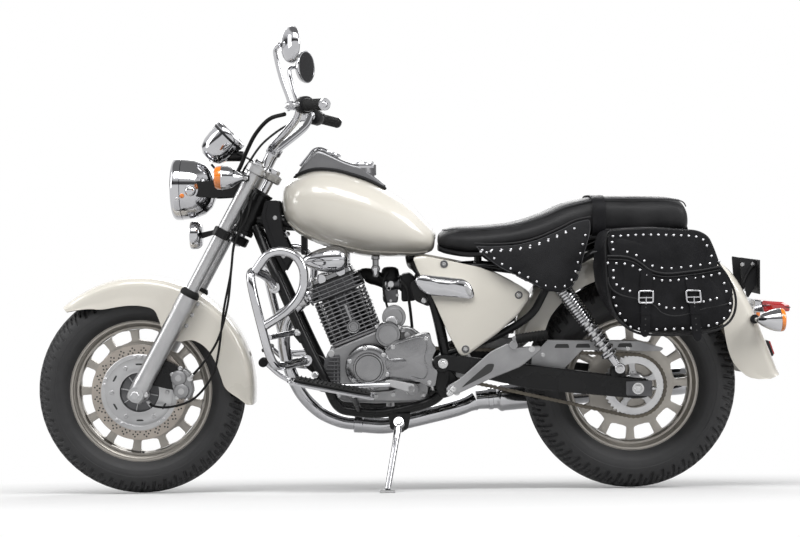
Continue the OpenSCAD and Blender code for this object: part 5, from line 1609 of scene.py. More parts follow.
        return parts + [(gusset, THREAD), (welt, VINYL)]

    def _strapped(self, x: float, slope: float, top: float, low: float) -> list[tuple[Shape, Finish]]:
        """One strap with its shaped upper patch, its buckle, its keeper and its hanging tail.

        Args:
            x: the strap's place at its buckle.
            slope: how far it moves rearward for each millimetre down.
            top: height of the patch's top.
            low: height of the tail's end.

        Returns:
            The strap's shapes and finishes.
        """
        def at(z: float) -> float:
            """Returns the strap's middle at a height."""
            return x + slope * (575 - z)
        half = 12.5
        patch = [(at(top) + 15, top - 14), (at(top) + 10, top), (at(top) - 12, top - 2), (at(top) - 18, top - 18),
                 (at(600) - 16, 600), (at(578) - half, 578), (at(578) + half, 578), (at(600) + 16, 600)]
        tail = [(at(582) + half, 582), (at(582) - half, 582), (at(low + 14) - half, low + 14), (at(low) - 7, low + 2),
                (at(low), low), (at(low) + 7, low + 2), (at(low + 14) + half, low + 14)]
        outer = rounded([(at(592) + 19, 592), (at(592) - 19, 592), (at(560) - 19, 560), (at(560) + 19, 560)], 6, 4)
        loop = self._raised(np.concatenate([outer, outer[:1]]), 8.6)
        buckle = tube(loop, 2.7, 10)
        bar = tube(self._raised([(at(574) + 19, 574), (at(574), 574), (at(574) - 19, 574)], 9.2), 2.0, 8)
        prong = tube(self._raised([(at(574), 575), (at(566), 566), (at(558), 557)], 11.0), 1.7, 8, domed=True)
        keep = self._panel([(at(532) + 15, 538), (at(532) - 15, 538), (at(526) - 15, 527), (at(526) + 15, 527)], 3.0,
                           9.6, 3)
        # Painted shade: the strap's holes are near-black discs standing in for the shade inside them, not openings.
        holes = rounds(self._raised([(at(z), z) for z in (548, 516, 500, 484)], 8.5), (0, 1, 0),
                       [(-0.6, 2.0), (0.15, 2.0)], 12)
        return [(self._panel(patch, 1.0, 5.6), LEATHER), (self._panel(tail, 3.0, 8.2), LEATHER),
                (buckle + bar + prong, CHROME),
                (keep, LEATHER), (holes, MARKS_AND_OPENING_SHADE)]

    def _yoke(self) -> Shape:
        """The leather yoke that joins the bags over the fender, under the seat."""
        y = np.linspace(-self.inner - 6, self.inner + 6, 41)
        sag = 724.6 + 0 * y
        section = array([(70, -1.8), (70, 1.6), (-60, 2.2), (-60, -1.2)])
        points = np.stack([np.broadcast_to(section[:, 0], (41, 4)), np.broadcast_to(y[:, None], (41, 4)),
                           sag[:, None] + section[:, 1]], -1)
        return grid(points, wrap_columns=True, caps=True)


# ---- Engine ----

CYLINDER_BASE = array([795.0, 0.0, 450.0])
CYLINDER_TILT = math.radians(21)


def on_cylinder(shape: Shape) -> Shape:
    """Carries a shape from the cylinder's own frame, whose Z runs up the bore."""
    c, s = math.cos(CYLINDER_TILT), math.sin(CYLINDER_TILT)
    return shape.laid(array([[c, 0, -s], [0, 1, 0], [s, 0, c]]), CYLINDER_BASE)


def slab(half_x: float, half_y: float, low: float, high: float, corner: float = 8.0, bevel: float = 0.8,
         middle: tuple[float, float] = (0.0, 0.0)) -> Shape:
    """A rounded rectangular plate across Z, as a fin is."""
    x, y = middle
    flat = rounded([(x - half_x, y - half_y), (x + half_x, y - half_y), (x + half_x, y + half_y),
                    (x - half_x, y + half_y)],
                   corner, 4)
    rings = [(inset(flat, bevel), low), (flat, low + bevel), (flat, high - bevel), (inset(flat, bevel), high)]
    points = np.stack([np.column_stack([q, np.full(len(q), z)]) for q, z in rings])
    return grid(points, wrap_columns=True, caps=True)


@dataclass
class Engine:
    """The engine: crankcase, finned barrel and head, covers, carburettor and exhaust.

    Attributes:
        fins: how many fins the barrel has.
        pitch: distance from fin to fin.
    """

    fins: int = 11
    pitch: float = 11.5

    def build(self, shop: Workshop) -> None:
        """Makes all of the engine's pieces."""
        shop.piece("engine_case", self._case(), Body.CHASSIS, "cast_alloy", ["crankcase"], 35)
        shop.piece("barrel", self._barrel(), Body.CHASSIS, "dark_cast", ["cylinder_block"], 35)
        shop.piece("head", self._head(), Body.CHASSIS, "dark_cast", ["cylinder_head"], 35)
        shop.piece("side_cases", self._covers(), Body.CHASSIS, "polished_alloy", ["engine_covers"], 30)
        shop.piece("carb", self._carburettor(), Body.CHASSIS, "black_plastic", ["carburettor"], 35)
        shop.piece("exhaust_system", self._exhaust(), Body.CHASSIS, "chrome", ["exhaust"], 35)

    def _case(self) -> list[tuple[Shape, Finish]]:
        """The crankcase halves with their joint, ribs, bolts, sump and starter."""
        outline = [(714, 481), (790, 452), (866, 420), (880, 404), (893, 360), (884, 330), (870, 302), (838, 268),
                   (740, 262), (610, 266), (590, 300), (590, 440), (640, 478)]
        middle = prism(rounded(outline, 12), -62, 62, 3)
        outer = rounded([(716, 478), (720, 478), (868, 418), (888, 362), (868, 306), (836, 282), (700, 280),
                         (696, 468)], 12)
        wings = prism(outer, 62, 83, 4).paired()
        lower = rounded([(845, 300), (800, 272), (600, 270), (588, 300), (592, 330), (650, 318), (700, 304),
                         (760, 300)], 8)
        sump = prism(lower, 62, 92, 3).paired()
        seam = prism(inset(rounded(outline, 12), -2.0), -2, 2, 0.8)
        rib_x = array([848.0, 858.5, 869, 879.5])
        ribs = merged([prism(rounded([(x - 2.4, 306 + 0.9 * k * 9), (x + 2.4, 306 + 0.9 * k * 9),
                                      (x + 1.6, 398 - k * 5),
                                      (x - 1.6, 398 - k * 5)], 1.5, 2), 60, 90 - 2.5 * k, 1.2) for k,
                       x in enumerate(rib_x)])
        dark = rounded([(842, 298), (872, 304), (892, 362), (884, 398), (842, 408)], 6)
        panel = prism(dark, 83, 86, 0.8).paired()
        rows = merged([prism(rounded([(842, z), (886 - abs(z - 352) * 0.35, z), (886 - abs(z - 352) * 0.35, z + 4.2),
                                      (842, z + 4.2)],
                                     1.2, 2), 84, 94, 1.0) for z in range(308, 400, 11)]).paired()
        starter = lathe([(-30, 0), (-30, 26), (-26, 30), (40, 30), (66, 30), (70, 33.6), (80, 34), (83, 32), (84, 26),
                         (86, 24), (86, 0)],
                        (686, 0, 512), (0, 1, 0), 56)
        band = lathe([(58, 29), (59, 31.4), (63, 31.4), (64, 29)], (686, 0, 512), (0, 1, 0), 56, closed=True)
        nose = lathe([(84, 19), (90, 18.6), (92, 16), (92, 0)], (692, 0, 497), (0, 1, 0), 40)
        nose_ring = lathe([(90, 15.4), (93.2, 15), (93.2, 12.6), (90, 12.2)], (692, 0, 497), (0, 1, 0), 40, closed=True)
        heads = bolts([(848, 92, 290), (800, 92, 284), (742, 92, 286), (690, 92, 292), (645, 92, 298), (604, 92, 288)],
                      (0, 1, 0), 6.5, 5)
        tops = bolts([(866, 83, 412), (662, 64, 472), (716, 83, 470)], (0, 1, 0), 6.5, 6)
        bosses = rounds([(648, 70, 459), (867, 83, 409)], (0, 1, 0), [(-10, 10), (5, 10), (6.4, 8.6), (6.4, 0)], 28)
        plug = bolts([(740, 0, 262)], (0, 0, -1), 11, 6)
        drain = rod((700, 30, 262), (700, 30, 250), 12)
        return [(middle + wings + sump + ribs, CAST), (seam, CAST), (panel, DARK_CAST), (rows, DARK_CAST),
                (starter, CAST), (band + nose, SATIN), (nose_ring, CHROME),
                (heads.paired() + tops.paired() + bosses.paired(), SATIN),
                (plug + drain, SATIN)]

    def _rung(self, k: int, half_x: float, half_y: float, base: float) -> Shape:
        """One fin with rounded corners."""
        z = base + k * self.pitch
        return slab(half_x, half_y, z, z + 4.2, 12, 1.0)

    def _barrel(self) -> list[tuple[Shape, Finish]]:
        """The barrel's fins with their upright ribs, studs and polished edges."""
        core = lathe([(0.4, 53), (132, 53), (136, 52)], (0, 0, 0), (0, 0, 1), 64)
        fins = merged([self._rung(k, 79.5 - 1.6 * abs(k - 6) ** 0.5, 71.5, 10) for k in range(self.fins)])
        edges = merged([slab(80.0 - 1.6 * abs(k - 6) ** 0.5, 72.0, 11.4 + k * self.pitch, 13.0 + k * self.pitch, 12,
                             0.4)
                        for k in range(self.fins)])
        ribs = merged([block((x - 2.2, 52, 12), (x + 2.2, 68.5, 134), 1.0) for x in (-58, -36, -14, 12, 36, 58)])
        side = merged([block((70, y - 2.2, 12), (76, y + 2.2, 134), 1.0) for y in (-48, -24, 0, 24, 48)])
        back = side.turned((0, 0, 1), 180)
        plug = lathe([(56, 15), (73, 15.5), (75, 14), (75, 9.5), (73.6, 8.5), (73.6, 0)], (-6, 0, 36), (0, 1, 0), 40)
        ring = lathe([(72, 16), (73.5, 18.4), (70, 19), (60, 19)], (-6, 0, 36), (0, 1, 0), 40)
        post = block((-10, 52, 50), (-2, 72.6, 104), 2)
        foot = slab(72, 66, 0.5, 9, 14, 1.5)
        nuts = bolts([(-60, 52, 8), (60, 52, 8), (-60, -52, 8), (60, -52, 8)], (0, 0, 1), 7, 7)
        parts = [(core + fins + ribs + ribs.mirrored() + side + back, DARK_CAST), (edges, FIN_EDGE),
                 (ring + post, CAST), (plug, POLISHED),
                 (foot + nuts, CAST)]
        return [(on_cylinder(shape), finish) for shape, finish in parts]

    def _head(self) -> list[tuple[Shape, Finish]]:
        """The head's fins, the polished rocker cover with its dark joint, and its bolts."""
        z = 136.5
        body = slab(60, 58, z, z + 47, 16, 2)
        fins = merged([self._rung(k, 78 - 1.5 * k, 70, z + 4) for k in range(4)])
        edges = merged([slab(78.5 - 1.5 * k, 70.5, z + 5.4 + k * self.pitch, z + 6.9 + k * self.pitch, 12,
                             0.4) for k in range(4)])
        ribs = merged([block((x - 2.4, 50, z + 4), (x + 2.4, 66.5, z + 46), 1.0) for x in (-52, -26, 0, 26, 52)])
        joint = slab(66, 64, z + 46, z + 49.5, 16, 0.8)
        cover = slab(63, 61, z + 49, z + 66, 18, 3)
        crown = self._crown(z + 65)
        caps = rounds([(-30, 60.4, z + 60), (30, 60.4, z + 60)], (0, 1, 0),
                      [(-6, 15), (1.5, 15), (3.4, 13), (3.8, 10), (3.2, 0)], 36)
        lugs = bolts([(-54, 52, z + 66), (54, 52, z + 66), (-54, -52, z + 66), (54, -52, z + 66), (0, 54, z + 66),
                      (0, -54, z + 66)],
                     (0, 0, 1), 5.5, 5)
        pipe = rod((-58, 0, z + 22), (-80, 0, z + 22), 22)
        port = lathe([(56, 26), (80, 25), (81.4, 23.5), (81.4, 19.5)], (0, -20, z + 24), (1, 0, 0), 40)
        spark = lathe([(0, 9), (10, 9), (12, 12), (30, 12), (34, 7), (50, 6.4)], (24, -58, z + 30), (0.2, -1, 0.5), 28)
        parts = [(body + fins + ribs + ribs.mirrored(), DARK_CAST), (edges, FIN_EDGE), (joint, MARKS_AND_OPENING_SHADE),
                 (cover + crown, POLISHED),
                 (caps + caps.mirrored(), CHROME), (lugs, STEEL), (pipe, DARK_CAST), (port, CAST), (spark, RUBBER)]
        return [(on_cylinder(shape), finish) for shape, finish in parts]

    @staticmethod
    def _crown(base: float) -> Shape:
        """The rocker cover's top: two low humps along the machine."""
        x = np.linspace(-61, 61, 25)
        y = np.linspace(-59, 59, 25)
        gx, gy = np.meshgrid(x, y, indexing="ij")
        edge = (1 - np.abs(gx / 61) ** 6) * (1 - np.abs(gy / 59) ** 6)
        hump = 3 + 9.5 * (0.55 + 0.45 * np.cos(gx / 61 * 2 * np.pi + np.pi)) * (1 - 0.3 * (gy / 59) ** 2)
        top = np.stack([gx, gy, base - 2 + hump * np.clip(edge, 0, 1)], -1)
        return grid(top)

    def _covers(self) -> list[tuple[Shape, Finish]]:
        """The polished covers: generator, gear, sprocket and, on the right, clutch and oil filter."""
        stator = lathe([(84.5, 66), (132, 66), (140, 62.5), (144, 56), (145.6, 46.5), (145.6, 44)], (759, 0, 374),
                       (0, 1, 0), 96)
        face = lathe([(145, 44), (158, 43), (160, 41.5), (160, 38), (158.6, 37), (158.6, 0)], (759, 0, 374), (0, 1, 0),
                     96)
        dark = lathe([(157, 37.6), (159.2, 37.4), (159.2, 35.4), (157, 35.2)], (759, 0, 374), (0, 1, 0), 96,
                     closed=True)
        ring = array([(759 + 54.5 * math.cos(a), 143.4, 374 + 54.5 * math.sin(a)) for a in np.radians([20, 80, 140, 200,
                                                                                                       260, 320])])
        pads = rounds(ring - [0, 9, 0], (0, 1, 0), [(-20, 9.5), (7.6, 9.5), (9.2, 8), (9.2, 0)], 28)
        gear = lathe([(84.5, 36), (124, 36), (128, 33.8), (128.6, 30.4), (127.2, 29.6), (127.2, 27.6), (128.8, 26.6),
                      (129.6, 0)],
                     (703, 0, 466), (0, 1, 0), 72)
        ears = array([(703 + 37 * math.cos(a), 118, 466 + 37 * math.sin(a)) for a in np.radians([35, 150, 275])])
        lobes = rounds(ears - [0, 18, 0], (0, 1, 0), [(0, 8), (18, 8), (19.4, 6.6), (19.4, 0)], 24)
        sprocket = rounded([(713, 424), (684, 450), (664, 452), (600, 470), (584, 468), (578, 440), (566, 424),
                            (578, 402), (577, 380),
                            (563, 360), (571, 318), (584, 316), (612, 330), (700, 344), (712, 360)], 7, 4)
        panel = pillow(sprocket, 94, 49.5, 44, (640, 396), 12)
        groove = [(704, 424), (682, 440), (610, 459), (592, 436), (600, 400), (592, 362), (606, 340), (640, 346)]
        crease = tube(np.insert(spline(groove, 5), 1, 143.9, axis=1), 1.6, 8, domed=True)
        arm = pillow(rounded([(712, 398), (664, 402), (650, 392), (652, 380), (668, 370), (708, 366)], 9, 4), 142, 9, 5,
                     rings=6)
        rim = [(596, 144, 454), (588, 143.4, 330), (690, 143.6, 432)]
        screws = bolts(rim, (0, 1, 0), 5, 4)
        clutch = lathe([(-84.5, 92), (-128, 92), (-140, 88), (-147, 80), (-149.5, 68), (-149.8, 56), (-148.6, 54),
                        (-148.6, 0)],
                       (690, 0, 366), (0, 1, 0), 96)
        around = array([(690 + 81 * math.cos(a), -144.4,
                         366 + 81 * math.sin(a)) for a in np.radians(np.arange(8) * 45 + 12)])
        pads_r = rounds(around, (0, -1, 0), [(-18, 9), (0.5, 9), (2, 7.6), (2, 0)], 24)
        filter_case = lathe([(-84.5, 44), (-126, 44), (-133, 40), (-135.6, 30), (-135.8, 0)], (800, 0, 392), (0, 1, 0),
                            64)
        filler = lathe([(-146, 17), (-156, 17), (-158, 15), (-158, 0)], (668, 0, 424), (0, 1, 0), 40)
        shaft = lathe([(84, 15), (99, 15), (101, 13), (108, 12), (108, 0)], (636, 0, 309), (0, 1, 0), 32)
        eye = lathe([(101, 18.5), (110, 18.5), (111, 17), (111, 9)], (636, 0, 309), (0, 1, 0), 36)
        nut = bolts([(636, 108, 309)], (0, 1, 0), 7, 6)
        return [(stator + pads + gear + lobes + panel + arm + crease, POLISHED), (face, POLISHED), (dark, MARKS_AND_OPENING_SHADE),
                (bolts(ring + [0, 0.2, 0], (0, 1, 0), 5, 4.2) + bolts(ears + [0, 1.4, 0], (0, 1, 0), 4.6, 4) + screws,
                 STEEL),
                (clutch + pads_r + filter_case, POLISHED), (bolts(around - [0, 2, 0], (0, -1, 0), 5, 4.2), STEEL),
                (filler, BLACK_PLASTIC), (shaft + eye, CAST), (nut, STEEL)]

    def _carburettor(self) -> list[tuple[Shape, Finish]]:
        """The carburettor between its rubber boots, the air box, the fuel tap and its hose."""
        c, s = math.cos(CYLINDER_TILT), math.sin(CYLINDER_TILT)
        port = CYLINDER_BASE + [158 * s - 94 * c, 0, 158 * c + 94 * s]
        inlet = CYLINDER_BASE + [158 * s - 79.8 * c, 0, 158 * c + 79.8 * s]
        boot = tube(spline([inlet, port, (700, 0, 606)], 6), [21, 23, 22, 20, 19, 19, 20, 22, 23, 21, 20, 20, 20][:13],
                    24)
        clamp = lathe([(0, 23.6), (7, 23.6), (7, 20), (0, 20)], (704, 0, 606), (1, 0, 0.05), 32, closed=True)
        body = lathe([(0, 20), (3, 24), (12, 24), (16, 20), (40, 20), (44, 24), (50, 24)], (710, 0, 606), (-1, 0, 0),
                     40)
        bowl = prism(rounded([(676, 550), (714, 550), (718, 560), (718, 590), (674, 590), (673, 560)], 6, 4), -28, 28,
                     4)
        dome = lathe([(0, 29), (10, 30), (14, 28), (34, 24), (40, 18), (42, 8), (42, 0)], (696, 0, 612), (0, 0, 1), 40)
        cap = lathe([(-1, 31.4), (4, 31.4), (5, 30)], (696, 0, 620), (0, 0, 1), 40)
        rim = bolts([(676, 28, 572), (714, 28, 572), (695, 28, 556)], (0, 1, 0), 3.6, 3)
        wheel = lathe([(28, 10), (34, 10), (35, 8.6), (35, 0)], (694, 0, 604), (0, 1, 0), 32)
        spring = tube(helix((700, 40, 592), (0, 1, 0.1), 5.5, 10, 4), 1.0, 6)
        airbox = prism(rounded([(622, 556), (664, 553), (665, 632), (640, 637), (621, 620)], 9, 4), -41, 41, 4)
        hose = tube(spline([(704, 26, 640), (716, 42, 612), (712, 52, 570), (700, 50, 520), (690, 40, 470)], 7), 3.4,
                    10)
        breather = tube(spline([(664, 44, 612), (648, 62, 590), (640, 70, 540), (634, 66, 480)], 7), 4.4, 10)
        tap_body = lathe([(45, 10), (52, 13), (66, 13), (72, 10), (79, 9), (80, 0)], (737, 0, 650), (0, 1, 0), 32)
        tap_neck = lathe([(0, 9), (26, 9), (28, 12), (36.2, 12)], (737, 60, 650), (0, 0, 1), 32)
        lever = prism(rounded([(730, 656), (744, 656), (742, 636), (737, 628), (732, 636)], 4, 3), 78, 83, 1.5)
        cup = lathe([(0, 8), (10, 9), (20, 8), (22, 5), (22, 0)], (737, 58, 648), (0, 0, -1), 24)
        line = tube(spline([(735, 58, 640), (728, 46, 626), (716, 34, 618), (708, 28, 618)], 6), 4.2, 10)
        return [(boot, RUBBER), (clamp, STEEL), (body + bowl, DARK_CAST), (dome + cap, BLACK_PLASTIC),
                (rim + wheel + spring, STEEL),
                (airbox, BLACK_PLASTIC), (hose + breather + line, RUBBER), (tap_body + tap_neck + cup, CAST),
                (lever, CHROME)]

    @staticmethod
    def _exhaust() -> list[tuple[Shape, Finish]]:
        """The header with its flange, the collector with its clamps, and the long silencer on the right."""
        c, s = math.cos(CYLINDER_TILT), math.sin(CYLINDER_TILT)
        def at(x: float, y: float, z: float) -> Points:
            """Carries one point from the cylinder's frame."""
            return CYLINDER_BASE + [x * c + z * s, y, z * c - x * s]
        path = [at(81.6, -20, 160), at(94, -21, 160), at(116, -38, 152), (990, -58, 516), (1010, -60, 462),
                (1012, -66, 412),
                (1000, -88, 350), (968, -122, 272), (915, -146, 212), (853, -150, 182), (804, -150, 174),
                (790, -150, 173)]
        header = tube(spline(path, 8), 18.8, 32)
        flange = lathe([(0, 30), (6, 30), (7, 28), (7, 20)], at(81.6, -20, 160), (c, 0, -s), 48)
        studs_ = rounds([at(88, -20 + 24, 160), at(88, -20 - 24, 160)], (c, 0, -s), [(0, 5.4), (7, 5.4), (8, 4)], 6)
        fluted = lathe([(0, 21), (3, 23.6), (22, 23.6), (25, 21)], at(94, -21, 160), (c, -0.3, -s), 36)
        pipe = tube(spline([(804, -150, 174), (717, -150, 168), (642, -152, 184), (507, -165, 214), (446, -181, 234)],
                           8),
                    [24.8] * 30 + [25.6, 27, 29], 32)
        sleeve = lathe([(0, 22), (2, 26.6), (26, 26.6), (28, 25)], (812, -150, 174.6), (-1, 0, -0.07), 40)
        start, end = array([440.0, -184, 238]), array([-210.0, -206, 288])
        length = float(np.linalg.norm(end - start))
        can = lathe([(0, 29), (30, 30), (62, 32), (72, 41), (78, 42), (84, 40.8), (length - 60, 40.8),
                     (length - 54, 42),
                     (length - 22, 42), (length - 4, 39), (length, 35), (length, 29), (length - 22, 27),
                     (length - 22, 0)],
                    start, end - start, 64)
        pipes = lathe([(length - 21, 20), (length - 0.5, 20), (length - 0.5, 17.5), (length - 21, 17)], start,
                      end - start, 36, closed=True)
        clamp = lathe([(36, 31), (37, 33.4), (50, 33.4), (51, 31)], start, end - start, 48, closed=True)
        shield = [(start + (end - start) * t + [0, -6 - 2 * math.sin(math.pi * u), 8]) for t,
                  u in ((0.16, 0), (0.3, 0.5), (0.5, 1), (0.7, 0.5), (0.84, 0))]
        guard = tube(spline(shield, 8), [18, 30, 35, 37, 37.6] + [38] * 23 + [37.6, 37, 35, 30, 18], 28)
        # Painted shade: a near-black strip along the shield stands in for the shade inside its slot openings.
        slot_shade = tube(spline([array(shield[1]) + [0, -32, 20], array(shield[2]) + [0, -32, 20],
                             array(shield[3]) + [0, -32, 20]], 8),
                     1.8, 8, domed=True)
        return [(header + flange + sleeve, CHROME), (studs_, STEEL), (fluted, STEEL),
                (pipe + can + guard + clamp, CHROME), (slot_shade, MARKS_AND_OPENING_SHADE),
                (pipes, DARK_CAST)]


# ---- Frame, guards and running gear ----

@dataclass
class Chassis:
    """The black frame with its welded parts, and the smaller things bolted to it."""

    cradle: Sequence[tuple[float, float, float]] = (
        (1083, 26, 776), (1061, 44, 724), (1015, 92, 622), (938, 100, 445), (885, 100, 335), (850, 98, 262),
                                                    (800, 96, 244),
        (714, 96, 240), (590, 100, 268), (540, 108, 318), (538, 108, 390), (566, 108, 530), (600, 100, 622),
                                                    (622, 70, 655),
        (634, 28, 664), (640, 18, 700))

    def build(self, shop: Workshop) -> None:
        """Makes the frame and all that is fixed to it."""
        shop.piece("frame_tubes", self._frame(), Body.CHASSIS, "frame_black", ["main_frame"], 35)
        shop.piece("neck_shrouds", self._neck(), Body.CHASSIS, "black_plastic", ["neck_cover"], 35)
        shop.piece("swing_arm", self._swingarm(), Body.CHASSIS, "frame_black", ["swingarm"], 35)
        shop.piece("shock_absorbers", self._shocks(), Body.CHASSIS, "chrome", ["rear_shocks"], 35)
        shop.piece("crash_bars", self._guards(), Body.CHASSIS, "chrome", ["engine_guards"], 35)
        shop.piece("teardrop_covers", self._teardrop(), Body.CHASSIS, "chrome", ["horn_cover"], 40)
        shop.piece("foot_boards", self._boards(), Body.CHASSIS, "rubber", ["footboards"], 35)
        shop.piece("pedals", self._pedals(), Body.CHASSIS, "chrome", ["foot_levers"], 35)
        shop.piece("pillion_pegs", self._pegs(), Body.CHASSIS, "polished_alloy", ["passenger_pegs"], 35)
        shop.piece("chain_cover", self._chain_guard(), Body.CHASSIS, "frame_black", ["chain_guard"], 35)
        shop.piece("roller_chain", self._chain(), Body.CHASSIS, "chain_steel", ["drive_chain"], 35)
        shop.piece("drum_brake", self._drum(), Body.CHASSIS, "cast_alloy", ["rear_brake"], 35)
        shop.piece("kickstand", self._stand(), Body.STAND, "chrome", ["side_stand"], 35)

    def _frame(self) -> list[tuple[Shape, Finish]]:
        """The tubes of the double cradle, the backbone, the rails, lugs and brackets."""
        tubes = tube(spline(self.cradle, 7), 13.9, 22)
        rails = tube(spline([(600, 98, 634), (450, 112, 655), (239, 120, 640), (70, 121, 711), (-40, 121, 712),
                             (-150, 118, 712)], 8), 11, 18, domed=True)
        low = tube(spline([(541, 108, 408), (413, 118, 450), (305, 119, 511), (262, 119, 575), (239, 120, 632)], 8), 11,
                   18)
        pair = tubes + rails + low + across(549, 385, 90, 124, 20) + across(239, 632, 110, 178, 9) + across(530, 312,
                                                                                                            104, 157,
                                                                                                            11)
        gusset = prism(rounded([(585, 632), (640, 612), (628, 560), (582, 540)], 14, 4), 98, 103, 1.5)
        lug = prism(rounded([(528, 366), (500, 330), (520, 290), (556, 280), (572, 320), (566, 360)], 12, 4), 96, 121,
                    2.5)
        plate = prism(rounded([(564, 400), (536, 404), (530, 370), (545, 352), (572, 358)], 10, 4), 96, 124, 2.5)
        mount = prism(rounded([(893, 350), (893, 380), (925, 400), (940, 372), (905, 345)], 8, 4), 64, 98, 2)
        upper = prism(rounded([(944, 458), (968, 482), (976, 470), (952, 440)], 6, 3), 98, 112, 1.5)
        boardlug = prism(rounded([(914, 334), (882, 338), (862, 316), (870, 300), (902, 306)], 8, 4), 106, 118, 2)
        pair = pair + gusset + lug + plate + mount + upper + boardlug
        head = lathe([(540, 26), (541, 31), (552, 31), (556, 27.6), (664, 27.6), (668, 31), (674, 31), (676, 27)],
                     fork(-FORK_OFFSET, 0, 0), FORK_UP, 48)
        top = fork(-FORK_OFFSET, 0, 590)
        spine = tube([top - [22, 0, 8], (960, 0, 782), (640, 0, 716)], 21.9, 28)
        crosses = (across(907, 332, -100, 100, 12) + across(575, 290, -100, 100, 13) + across(603, 632, -98, 98, 12)
                   + across(930, 780, -35, 35, 10) + across(-144, 712.4, -118, 118, 8) + across(440, 655, -112, 112,
                                                                                                10))
        post = rod((440, 40, 655), (440, 40, 683.5), 9).paired()
        stand_lug = prism(rounded([(640, 240), (706, 240), (700, 194), (664, 188), (650, 194)], 8, 4), 96, 112, 2)
        tread = bolts([(550, 124.5, 385), (510, 121.5, 300), (530, 157.5, 312), (912, 112.5, 353)], (0, 1, 0), 8, 6)
        small = bolts([(892, 118.2, 326), (874, 118.2, 312), (958, 112.2, 472), (606, 103.2, 600), (600, 103.2, 560)],
                      (0, 1, 0), 6, 5)
        pivot, axis = self._stand_pin()
        pin = rod(pivot - 44 * axis, pivot + 13 * axis, 6) + rod(pivot - 44 * axis, pivot - 9.6 * axis, 13)
        pin_head = rounds([pivot + 9.6 * axis], axis, [(0, 11), (3.6, 11), (4.8, 9.6), (5, 5), (4, 4), (4, 0)], 6)
        return [(pair.paired() + head + spine + crosses + post + stand_lug, BLACK_PAINT),
                (tread.paired() + small.paired(), STEEL),
                (pin, BLACK_PAINT), (pin_head, STEEL)]

    @staticmethod
    def _neck() -> list[tuple[Shape, Finish]]:
        """Black shrouds beside the steering head."""
        outline = rounded([(1052, 850), (1066, 800), (1038, 716), (1000, 640), (972, 690), (1000, 752), (1012, 850)],
                          10, 4)
        plate = prism(outline, 49, 56, 2.5)
        inner = across(1020, 793, 22.3, 50, 8)
        crease = tube(np.insert(spline([(1046, 836), (1050, 800), (1026, 724), (996, 664)], 6), 1, 56.4, axis=1), 1.4,
                      8,
                      domed=True)
        screw = bolts([(1024, 56, 800), (1002, 56, 690)], (0, 1, 0), 5, 3.5)
        return [((plate + inner + crease).paired(), BLACK_PLASTIC), (screw.paired(), STEEL)]

    @staticmethod
    def _swingarm() -> list[tuple[Shape, Finish]]:
        """The box-section arms with their end plates, chain adjusters, pivot and lower shock mounts."""
        z = 307.6
        arm = prism(rounded([(570, 405), (528, 408), (0, 336), (-30, 334), (-45, z), (-30, 282), (0, 278), (300, 308),
                             (528, 362),
                             (570, 366), (580, 386)], 12, 4), 125, 147, 3)
        # Painted shade: the adjuster slot is a thin near-black plate standing in for the shade inside it.
        slot = prism(rounded([(-26, z - 9), (26, z - 9), (26, z + 9), (-26, z + 9)], 9, 5), 146.6, 147.6, 0.3)
        square = prism(rounded([(-40, 284), (34, 288), (34, 328), (-40, 330)], 5, 3), 147, 151, 1.2)
        adjuster = rod((-38, 154, z), (-52, 154, z), 4) + rod((-40, 154, z), (-44, 154, z), 7, 6)
        nut = rounds([(0, 151, z)], (0, 1, 0), [(0, 15), (2, 15), (2.2, 12.5), (9, 12.5), (10.6, 11), (10.6, 8.5),
                                                (8, 8)], 6)
        washer = lathe([(151, 16.5), (153, 16.5), (153, 9), (151, 9)], (0, 0, z), (0, 1, 0), 40, closed=True)
        pivot = across(549, 385, 147, 159, 14) + bolts([(549, 158, 385)], (0, 1, 0), 8, 5)
        cross = across(478, 376, -125, 125, 20)
        axle = across(0, z, -153, 153, 8) + across(549, 385, -151, 151, 8)
        clevis = prism(rounded([(34, 338), (34, 372), (46, 380), (64, 380), (76, 372), (76, 338)], 6, 3), 131, 147, 2)
        lower = across(54, 350, 129, 147, 12) + across(54, 367, 135, 178, 8)
        cap = bolts([(54, 178, 367)], (0, 1, 0), 8, 6)
        return [((arm + clevis + lower).paired() + cross, BLACK_PAINT), (slot.paired(), MARKS_AND_OPENING_SHADE),
                (square.paired(), DARK_CAST),
                ((adjuster + nut + washer + pivot + cap).paired() + axle, STEEL)]

    @staticmethod
    def _shocks() -> list[tuple[Shape, Finish]]:
        """The shock absorbers: eyes, a damper, a shroud, the spring's coils and their seats."""
        low, top = array([54.0, 162, 367]), array([239.0, 162, 632])
        axis = top - low
        length = float(np.linalg.norm(axis))
        eyes = across(54, 367, 150, 175, 14) + across(239, 632, 150, 175, 14)
        rubber = lathe([(-13.5, 11), (-13.4, 8.6)], (54, 162, 367), (0, 1, 0), 24)
        body = lathe([(12, 8), (14, 12), (40, 13), (44, 20), (48, 24.6), (53, 24.6), (54, 15)], low, axis, 40)
        damper = lathe([(50, 13.5), (length - 60, 13.5)], low, axis, 32)
        shroud = lathe([(length - 44, 15), (length - 42, 22), (length - 40, 24), (length - 34, 25.4),
                        (length - 28, 25.4), (length - 24, 20), (length - 14, 12), (length - 10, 10)], low, axis, 40)
        wide = helix(low + unit(axis) * 57, axis, 20.6, 104, 6)
        fine = helix(low + unit(axis) * 161, axis, 20.6, length - 161 - 40, 14)
        coil = np.concatenate([wide, fine[1:]])
        spring = Chassis._wound(coil, 3.6)
        return [((eyes + body + shroud).paired(), CHROME), ((damper + rubber).paired(), STEEL),
                (spring.paired(), CHROME)]

    @staticmethod
    def _wound(coil: Points, radius: float) -> Shape:
        """A round wire along a helix, ringed across its own direction."""
        along = unit(np.gradient(coil, axis=0))
        axis = unit(coil[-1] - coil[0])
        first = unit(np.cross(along, axis))
        second = np.cross(along, first)
        a = 2 * np.pi * np.arange(9) / 9
        ring = np.cos(a)[None, :, None] * first[:, None] + np.sin(a)[None, :, None] * second[:, None]
        return grid(coil[:, None] + radius * ring, wrap_columns=True, caps=True)

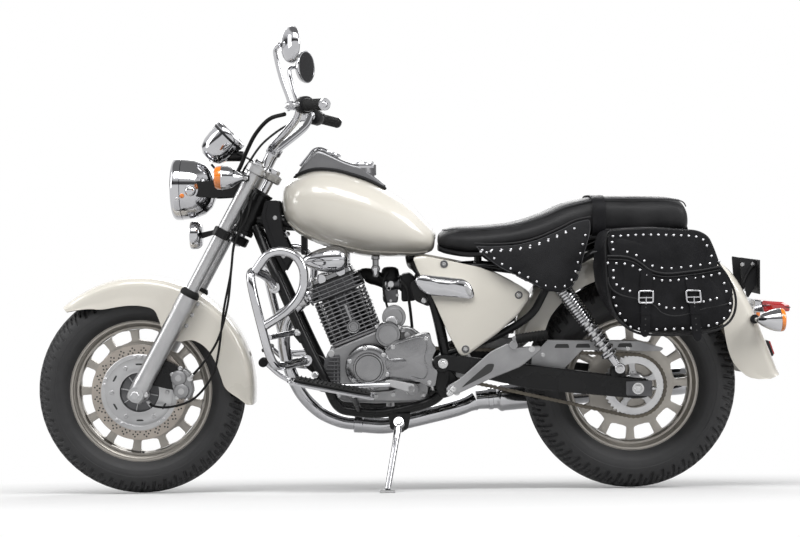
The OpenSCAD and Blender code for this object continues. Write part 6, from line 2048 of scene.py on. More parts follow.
    @staticmethod
    def _guards() -> list[tuple[Shape, Finish]]:
        """The chrome guards: a hoop down each side and a loop over it, with clamps."""
        hoop = [(1023.6, 110, 602.4), (1046, 150, 636), (1074, 214, 652), (1076, 244, 622), (1050, 250, 506),
                (1024, 240, 410),
                (1000, 200, 388), (960, 150, 392), (932, 120, 396)]
        loop = [(1066, 230, 654), (1030, 240, 698), (990, 240, 708), (952, 240, 692), (932, 240, 652), (938, 240, 596),
                (976, 240, 546), (1046, 246, 500)]
        pipes = tube(spline(hoop, 9), 12.4, 24) + tube(spline(loop, 9), 12.4, 24)
        brace = tube(spline([(1030, 222, 470), (1000, 170, 472), (966, 112, 474)], 6), 8, 16)
        clamp = rounds([(1023.6, 112, 602.4), (934, 122, 396)], (0, 1, 0), [(-10, 15), (-8, 16.5), (8, 16.5), (10, 15)],
                       32)
        heads = bolts([(1023.6, 122, 602.4), (934, 132, 396), (962, 120, 474)], (0, 1, 0), 7, 5)
        return [((pipes + brace + clamp).paired(), CHROME), (heads.paired(), STEEL)]

    @staticmethod
    def _teardrop() -> list[tuple[Shape, Finish]]:
        """The bright teardrop covers beside the engine, under the tank."""
        n, m = 40, 40
        t = np.linspace(0.02, 0.98, n)[:, None]
        a = (2 * np.pi * np.arange(m) / m)[None]
        width = np.sin(np.pi * t ** 0.62) ** 0.62
        x = 812 + 138 * t[..., 0][:, None] + 0 * a
        c, s = np.cos(a), np.sin(a)
        y = 96 + 40 * width * np.sign(c) * np.abs(c) ** 0.9
        z = 676 + 6 * (1 - t) + width * 38 * np.sign(s) * np.abs(s) ** 0.9 + 0 * y
        y = np.maximum(y, 73)
        shell = grid(np.stack([x, y, z], -1), wrap_columns=True, caps=True)
        seam = tube(spline([(826, 131, 680), (860, 137, 678), (900, 138, 676), (934, 128, 676)], 6), 1.6, 8, domed=True)
        bracket = prism(rounded([(936, 692), (936, 772), (952, 772), (952, 692)], 4, 3), 22.3, 28, 1) + across(944, 700,
                                                                                                               26, 74,
                                                                                                               6)
        return [((shell + seam).paired(), CHROME), (bracket.paired(), BLACK_PAINT)]

    @staticmethod
    def _boards() -> list[tuple[Shape, Finish]]:
        """The footboards: a chrome tray, a ribbed rubber mat, and the arms under it."""
        tray = prism(rounded([(971, 346), (968, 354), (743, 310), (741, 301), (900, 331)], 5, 3), 200, 300, 3)
        rim = tube(spline([(741, 202, 308), (800, 200.5, 318), (880, 200.5, 334), (968, 203, 352), (973, 250, 353),
                           (968, 297, 352),
                           (880, 299.5, 334), (800, 299.5, 318), (741, 298, 308)], 5), 3.6, 10)
        mat = prism(rounded([(962, 354), (958, 361), (752, 319), (752, 313)], 2.5, 3), 206, 294, 2)
        ribs = merged([rod((x, 212, 320.4 + (x - 752) * 0.2043), (x, 288, 320.4 + (x - 752) * 0.2043), 2.2,
                           10) for x in range(764, 956, 12)])
        arms = rod((880, 114.5, 322), (880, 204, 328), 10) + rod((790, 110.5, 252), (800, 210, 304), 9)
        heads = bolts([(880, 206, 323), (800, 208, 300)], (0, 0, -1), 6, 4)
        return [((tray + rim).paired(), CHROME), ((mat + ribs).paired(), RUBBER), (arms.paired(), BLACK_PAINT),
                (heads.paired(), STEEL)]

    @staticmethod
    def _pedals() -> list[tuple[Shape, Finish]]:
        """The shift lever with its linkage and rubber, and the brake pedal."""
        lever = tube(spline([(700, 166, 328), (830, 176, 328), (975, 178, 344), (1050, 184, 399)], 8), 6.8, 14,
                     flat=1.0)
        crank = prism(rounded([(628, 306), (652, 306), (712, 326), (716, 338), (700, 342), (630, 328)], 8, 4), 150, 160,
                      2.5)
        knob = lathe([(182, 7), (183, 12), (219, 12), (222, 10), (222, 0)], (1050, 0, 399), (0, 1, 0), 32)
        grooves = merged([lathe([(y, 12), (y + 1, 12.9), (y + 2.4, 12.9), (y + 3.4, 12)], (1050, 0, 399), (0, 1, 0), 32,
                                closed=False,
                                caps=False) for y in range(186, 216, 6)])
        joint = lathe([(172, 9), (184, 9), (186, 7.4), (186, 0)], (975, 0, 344), (0, 1, 0), 28)
        shaft = across(640, 316, 64.4, 160, 9)
        pedal_shaft = across(888, 354, -136, -114.5, 9)
        pedal = tube(spline([(888, -128, 354), (960, -150, 350), (1010, -186, 360), (1060, -196, 400)], 8), 7.8, 14)
        pad = block((0, -70, 0), (34, 0, 12), 3).turned((0, 1, 0), 20).moved((1058, -192, 400))
        ribs = merged([block((4 + k * 7, -66, 11), (7 + k * 7, -4, 14), 0.8) for k in range(4)]).turned((0, 1, 0),
                                                                                                        20).moved((1058,
                                                                                                                   -192,
                                                                                                                   400))
        return [(lever + joint + pedal + pedal_shaft, CHROME), (crank + shaft, SATIN),
                (knob + grooves + pad + ribs, RUBBER)]

    @staticmethod
    def _pegs() -> list[tuple[Shape, Finish]]:
        """The bright brackets that carry the passenger's folding pegs."""
        outline = rounded([(540, 298), (538, 322), (505, 340), (416, 417), (365, 442), (356, 428), (276, 433),
                           (272, 422), (332, 374),
                           (417, 341), (509, 300)], 9, 4)
        plate = prism(outline, 157.3, 166.3, 2.2)
        # Painted shade: the bracket's window is not cut; a thin near-black plate stands in for the shade inside it.
        window = prism(rounded([(500, 316), (486, 330), (424, 384), (404, 384), (412, 362), (440, 346)], 8, 4), 165.6,
                       167.0, 0.3)
        peg = lathe([(0, 9), (2, 13), (86, 13), (92, 10), (92, 0)], (346, 166.3, 452), (-0.99, 0.0, 0.139), 28)
        rings = merged([lathe([(h, 13), (h + 1, 14.2), (h + 4, 14.2), (h + 5, 13)], (346, 166.3, 452),
                              (-0.99, 0, 0.139), 28, caps=False)
                        for h in range(12, 82, 9)])
        clevis = across(352, 436, 161.3, 176, 12) + across(346, 452, 158, 176, 9)
        heads = bolts([(522, 166.3, 314), (532, 166.3, 302), (300, 166.3, 424)], (0, 1, 0), 7, 5)
        return [((plate + clevis).paired(), CAST), (window.paired(), MARKS_AND_OPENING_SHADE), ((peg + rings).paired(), RUBBER),
                (heads.paired(), STEEL)]

    @staticmethod
    def _chain_guard() -> list[tuple[Shape, Finish]]:
        """The chain guard: a pointed side whose slot openings are thin near-black plates of painted shade, and a top
        flange.
        """
        side = prism(rounded([(300, 336), (294, 395), (248, 443), (-10, 437), (-83, 416), (-75, 407), (-19, 407),
                              (66, 412),
                              (150, 412), (225, 336)], 5, 3), 92, 96, 1)
        # Painted shade: each slot opening is a thin near-black plate standing in for the shade inside it.
        slot_shade = merged([prism(rounded([(x, 419), (x + 44, 419.5), (x + 38, 431), (x + 4, 431)], 4, 3), 95.4, 96.4, 0.2)
                        for x in (6, 66, 126, 186)])
        flange = prism([(248, 443), (-10, 437), (-10, 433.5), (248, 439.5)], 71.2, 93, 0.8)
        stay = across(262, 346, 95, 124.6, 7)
        heads = bolts([(262, 96, 400), (20, 96, 415)], (0, 1, 0), 5, 4)
        return [(side + flange + stay, CAST), (slot_shade, MARKS_AND_OPENING_SHADE), (heads, STEEL)]

    @staticmethod
    def _chain() -> list[tuple[Shape, Finish]]:
        """The roller chain: links along the belt round both sprockets, and the drive sprocket.

        The belt's straight runs touch both circles at the angle whose cosine is the difference of
        their radii over their distance.
        """
        a, b, ra, rb = array([0, 307.62]), array([625.0, 392.0]), 89.0, 32.0
        d = b - a
        turn, spread = math.degrees(math.atan2(d[1], d[0])), math.degrees(math.acos((ra - rb) / np.linalg.norm(d)))
        belt = np.concatenate([arc(a, ra, turn + spread, turn + 360 - spread, 60),
                               arc(b, rb, turn - spread, turn + spread, 30)])
        belt = np.concatenate([belt, belt[:1]])
        length = float(np.linalg.norm(np.diff(belt, axis=0), axis=1).sum())
        count = int(round(length / 12.7 / 2)) * 2
        places = spaced(belt, length / count)[:-1]
        along = unit(np.roll(places, -1, 0) - places)
        gap = float(np.linalg.norm(np.roll(places, -1, 0) - places, axis=1).mean())
        rows = np.stack([np.stack([along[:, 0], 0 * along[:, 0], along[:, 1]], -1), np.tile([0.0, 1, 0], (count, 1)),
                         np.stack([-along[:, 1], 0 * along[:, 0], along[:, 0]], -1)], 1)
        origin = np.stack([places[:, 0], np.full(count, 80.0), places[:, 1]], -1)
        outline = np.concatenate([arc((0, 0), 5.4, 90, 270, 6), [(gap / 2, -3.9)], arc((gap, 0), 5.4, -90, 90, 6),
                                  [(gap / 2, 3.9)]])
        outer = prism(outline, 4.4, 5.6, 0.3).paired()
        inner = prism(outline, 3.0, 4.2, 0.3).paired()
        roller = lathe([(-3.2, 4), (3.2, 4)], (0, 0, 0), (0, 1, 0), 12) + lathe([(-6, 2.1), (6, 2.1)], (0, 0, 0),
                                                                                (0, 1, 0), 10)
        links = outer.copied(rows[::2], origin[::2]) + inner.copied(rows[1::2], origin[1::2]) + roller.copied(rows,
                                                                                                              origin)
        cog = lathe([(76.4, 12), (76.4, 27.4), (83.6, 27.4), (83.6, 12)], (625, 0, 392), (0, 1, 0), 48, closed=True)
        shaft = across(625, 392, 64.4, 84, 12)
        return [(links, CHAIN), (cog, CHAIN), (shaft, STEEL)]

    @staticmethod
    def _drum() -> list[tuple[Shape, Finish]]:
        """The rear drum's back plate with its lever, on the right."""
        c = (0, 0, 307.6)
        plate = lathe([(-71.6, 72), (-72.6, 74), (-77, 74), (-79.4, 70), (-79.4, 46), (-82, 42), (-84, 26), (-90, 22),
                       (-96, 15.2),
                       (-124.5, 15)], c, (0, 1, 0), 64)
        ribs = block((26, -82.5, -2), (68, -78, 2), 1).around(c, 8, 22.5)
        cam = across(44, 267.6, -88, -77, 12)
        lever = prism(rounded([(30, 258), (38, 278), (56, 276), (62, 258), (66, 216), (58, 208), (50, 214)], 6, 4),
                      -87.4, -81.6, 1.5)
        link = rod((58, -92, 216), (58, -79, 216), 4) + rod((58, -90, 216), (180, -96, 238), 3)
        return [(plate + ribs + cam, CAST), (lever, CHROME), (link, STEEL)]

    def _stand(self) -> list[tuple[Shape, Finish]]:
        """The side stand: an eye on its pin, a tapered leg with a spring hook, and a foot flat on the floor."""
        parking = Parking.read()
        pivot, axis = self._stand_pin()
        c, s = math.cos(parking.lean), math.sin(parking.lean)
        y = 236.0
        toe = array([709.0, y, (6 - parking.lift + y * s) / c])
        eye = lathe([(-8.8, 6.8), (-8.8, 13.6), (-7.6, 15), (7.6, 15), (8.8, 13.6), (8.8, 6.8)], pivot, axis, 48,
                    closed=True)
        along = unit(toe - pivot)
        length = float(np.linalg.norm(toe - pivot))
        leg = lathe([(12, 9.5), (20, 11), (60, 9.2), (length - 12, 8.6), (length - 3, 8.4)], pivot, along, 28)
        hook = rod(pivot + along * 46 + [0, 6, 0], pivot + along * 46 + [0, 19, 0], 3.4)
        flat = array([[1.0, 0, 0], [0, c, s], [0, -s, c]])
        foot = slab(21.5, 21.5, -6, 1.6, 9, 1.6).laid(flat, toe)
        return [(eye + leg, CHROME), (foot + hook, STEEL)]

    @staticmethod
    def _stand_pin() -> tuple[Points, Points]:
        """The stand's pivot and the direction of its pin, on the upright machine."""
        joint = {j["name"]: j for j in frame["joints"]}["stand_fold"]
        parking = Parking.read()
        return parking.upright(array(joint["pos_m"]) / MM), parking.upright(array(joint["axis"]), False)


# ---- Front end ----

def at_fork(shape: Shape) -> Shape:
    """Carries a shape from the fork's own frame: X ahead of the legs, Z up them from the axle."""
    return shape.laid(array([FORK_AHEAD, [0, 1, 0], FORK_UP]), fork(0, 0, 0))


@dataclass
class FrontEnd:
    """Everything that steers but the wheel and its mudguard.

    Attributes:
        low: height of the lower yoke, along the leg.
        top: height of the upper yoke, along the leg.
        sliders: height of the sliders, along the leg.
    """

    low: float = 507.0
    top: float = 712.0
    sliders: float = 331.0

    def build(self, shop: Workshop) -> None:
        """Makes all of the front end's pieces."""
        shop.piece("yokes", self._yokes(), Body.STEERING, "satin_alloy", ["fork_yokes"], 35)
        shop.piece("stanchions", self._stanchions(), Body.STEERING, "chrome", ["fork_tubes"], 35)
        shop.piece("fork_lowers", self._lowers(), Body.STEERING, "satin_alloy", ["fork_sliders"], 35)
        shop.piece("bars", self._bars(), Body.STEERING, "chrome", ["handlebar"], 35)
        shop.piece("grip_rubbers", self._grips(), Body.STEERING, "rubber", ["grips"], 35)
        shop.piece("hand_controls", self._controls(), Body.STEERING, "black_plastic", ["switch_gear"], 35)
        shop.piece("rear_view_mirrors", self._mirrors(), Body.STEERING, "chrome", ["mirrors"], 35)
        shop.piece("head_light", self._lamp(), Body.STEERING, "chrome", ["headlamp"], 35)
        shop.piece("horn_unit", self._horn(), Body.STEERING, "chrome", ["horn"], 35)
        shop.piece("speedo", self._speedo(), Body.STEERING, "chrome", ["speedometer"], 35)
        shop.piece("front_signals", self._signals(), Body.STEERING, "chrome", ["front_indicators"], 35)
        shop.piece("front_brake", self._caliper(), Body.STEERING, "cast_alloy", ["brake_caliper"], 35)
        shop.piece("cables", self._cables(), Body.STEERING, "rubber", ["control_cables"], 35)

    def _yokes(self) -> list[tuple[Shape, Finish]]:
        """Both yokes with pinch bolts, the stem with its nut, and the bar's risers."""
        def outline() -> Points:
            """The yoke seen along the fork, from its right half to its left."""
            right = arc((0, -LEG_Y), 28, 180, 330, 10)
            left = arc((0, LEG_Y), 28, 30, 180, 10)
            stem = arc((-42, 0), 29.5, 118, 242, 12)
            return np.concatenate([stem, [(-36, -46)], right, [(20, -62), (19, 0), (20, 62)], left, [(-36, 46)]])
        def plate(low: float, high: float, bevel: float) -> Shape:
            """The yoke's plate between two heights."""
            flat = outline()
            rings = [(inset(flat, bevel), low), (flat, low + bevel), (flat, high - bevel), (inset(flat, bevel), high)]
            points = np.stack([np.column_stack([q, np.full(len(q), z)]) for q, z in rings])
            return grid(points, wrap_columns=True, caps=True)
        lower = plate(self.low, self.low + 26, 3)
        upper = plate(self.top, self.top + 26, 3.5)
        stem = rod((-42, 0, self.low - 4), (-42, 0, self.top + 27), 12.9)
        nut = lathe([(0, 17), (9, 17), (11.4, 14.6), (12, 10), (10.6, 9), (10.6, 0)], (-42, 0, self.top + 26),
                    (0, 0, 1), 6)
        risers = merged([lathe([(0, 15.5), (3, 13.6), (34, 13), (43, 14)], (-14, y, self.top + 26), (0, 0, 1),
                               32) for y in (-50, 50)])
        pinch = bolts([(-24, y, self.low + 13) for y in (-LEG_Y, LEG_Y)], (-1, 0, 0), 7, 7)
        pinch_top = bolts([(-24, y, self.top + 13) for y in (-LEG_Y, LEG_Y)], (-1, 0, 0), 7, 7)
        # Painted shade: the pinch gaps beside the legs are thin near-black blocks standing in for the shade inside
        # them.
        slit_shade = merged([block((-30, y - 1.1, z - 0.4), (-20, y + 1.1, z + 26.4), 0.3)
                        for y in (-LEG_Y, LEG_Y) for z in (self.low, self.top)])
        caps = lathe([(-6, 9), (-6, 0)], (-42, 0, self.low), (0, 0, 1), 24)
        return [(at_fork(lower + caps), BLACK_PAINT), (at_fork(upper), SATIN), (at_fork(stem + risers), CHROME),
                (at_fork(nut), CHROME), (at_fork(pinch + pinch_top), STEEL), (at_fork(slit_shade), MARKS_AND_OPENING_SHADE)]

    def _stanchions(self) -> list[tuple[Shape, Finish]]:
        """The inner tubes with their top caps."""
        top = self.top + 34
        leg = lathe([(self.sliders - 88, 18.4), (top - 6, 18.4)], (0, LEG_Y, 0), (0, 0, 1), 40)
        cap = lathe([(top - 8, 17.4), (top - 6, 18.6), (top - 1.5, 18.6), (top, 17), (top, 11)], (0, LEG_Y, 0),
                    (0, 0, 1), 40)
        hexagon = lathe([(top - 1, 12), (top + 6, 12), (top + 8, 10.4), (top + 8, 0)], (0, LEG_Y, 0), (0, 0, 1), 6)
        return [(at_fork(leg.paired()), SATIN), (at_fork((cap + hexagon).paired()), CHROME)]

    def _lowers(self) -> list[tuple[Shape, Finish]]:
        """The sliders: a waisted foot round the axle, a ring, a dust cap, and the axle with its spacers."""
        h = self.sliders
        body = lathe([(-22, 21), (-20, 23), (-8, 25), (20, 27), (38, 27.6), (46, 26.6), (60, 26.4), (h - 62, 26.4),
                      (h - 56, 27.8),
                      (h - 14, 27.8)], (0, LEG_Y, 0), (0, 0, 1), 56)
        cap = lathe([(h - 15, 27), (h - 13, 28), (h - 3, 28), (h, 26), (h + 5, 23), (h + 6, 18.9)], (0, LEG_Y, 0),
                    (0, 0, 1), 56)
        ring = lathe([(h - 60, 28), (h - 58, 28.2), (h - 56, 28)], (0, LEG_Y, 0), (0, 0, 1), 56)
        foot = lathe([(-27.4, 17), (-26, 22), (26, 22), (27.4, 17)], (0, LEG_Y, 0), (0, 1, 0), 48)
        drain = bolts([(0, LEG_Y + 24, -10)], (0, 1, 0), 4.5, 4)
        lug = merged([lathe([(-10, 8), (-9, 9), (1, 9), (2, 8)], (0, 69, z), (0, -1, 0), 24) for z in (286,)])
        pinch = rod((-24, LEG_Y - 8, 12), (-24, LEG_Y + 14, 12), 6.6)
        pinch_head = bolts([(-24, LEG_Y + 14, 12)], (0, 1, 0), 6, 4.5)
        axle = across(WHEELBASE, FRONT_AXLE[2], -LEG_Y - 32, LEG_Y + 32, 7.9)
        spacer = across(WHEELBASE, FRONT_AXLE[2], 64.6, LEG_Y - 25, 14.6)
        drive = across(WHEELBASE, FRONT_AXLE[2], -LEG_Y + 25, -52.6, 14.6)
        nut = rounds([(WHEELBASE, LEG_Y + 26, FRONT_AXLE[2])], (0, 1, 0), [(0, 14), (1.6, 14), (1.8, 12.4), (11, 12.4),
                                                                           (12, 11), (12, 7.6), (14, 7), (14, 0)], 6)
        head = rounds([(WHEELBASE, -LEG_Y - 27, FRONT_AXLE[2])], (0, -1, 0),
                      [(0, 14), (1.6, 14), (1.8, 12), (8, 12), (9, 10.6), (9, 0)], 6)
        return [(at_fork((body + ring + foot + pinch + lug).paired()), SATIN), (at_fork(cap.paired()), RUBBER),
                (at_fork((drain + pinch_head).paired()), STEEL), (axle + nut + head, STEEL), (spacer, DARK_CAST),
                (drive, DARK_CAST)]

    @staticmethod
    def _grip_line() -> tuple[Points, Points, Points]:
        """The left grip's inner and outer ends and its direction."""
        a, b = array([915, 268, 1106]), array([862, 385, 1098])
        return a, b, unit(b - a)

    def _bars(self) -> list[tuple[Shape, Finish]]:
        """The handlebar, bent in one piece, in two clamps with bolts."""
        a, b, d = self._grip_line()
        half = [(1033, 0, 996), (1033, 58, 996), (1014, 100, 1012), (952, 182, 1070), a - 46 * d, a]
        left = spline(half, 9)
        left = np.concatenate([left, [b]])
        path = np.concatenate([(left * [1, -1, 1])[:0:-1], left])
        bar = tube(path, 10.9, 24, domed=True)
        clamps = merged([block((-30, y - 11, 781.4), (2, y + 11, 800), 4) for y in (-50, 50)])
        halves = merged([lathe([(-11, 14.6), (-10, 15.4), (10, 15.4), (11, 14.6)], (-14, y, 792), (0, 1, 0),
                               36) for y in (-50, 50)])
        heads = bolts([(x, y, 803) for y in (-50, 50) for x in (-26, -2)], (0, 0, 1), 5, 5)
        ends = merged([rod((x, y, 786), (x, y, 803.4), 5.4) for y in (-50, 50) for x in (-26, -2)])
        return [(bar, CHROME), (at_fork(clamps + halves + ends), CHROME), (at_fork(heads), STEEL)]

    def _grips(self) -> list[tuple[Shape, Finish]]:
        """The rubber grips with rings at both ends and a chrome end cap."""
        a, b, d = self._grip_line()
        length = float(np.linalg.norm(b - a))
        rows = [(3.4, 11.4), (3.4, 17.5), (7, 17.8), (8, 15.4)]
        ribs = [(h + k * 1.5, 15.2 + 0.8 * (k in (1, 2))) for h in np.arange(10, length - 8, 6.0) for k in range(4)]
        grip = lathe(rows + ribs + [(length - 1, 15.4), (length, 16.2), (length + 4, 16)], a, d, 40)
        flange = lathe([(3.6, 18.4), (6.4, 18.4), (6.4, 12), (3.6, 12)], a, d, 40, closed=True)
        cap = lathe([(length + 1, 16.3), (length + 5, 16.3), (length + 6, 15), (length + 6, 0)], a, d, 40)
        return [(grip.paired(), RUBBER), ((cap + flange).paired(), CHROME)]

    def _controls(self) -> list[tuple[Shape, Finish]]:
        """Switch housings, perches, levers with ball ends, and the brake's reservoir."""
        a, _, d = self._grip_line()
        house = lathe([(-36, 16), (-35, 21.6), (-31, 24), (-17, 24), (-16, 23.2), (-15, 24), (-2, 24), (2, 21.6),
                       (3, 16)], a, d, 44)
        rocker = merged([block((-5, -5, 22), (5, 5, 26.4), 1.2).laid(basis(d), a + h * d) for h in (-24, -10)])
        out = array([-1, 0, 0.35])
        keys = merged([rod(a + h * d + out * 20, a + h * d + out * 25.6, 4, 16) for h in (-26, -9)])
        screws = bolts([a - 30 * d + array([0, 0, -23]), a - 6 * d + array([0, 0, -23])], (0, 0, -1), 3, 2)
        perch = prism(rounded([(944, 1094), (944, 1118), (974, 1113), (980, 1104), (970, 1094)], 6, 4), 229, 247, 3)
        clamp = lathe([(-52, 13.8), (-51, 15), (-41, 15), (-40, 13.8)], a, d, 36)
        lever = [(968, 234, 1104), (967, 262, 1103.6), (966, 290, 1103), (957, 320, 1101.6), (942, 350, 1100),
                 (935, 374, 1099.4),
                 (932, 390, 1099)]
        path = spline(lever, 7)
        t = np.linspace(0, 1, len(path))
        blade = tube(path, 5.2 + 1.2 * (1 - t) - 1.4 * np.sin(np.pi * t) ** 2, 16, domed=True)
        ball = lathe([(-6, 0), (-5.4, 3.4), (-3, 5.4), (0, 6.1), (3, 5.4), (5.4, 3.4), (6, 0)], (932, 391.6, 1099),
                     (0, 1, 0), 24)
        pin = rod((968, 236, 1092), (968, 236, 1116), 4) + bolts([(968, 236, 1114)], (0, 0, 1), 5, 3)
        tank = slab(12.6, 19.5, 1121, 1139, 5, 1.4, (941, -242))
        lid = slab(13, 20, 1138.5, 1143, 5, 1.2, (941, -242))
        lid_screws = bolts([(941, -228, 1142.4), (941, -256, 1142.4)], (0, 0, 1), 2.4, 1)
        neck = block((934, -256, 1112), (950, -236, 1122), 2)
        return [((house + rocker).paired(), BLACK_PLASTIC), (keys.paired(), MARKS_AND_OPENING_SHADE), ((screws + pin).paired(), STEEL),
                ((perch + clamp + blade + ball).paired(), CHROME), (tank + neck, BLACK_PLASTIC), (lid, BLACK_PLASTIC),
                (lid_screws, STEEL)]

    @staticmethod
    def _mirrors() -> list[tuple[Shape, Finish]]:
        """Round mirrors on bent stems."""
        stem = tube(spline([(962, 238, 1110), (968, 239, 1130), (985, 244, 1180), (998, 250, 1236), (998, 262, 1258),
                            (984, 296, 1266)], 9), 6.4, 16)
        nut = lathe([(0, 9), (9, 9), (10, 8)], (961, 238, 1108), (0.2, 0, 1), 6)
        back = unit((1, 0.5, 0))
        centre = array([974, 309, 1266])
        shell = lathe([(0, 49.2), (1.4, 50), (6, 50), (14, 46), (20, 38), (25, 24), (27.4, 10), (28, 0)],
                      centre - 28 * back,
                      back, 72)
        rim = lathe([(0, 50), (-0.8, 49), (-0.4, 46.6), (1.0, 46)], centre - 28 * back, back, 72, caps=False)
        glass = lathe([(0.2, 46.6), (-0.3, 30), (-0.5, 0)], centre - 27.4 * back, back, 72)
        boss = lathe([(24, 11), (28, 10), (31, 7)], centre - 28 * back, back, 32)
        return [((stem + nut + shell + rim + boss).paired(), CHROME), (glass.paired(), MIRROR)]

    @staticmethod
    def _lamp() -> list[tuple[Shape, Finish]]:
        """The headlamp: bucket, seam, rim, glass over a reflector and a bulb, and its bracket arms."""
        o, axis = (1196, 0, 886), (1, 0, 0)
        bucket = lathe([(0, 0), (3, 30), (14, 55), (34, 74), (62, 85), (90, 88), (97, 88.6), (98, 87.4)], o, axis, 96)
        rim = lathe([(98, 87), (99, 90), (112, 90), (119, 88.6), (124, 84), (126, 79.6), (123, 77.6), (118, 77.4)], o,
                    axis, 96, caps=False)
        reflector = lathe([(118, 77.4), (104, 66), (90, 50), (78, 30), (72, 12), (72, 0)], o, axis, 72, caps=False)
        bulb = lathe([(72, 9), (86, 9), (94, 7), (98, 3), (98, 0)], o, axis, 24)
        lens = lathe([(121, 78.4), (127, 66), (131, 44), (133.6, 20), (134, 0)], o, axis, 72)
        screw = bolts([(1300, 84, 858)], (0, 1, -0.3), 5, 4)
        jewel = lathe([(0, 7), (4, 6.6), (6, 4), (6.6, 0)], (1286, 84.6, 866), (0, 1, -0.2), 24)
        boss = lathe([(0, 16), (4, 15.4), (9, 11), (11, 4), (11, 0)], (1262, 84, 880), (0, 1, 0), 36)
        arm = prism(rounded([(1274, 866), (1280, 886), (1274, 906), (1200, 908), (1110, 902), (1092, 880), (1110, 862),
                             (1200, 858)],
                            9, 4), 72, 78.2, 1.6)
        return [(bucket + rim + boss.paired(), CHROME), (reflector, MIRROR), (bulb, SATIN), (lens, GLASS),
                (screw.paired(), STEEL),
                (jewel.paired(), AMBER), (arm.paired(), BLACK_PAINT)]

    @staticmethod
    def _horn() -> list[tuple[Shape, Finish]]:
        """The chrome horn under the headlamp, on its spring bracket."""
        o, axis = (1240, 0, 752), (1, 0, 0)
        shell = lathe([(0, 22), (1, 30), (6, 36), (12, 40), (24, 41), (30, 41), (33.4, 39), (34, 36), (32, 34),
                       (30, 28), (32, 20),
                       (33, 12), (34, 8), (34, 0)], o, axis, 64)
        # Painted shade: the grille's openings are near-black blocks on the face standing in for the shade inside them.
        slot_shade = merged([block((-2, -1.6, 14), (2.6, 1.6, 26), 0.6).turned((1, 0, 0),
                                                                          30 * k).moved((1271.4, 0,
                                                                                         752)) for k in range(12)])
        line = [fork(20.3, 0, 507), (1242, 0, 742), (1242, 0, 760), fork(20.3, 0, 523)]
        bracket = prism([(p[0], p[2]) for p in line], -9, 9, 1)
        return [(shell, CHROME), (slot_shade, MARKS_AND_OPENING_SHADE), (bracket, BLACK_PAINT), (bolts([(1243, 0, 752)], (-1, 0, 0), 6, 4),
                                                                          STEEL)]

    @staticmethod
    def _speedo() -> list[tuple[Shape, Finish]]:
        """The speedometer: a cup, a dark band, a ring, and a face with marks but no figures."""
        o, axis = array([1222.0, 0, 975]), unit((-1, 0, 1))
        cup = lathe([(0, 0), (2, 22), (14, 38), (36, 46), (70, 49.6), (82, 50.4)], o, axis, 72)
        band = lathe([(81, 49), (82, 50.8), (88, 51.6), (89, 50)], o, axis, 72, closed=False)
        ring = lathe([(88, 50), (89, 52), (98, 52), (101, 50), (102, 46.6), (99, 45.4), (96, 45.2)], o, axis, 72,
                     caps=False)
        face = lathe([(95.4, 45.6), (95.4, 0)], o, axis, 64)
        turned = basis(axis)
        marks = []
        for k in range(25):
            angle = math.radians(-135 + 270 * k / 24)
            long_ = 7 if k % 4 == 0 else 4
            radial = math.cos(angle) * turned[0] + math.sin(angle) * turned[1]
            marks.append(rod(o + 96 * axis + radial * (41 - long_), o + 96 * axis + radial * 41, 0.7, 6, 0.1))
        needle = rod(o + 97.2 * axis, o + 97.2 * axis + 30 * turned[0], 1.0, 8, 0.2)
        hub = lathe([(95, 4), (98.4, 4), (99, 3), (99, 0)], o, axis, 24)
        pane = lathe([(99.2, 46), (100.6, 20), (101, 0)], o, axis, 48)
        step = block((-9, -21, 738.6), (80, 21, 744), 1.6)
        foot = rod(fork(58, 0, 741), o + 8 * axis, 15)
        return [(cup + ring, CHROME), (band, BLACK_PLASTIC), (face, DIAL), (merged(marks), SATIN), (needle, RED),
                (hub, BLACK_PLASTIC),
                (pane, GLASS), (at_fork(step) + foot, BLACK_PAINT)]

    @staticmethod
    def _signals() -> list[tuple[Shape, Finish]]:
        """Bullet indicators with amber lenses, facing ahead, on stalks at the fork."""
        o, axis = (1096, 188, 913), (1, 0, 0)
        shell = lathe([(0, 0), (3, 7), (12, 12), (24, 20), (34, 27), (46, 31.4), (62, 33), (63, 32)], o, axis, 56)
        lens = lathe([(62, 31.6), (63, 32.8), (76, 32), (81, 29), (84.6, 20), (86, 0)], o, axis, 56)
        ring = lathe([(60, 33), (61, 33.8), (63.4, 33.8), (64, 32)], o, axis, 56)
        stalk = rod((1134, 117, 913), (1134, 166, 913), 7.8)
        collar = lathe([(0, 13), (3, 12), (6, 9)], (1134, 120.6, 913), (0, 1, 0), 32)
        strap = block((1090, 116, 904), (1142, 120.6, 922), 2)
        screw = bolts([(1100, 120.4, 913)], (0, 1, 0), 5, 4)
        return [((shell + ring + stalk + collar).paired(), CHROME), (lens.paired(), AMBER),
                (strap.paired(), BLACK_PAINT),
                (screw.paired(), STEEL)]

    @staticmethod
    def _caliper() -> list[tuple[Shape, Finish]]:
        """The front brake's caliper across the disc, its black bracket, bolts and banjo."""
        centre = array(FRONT_AXLE)
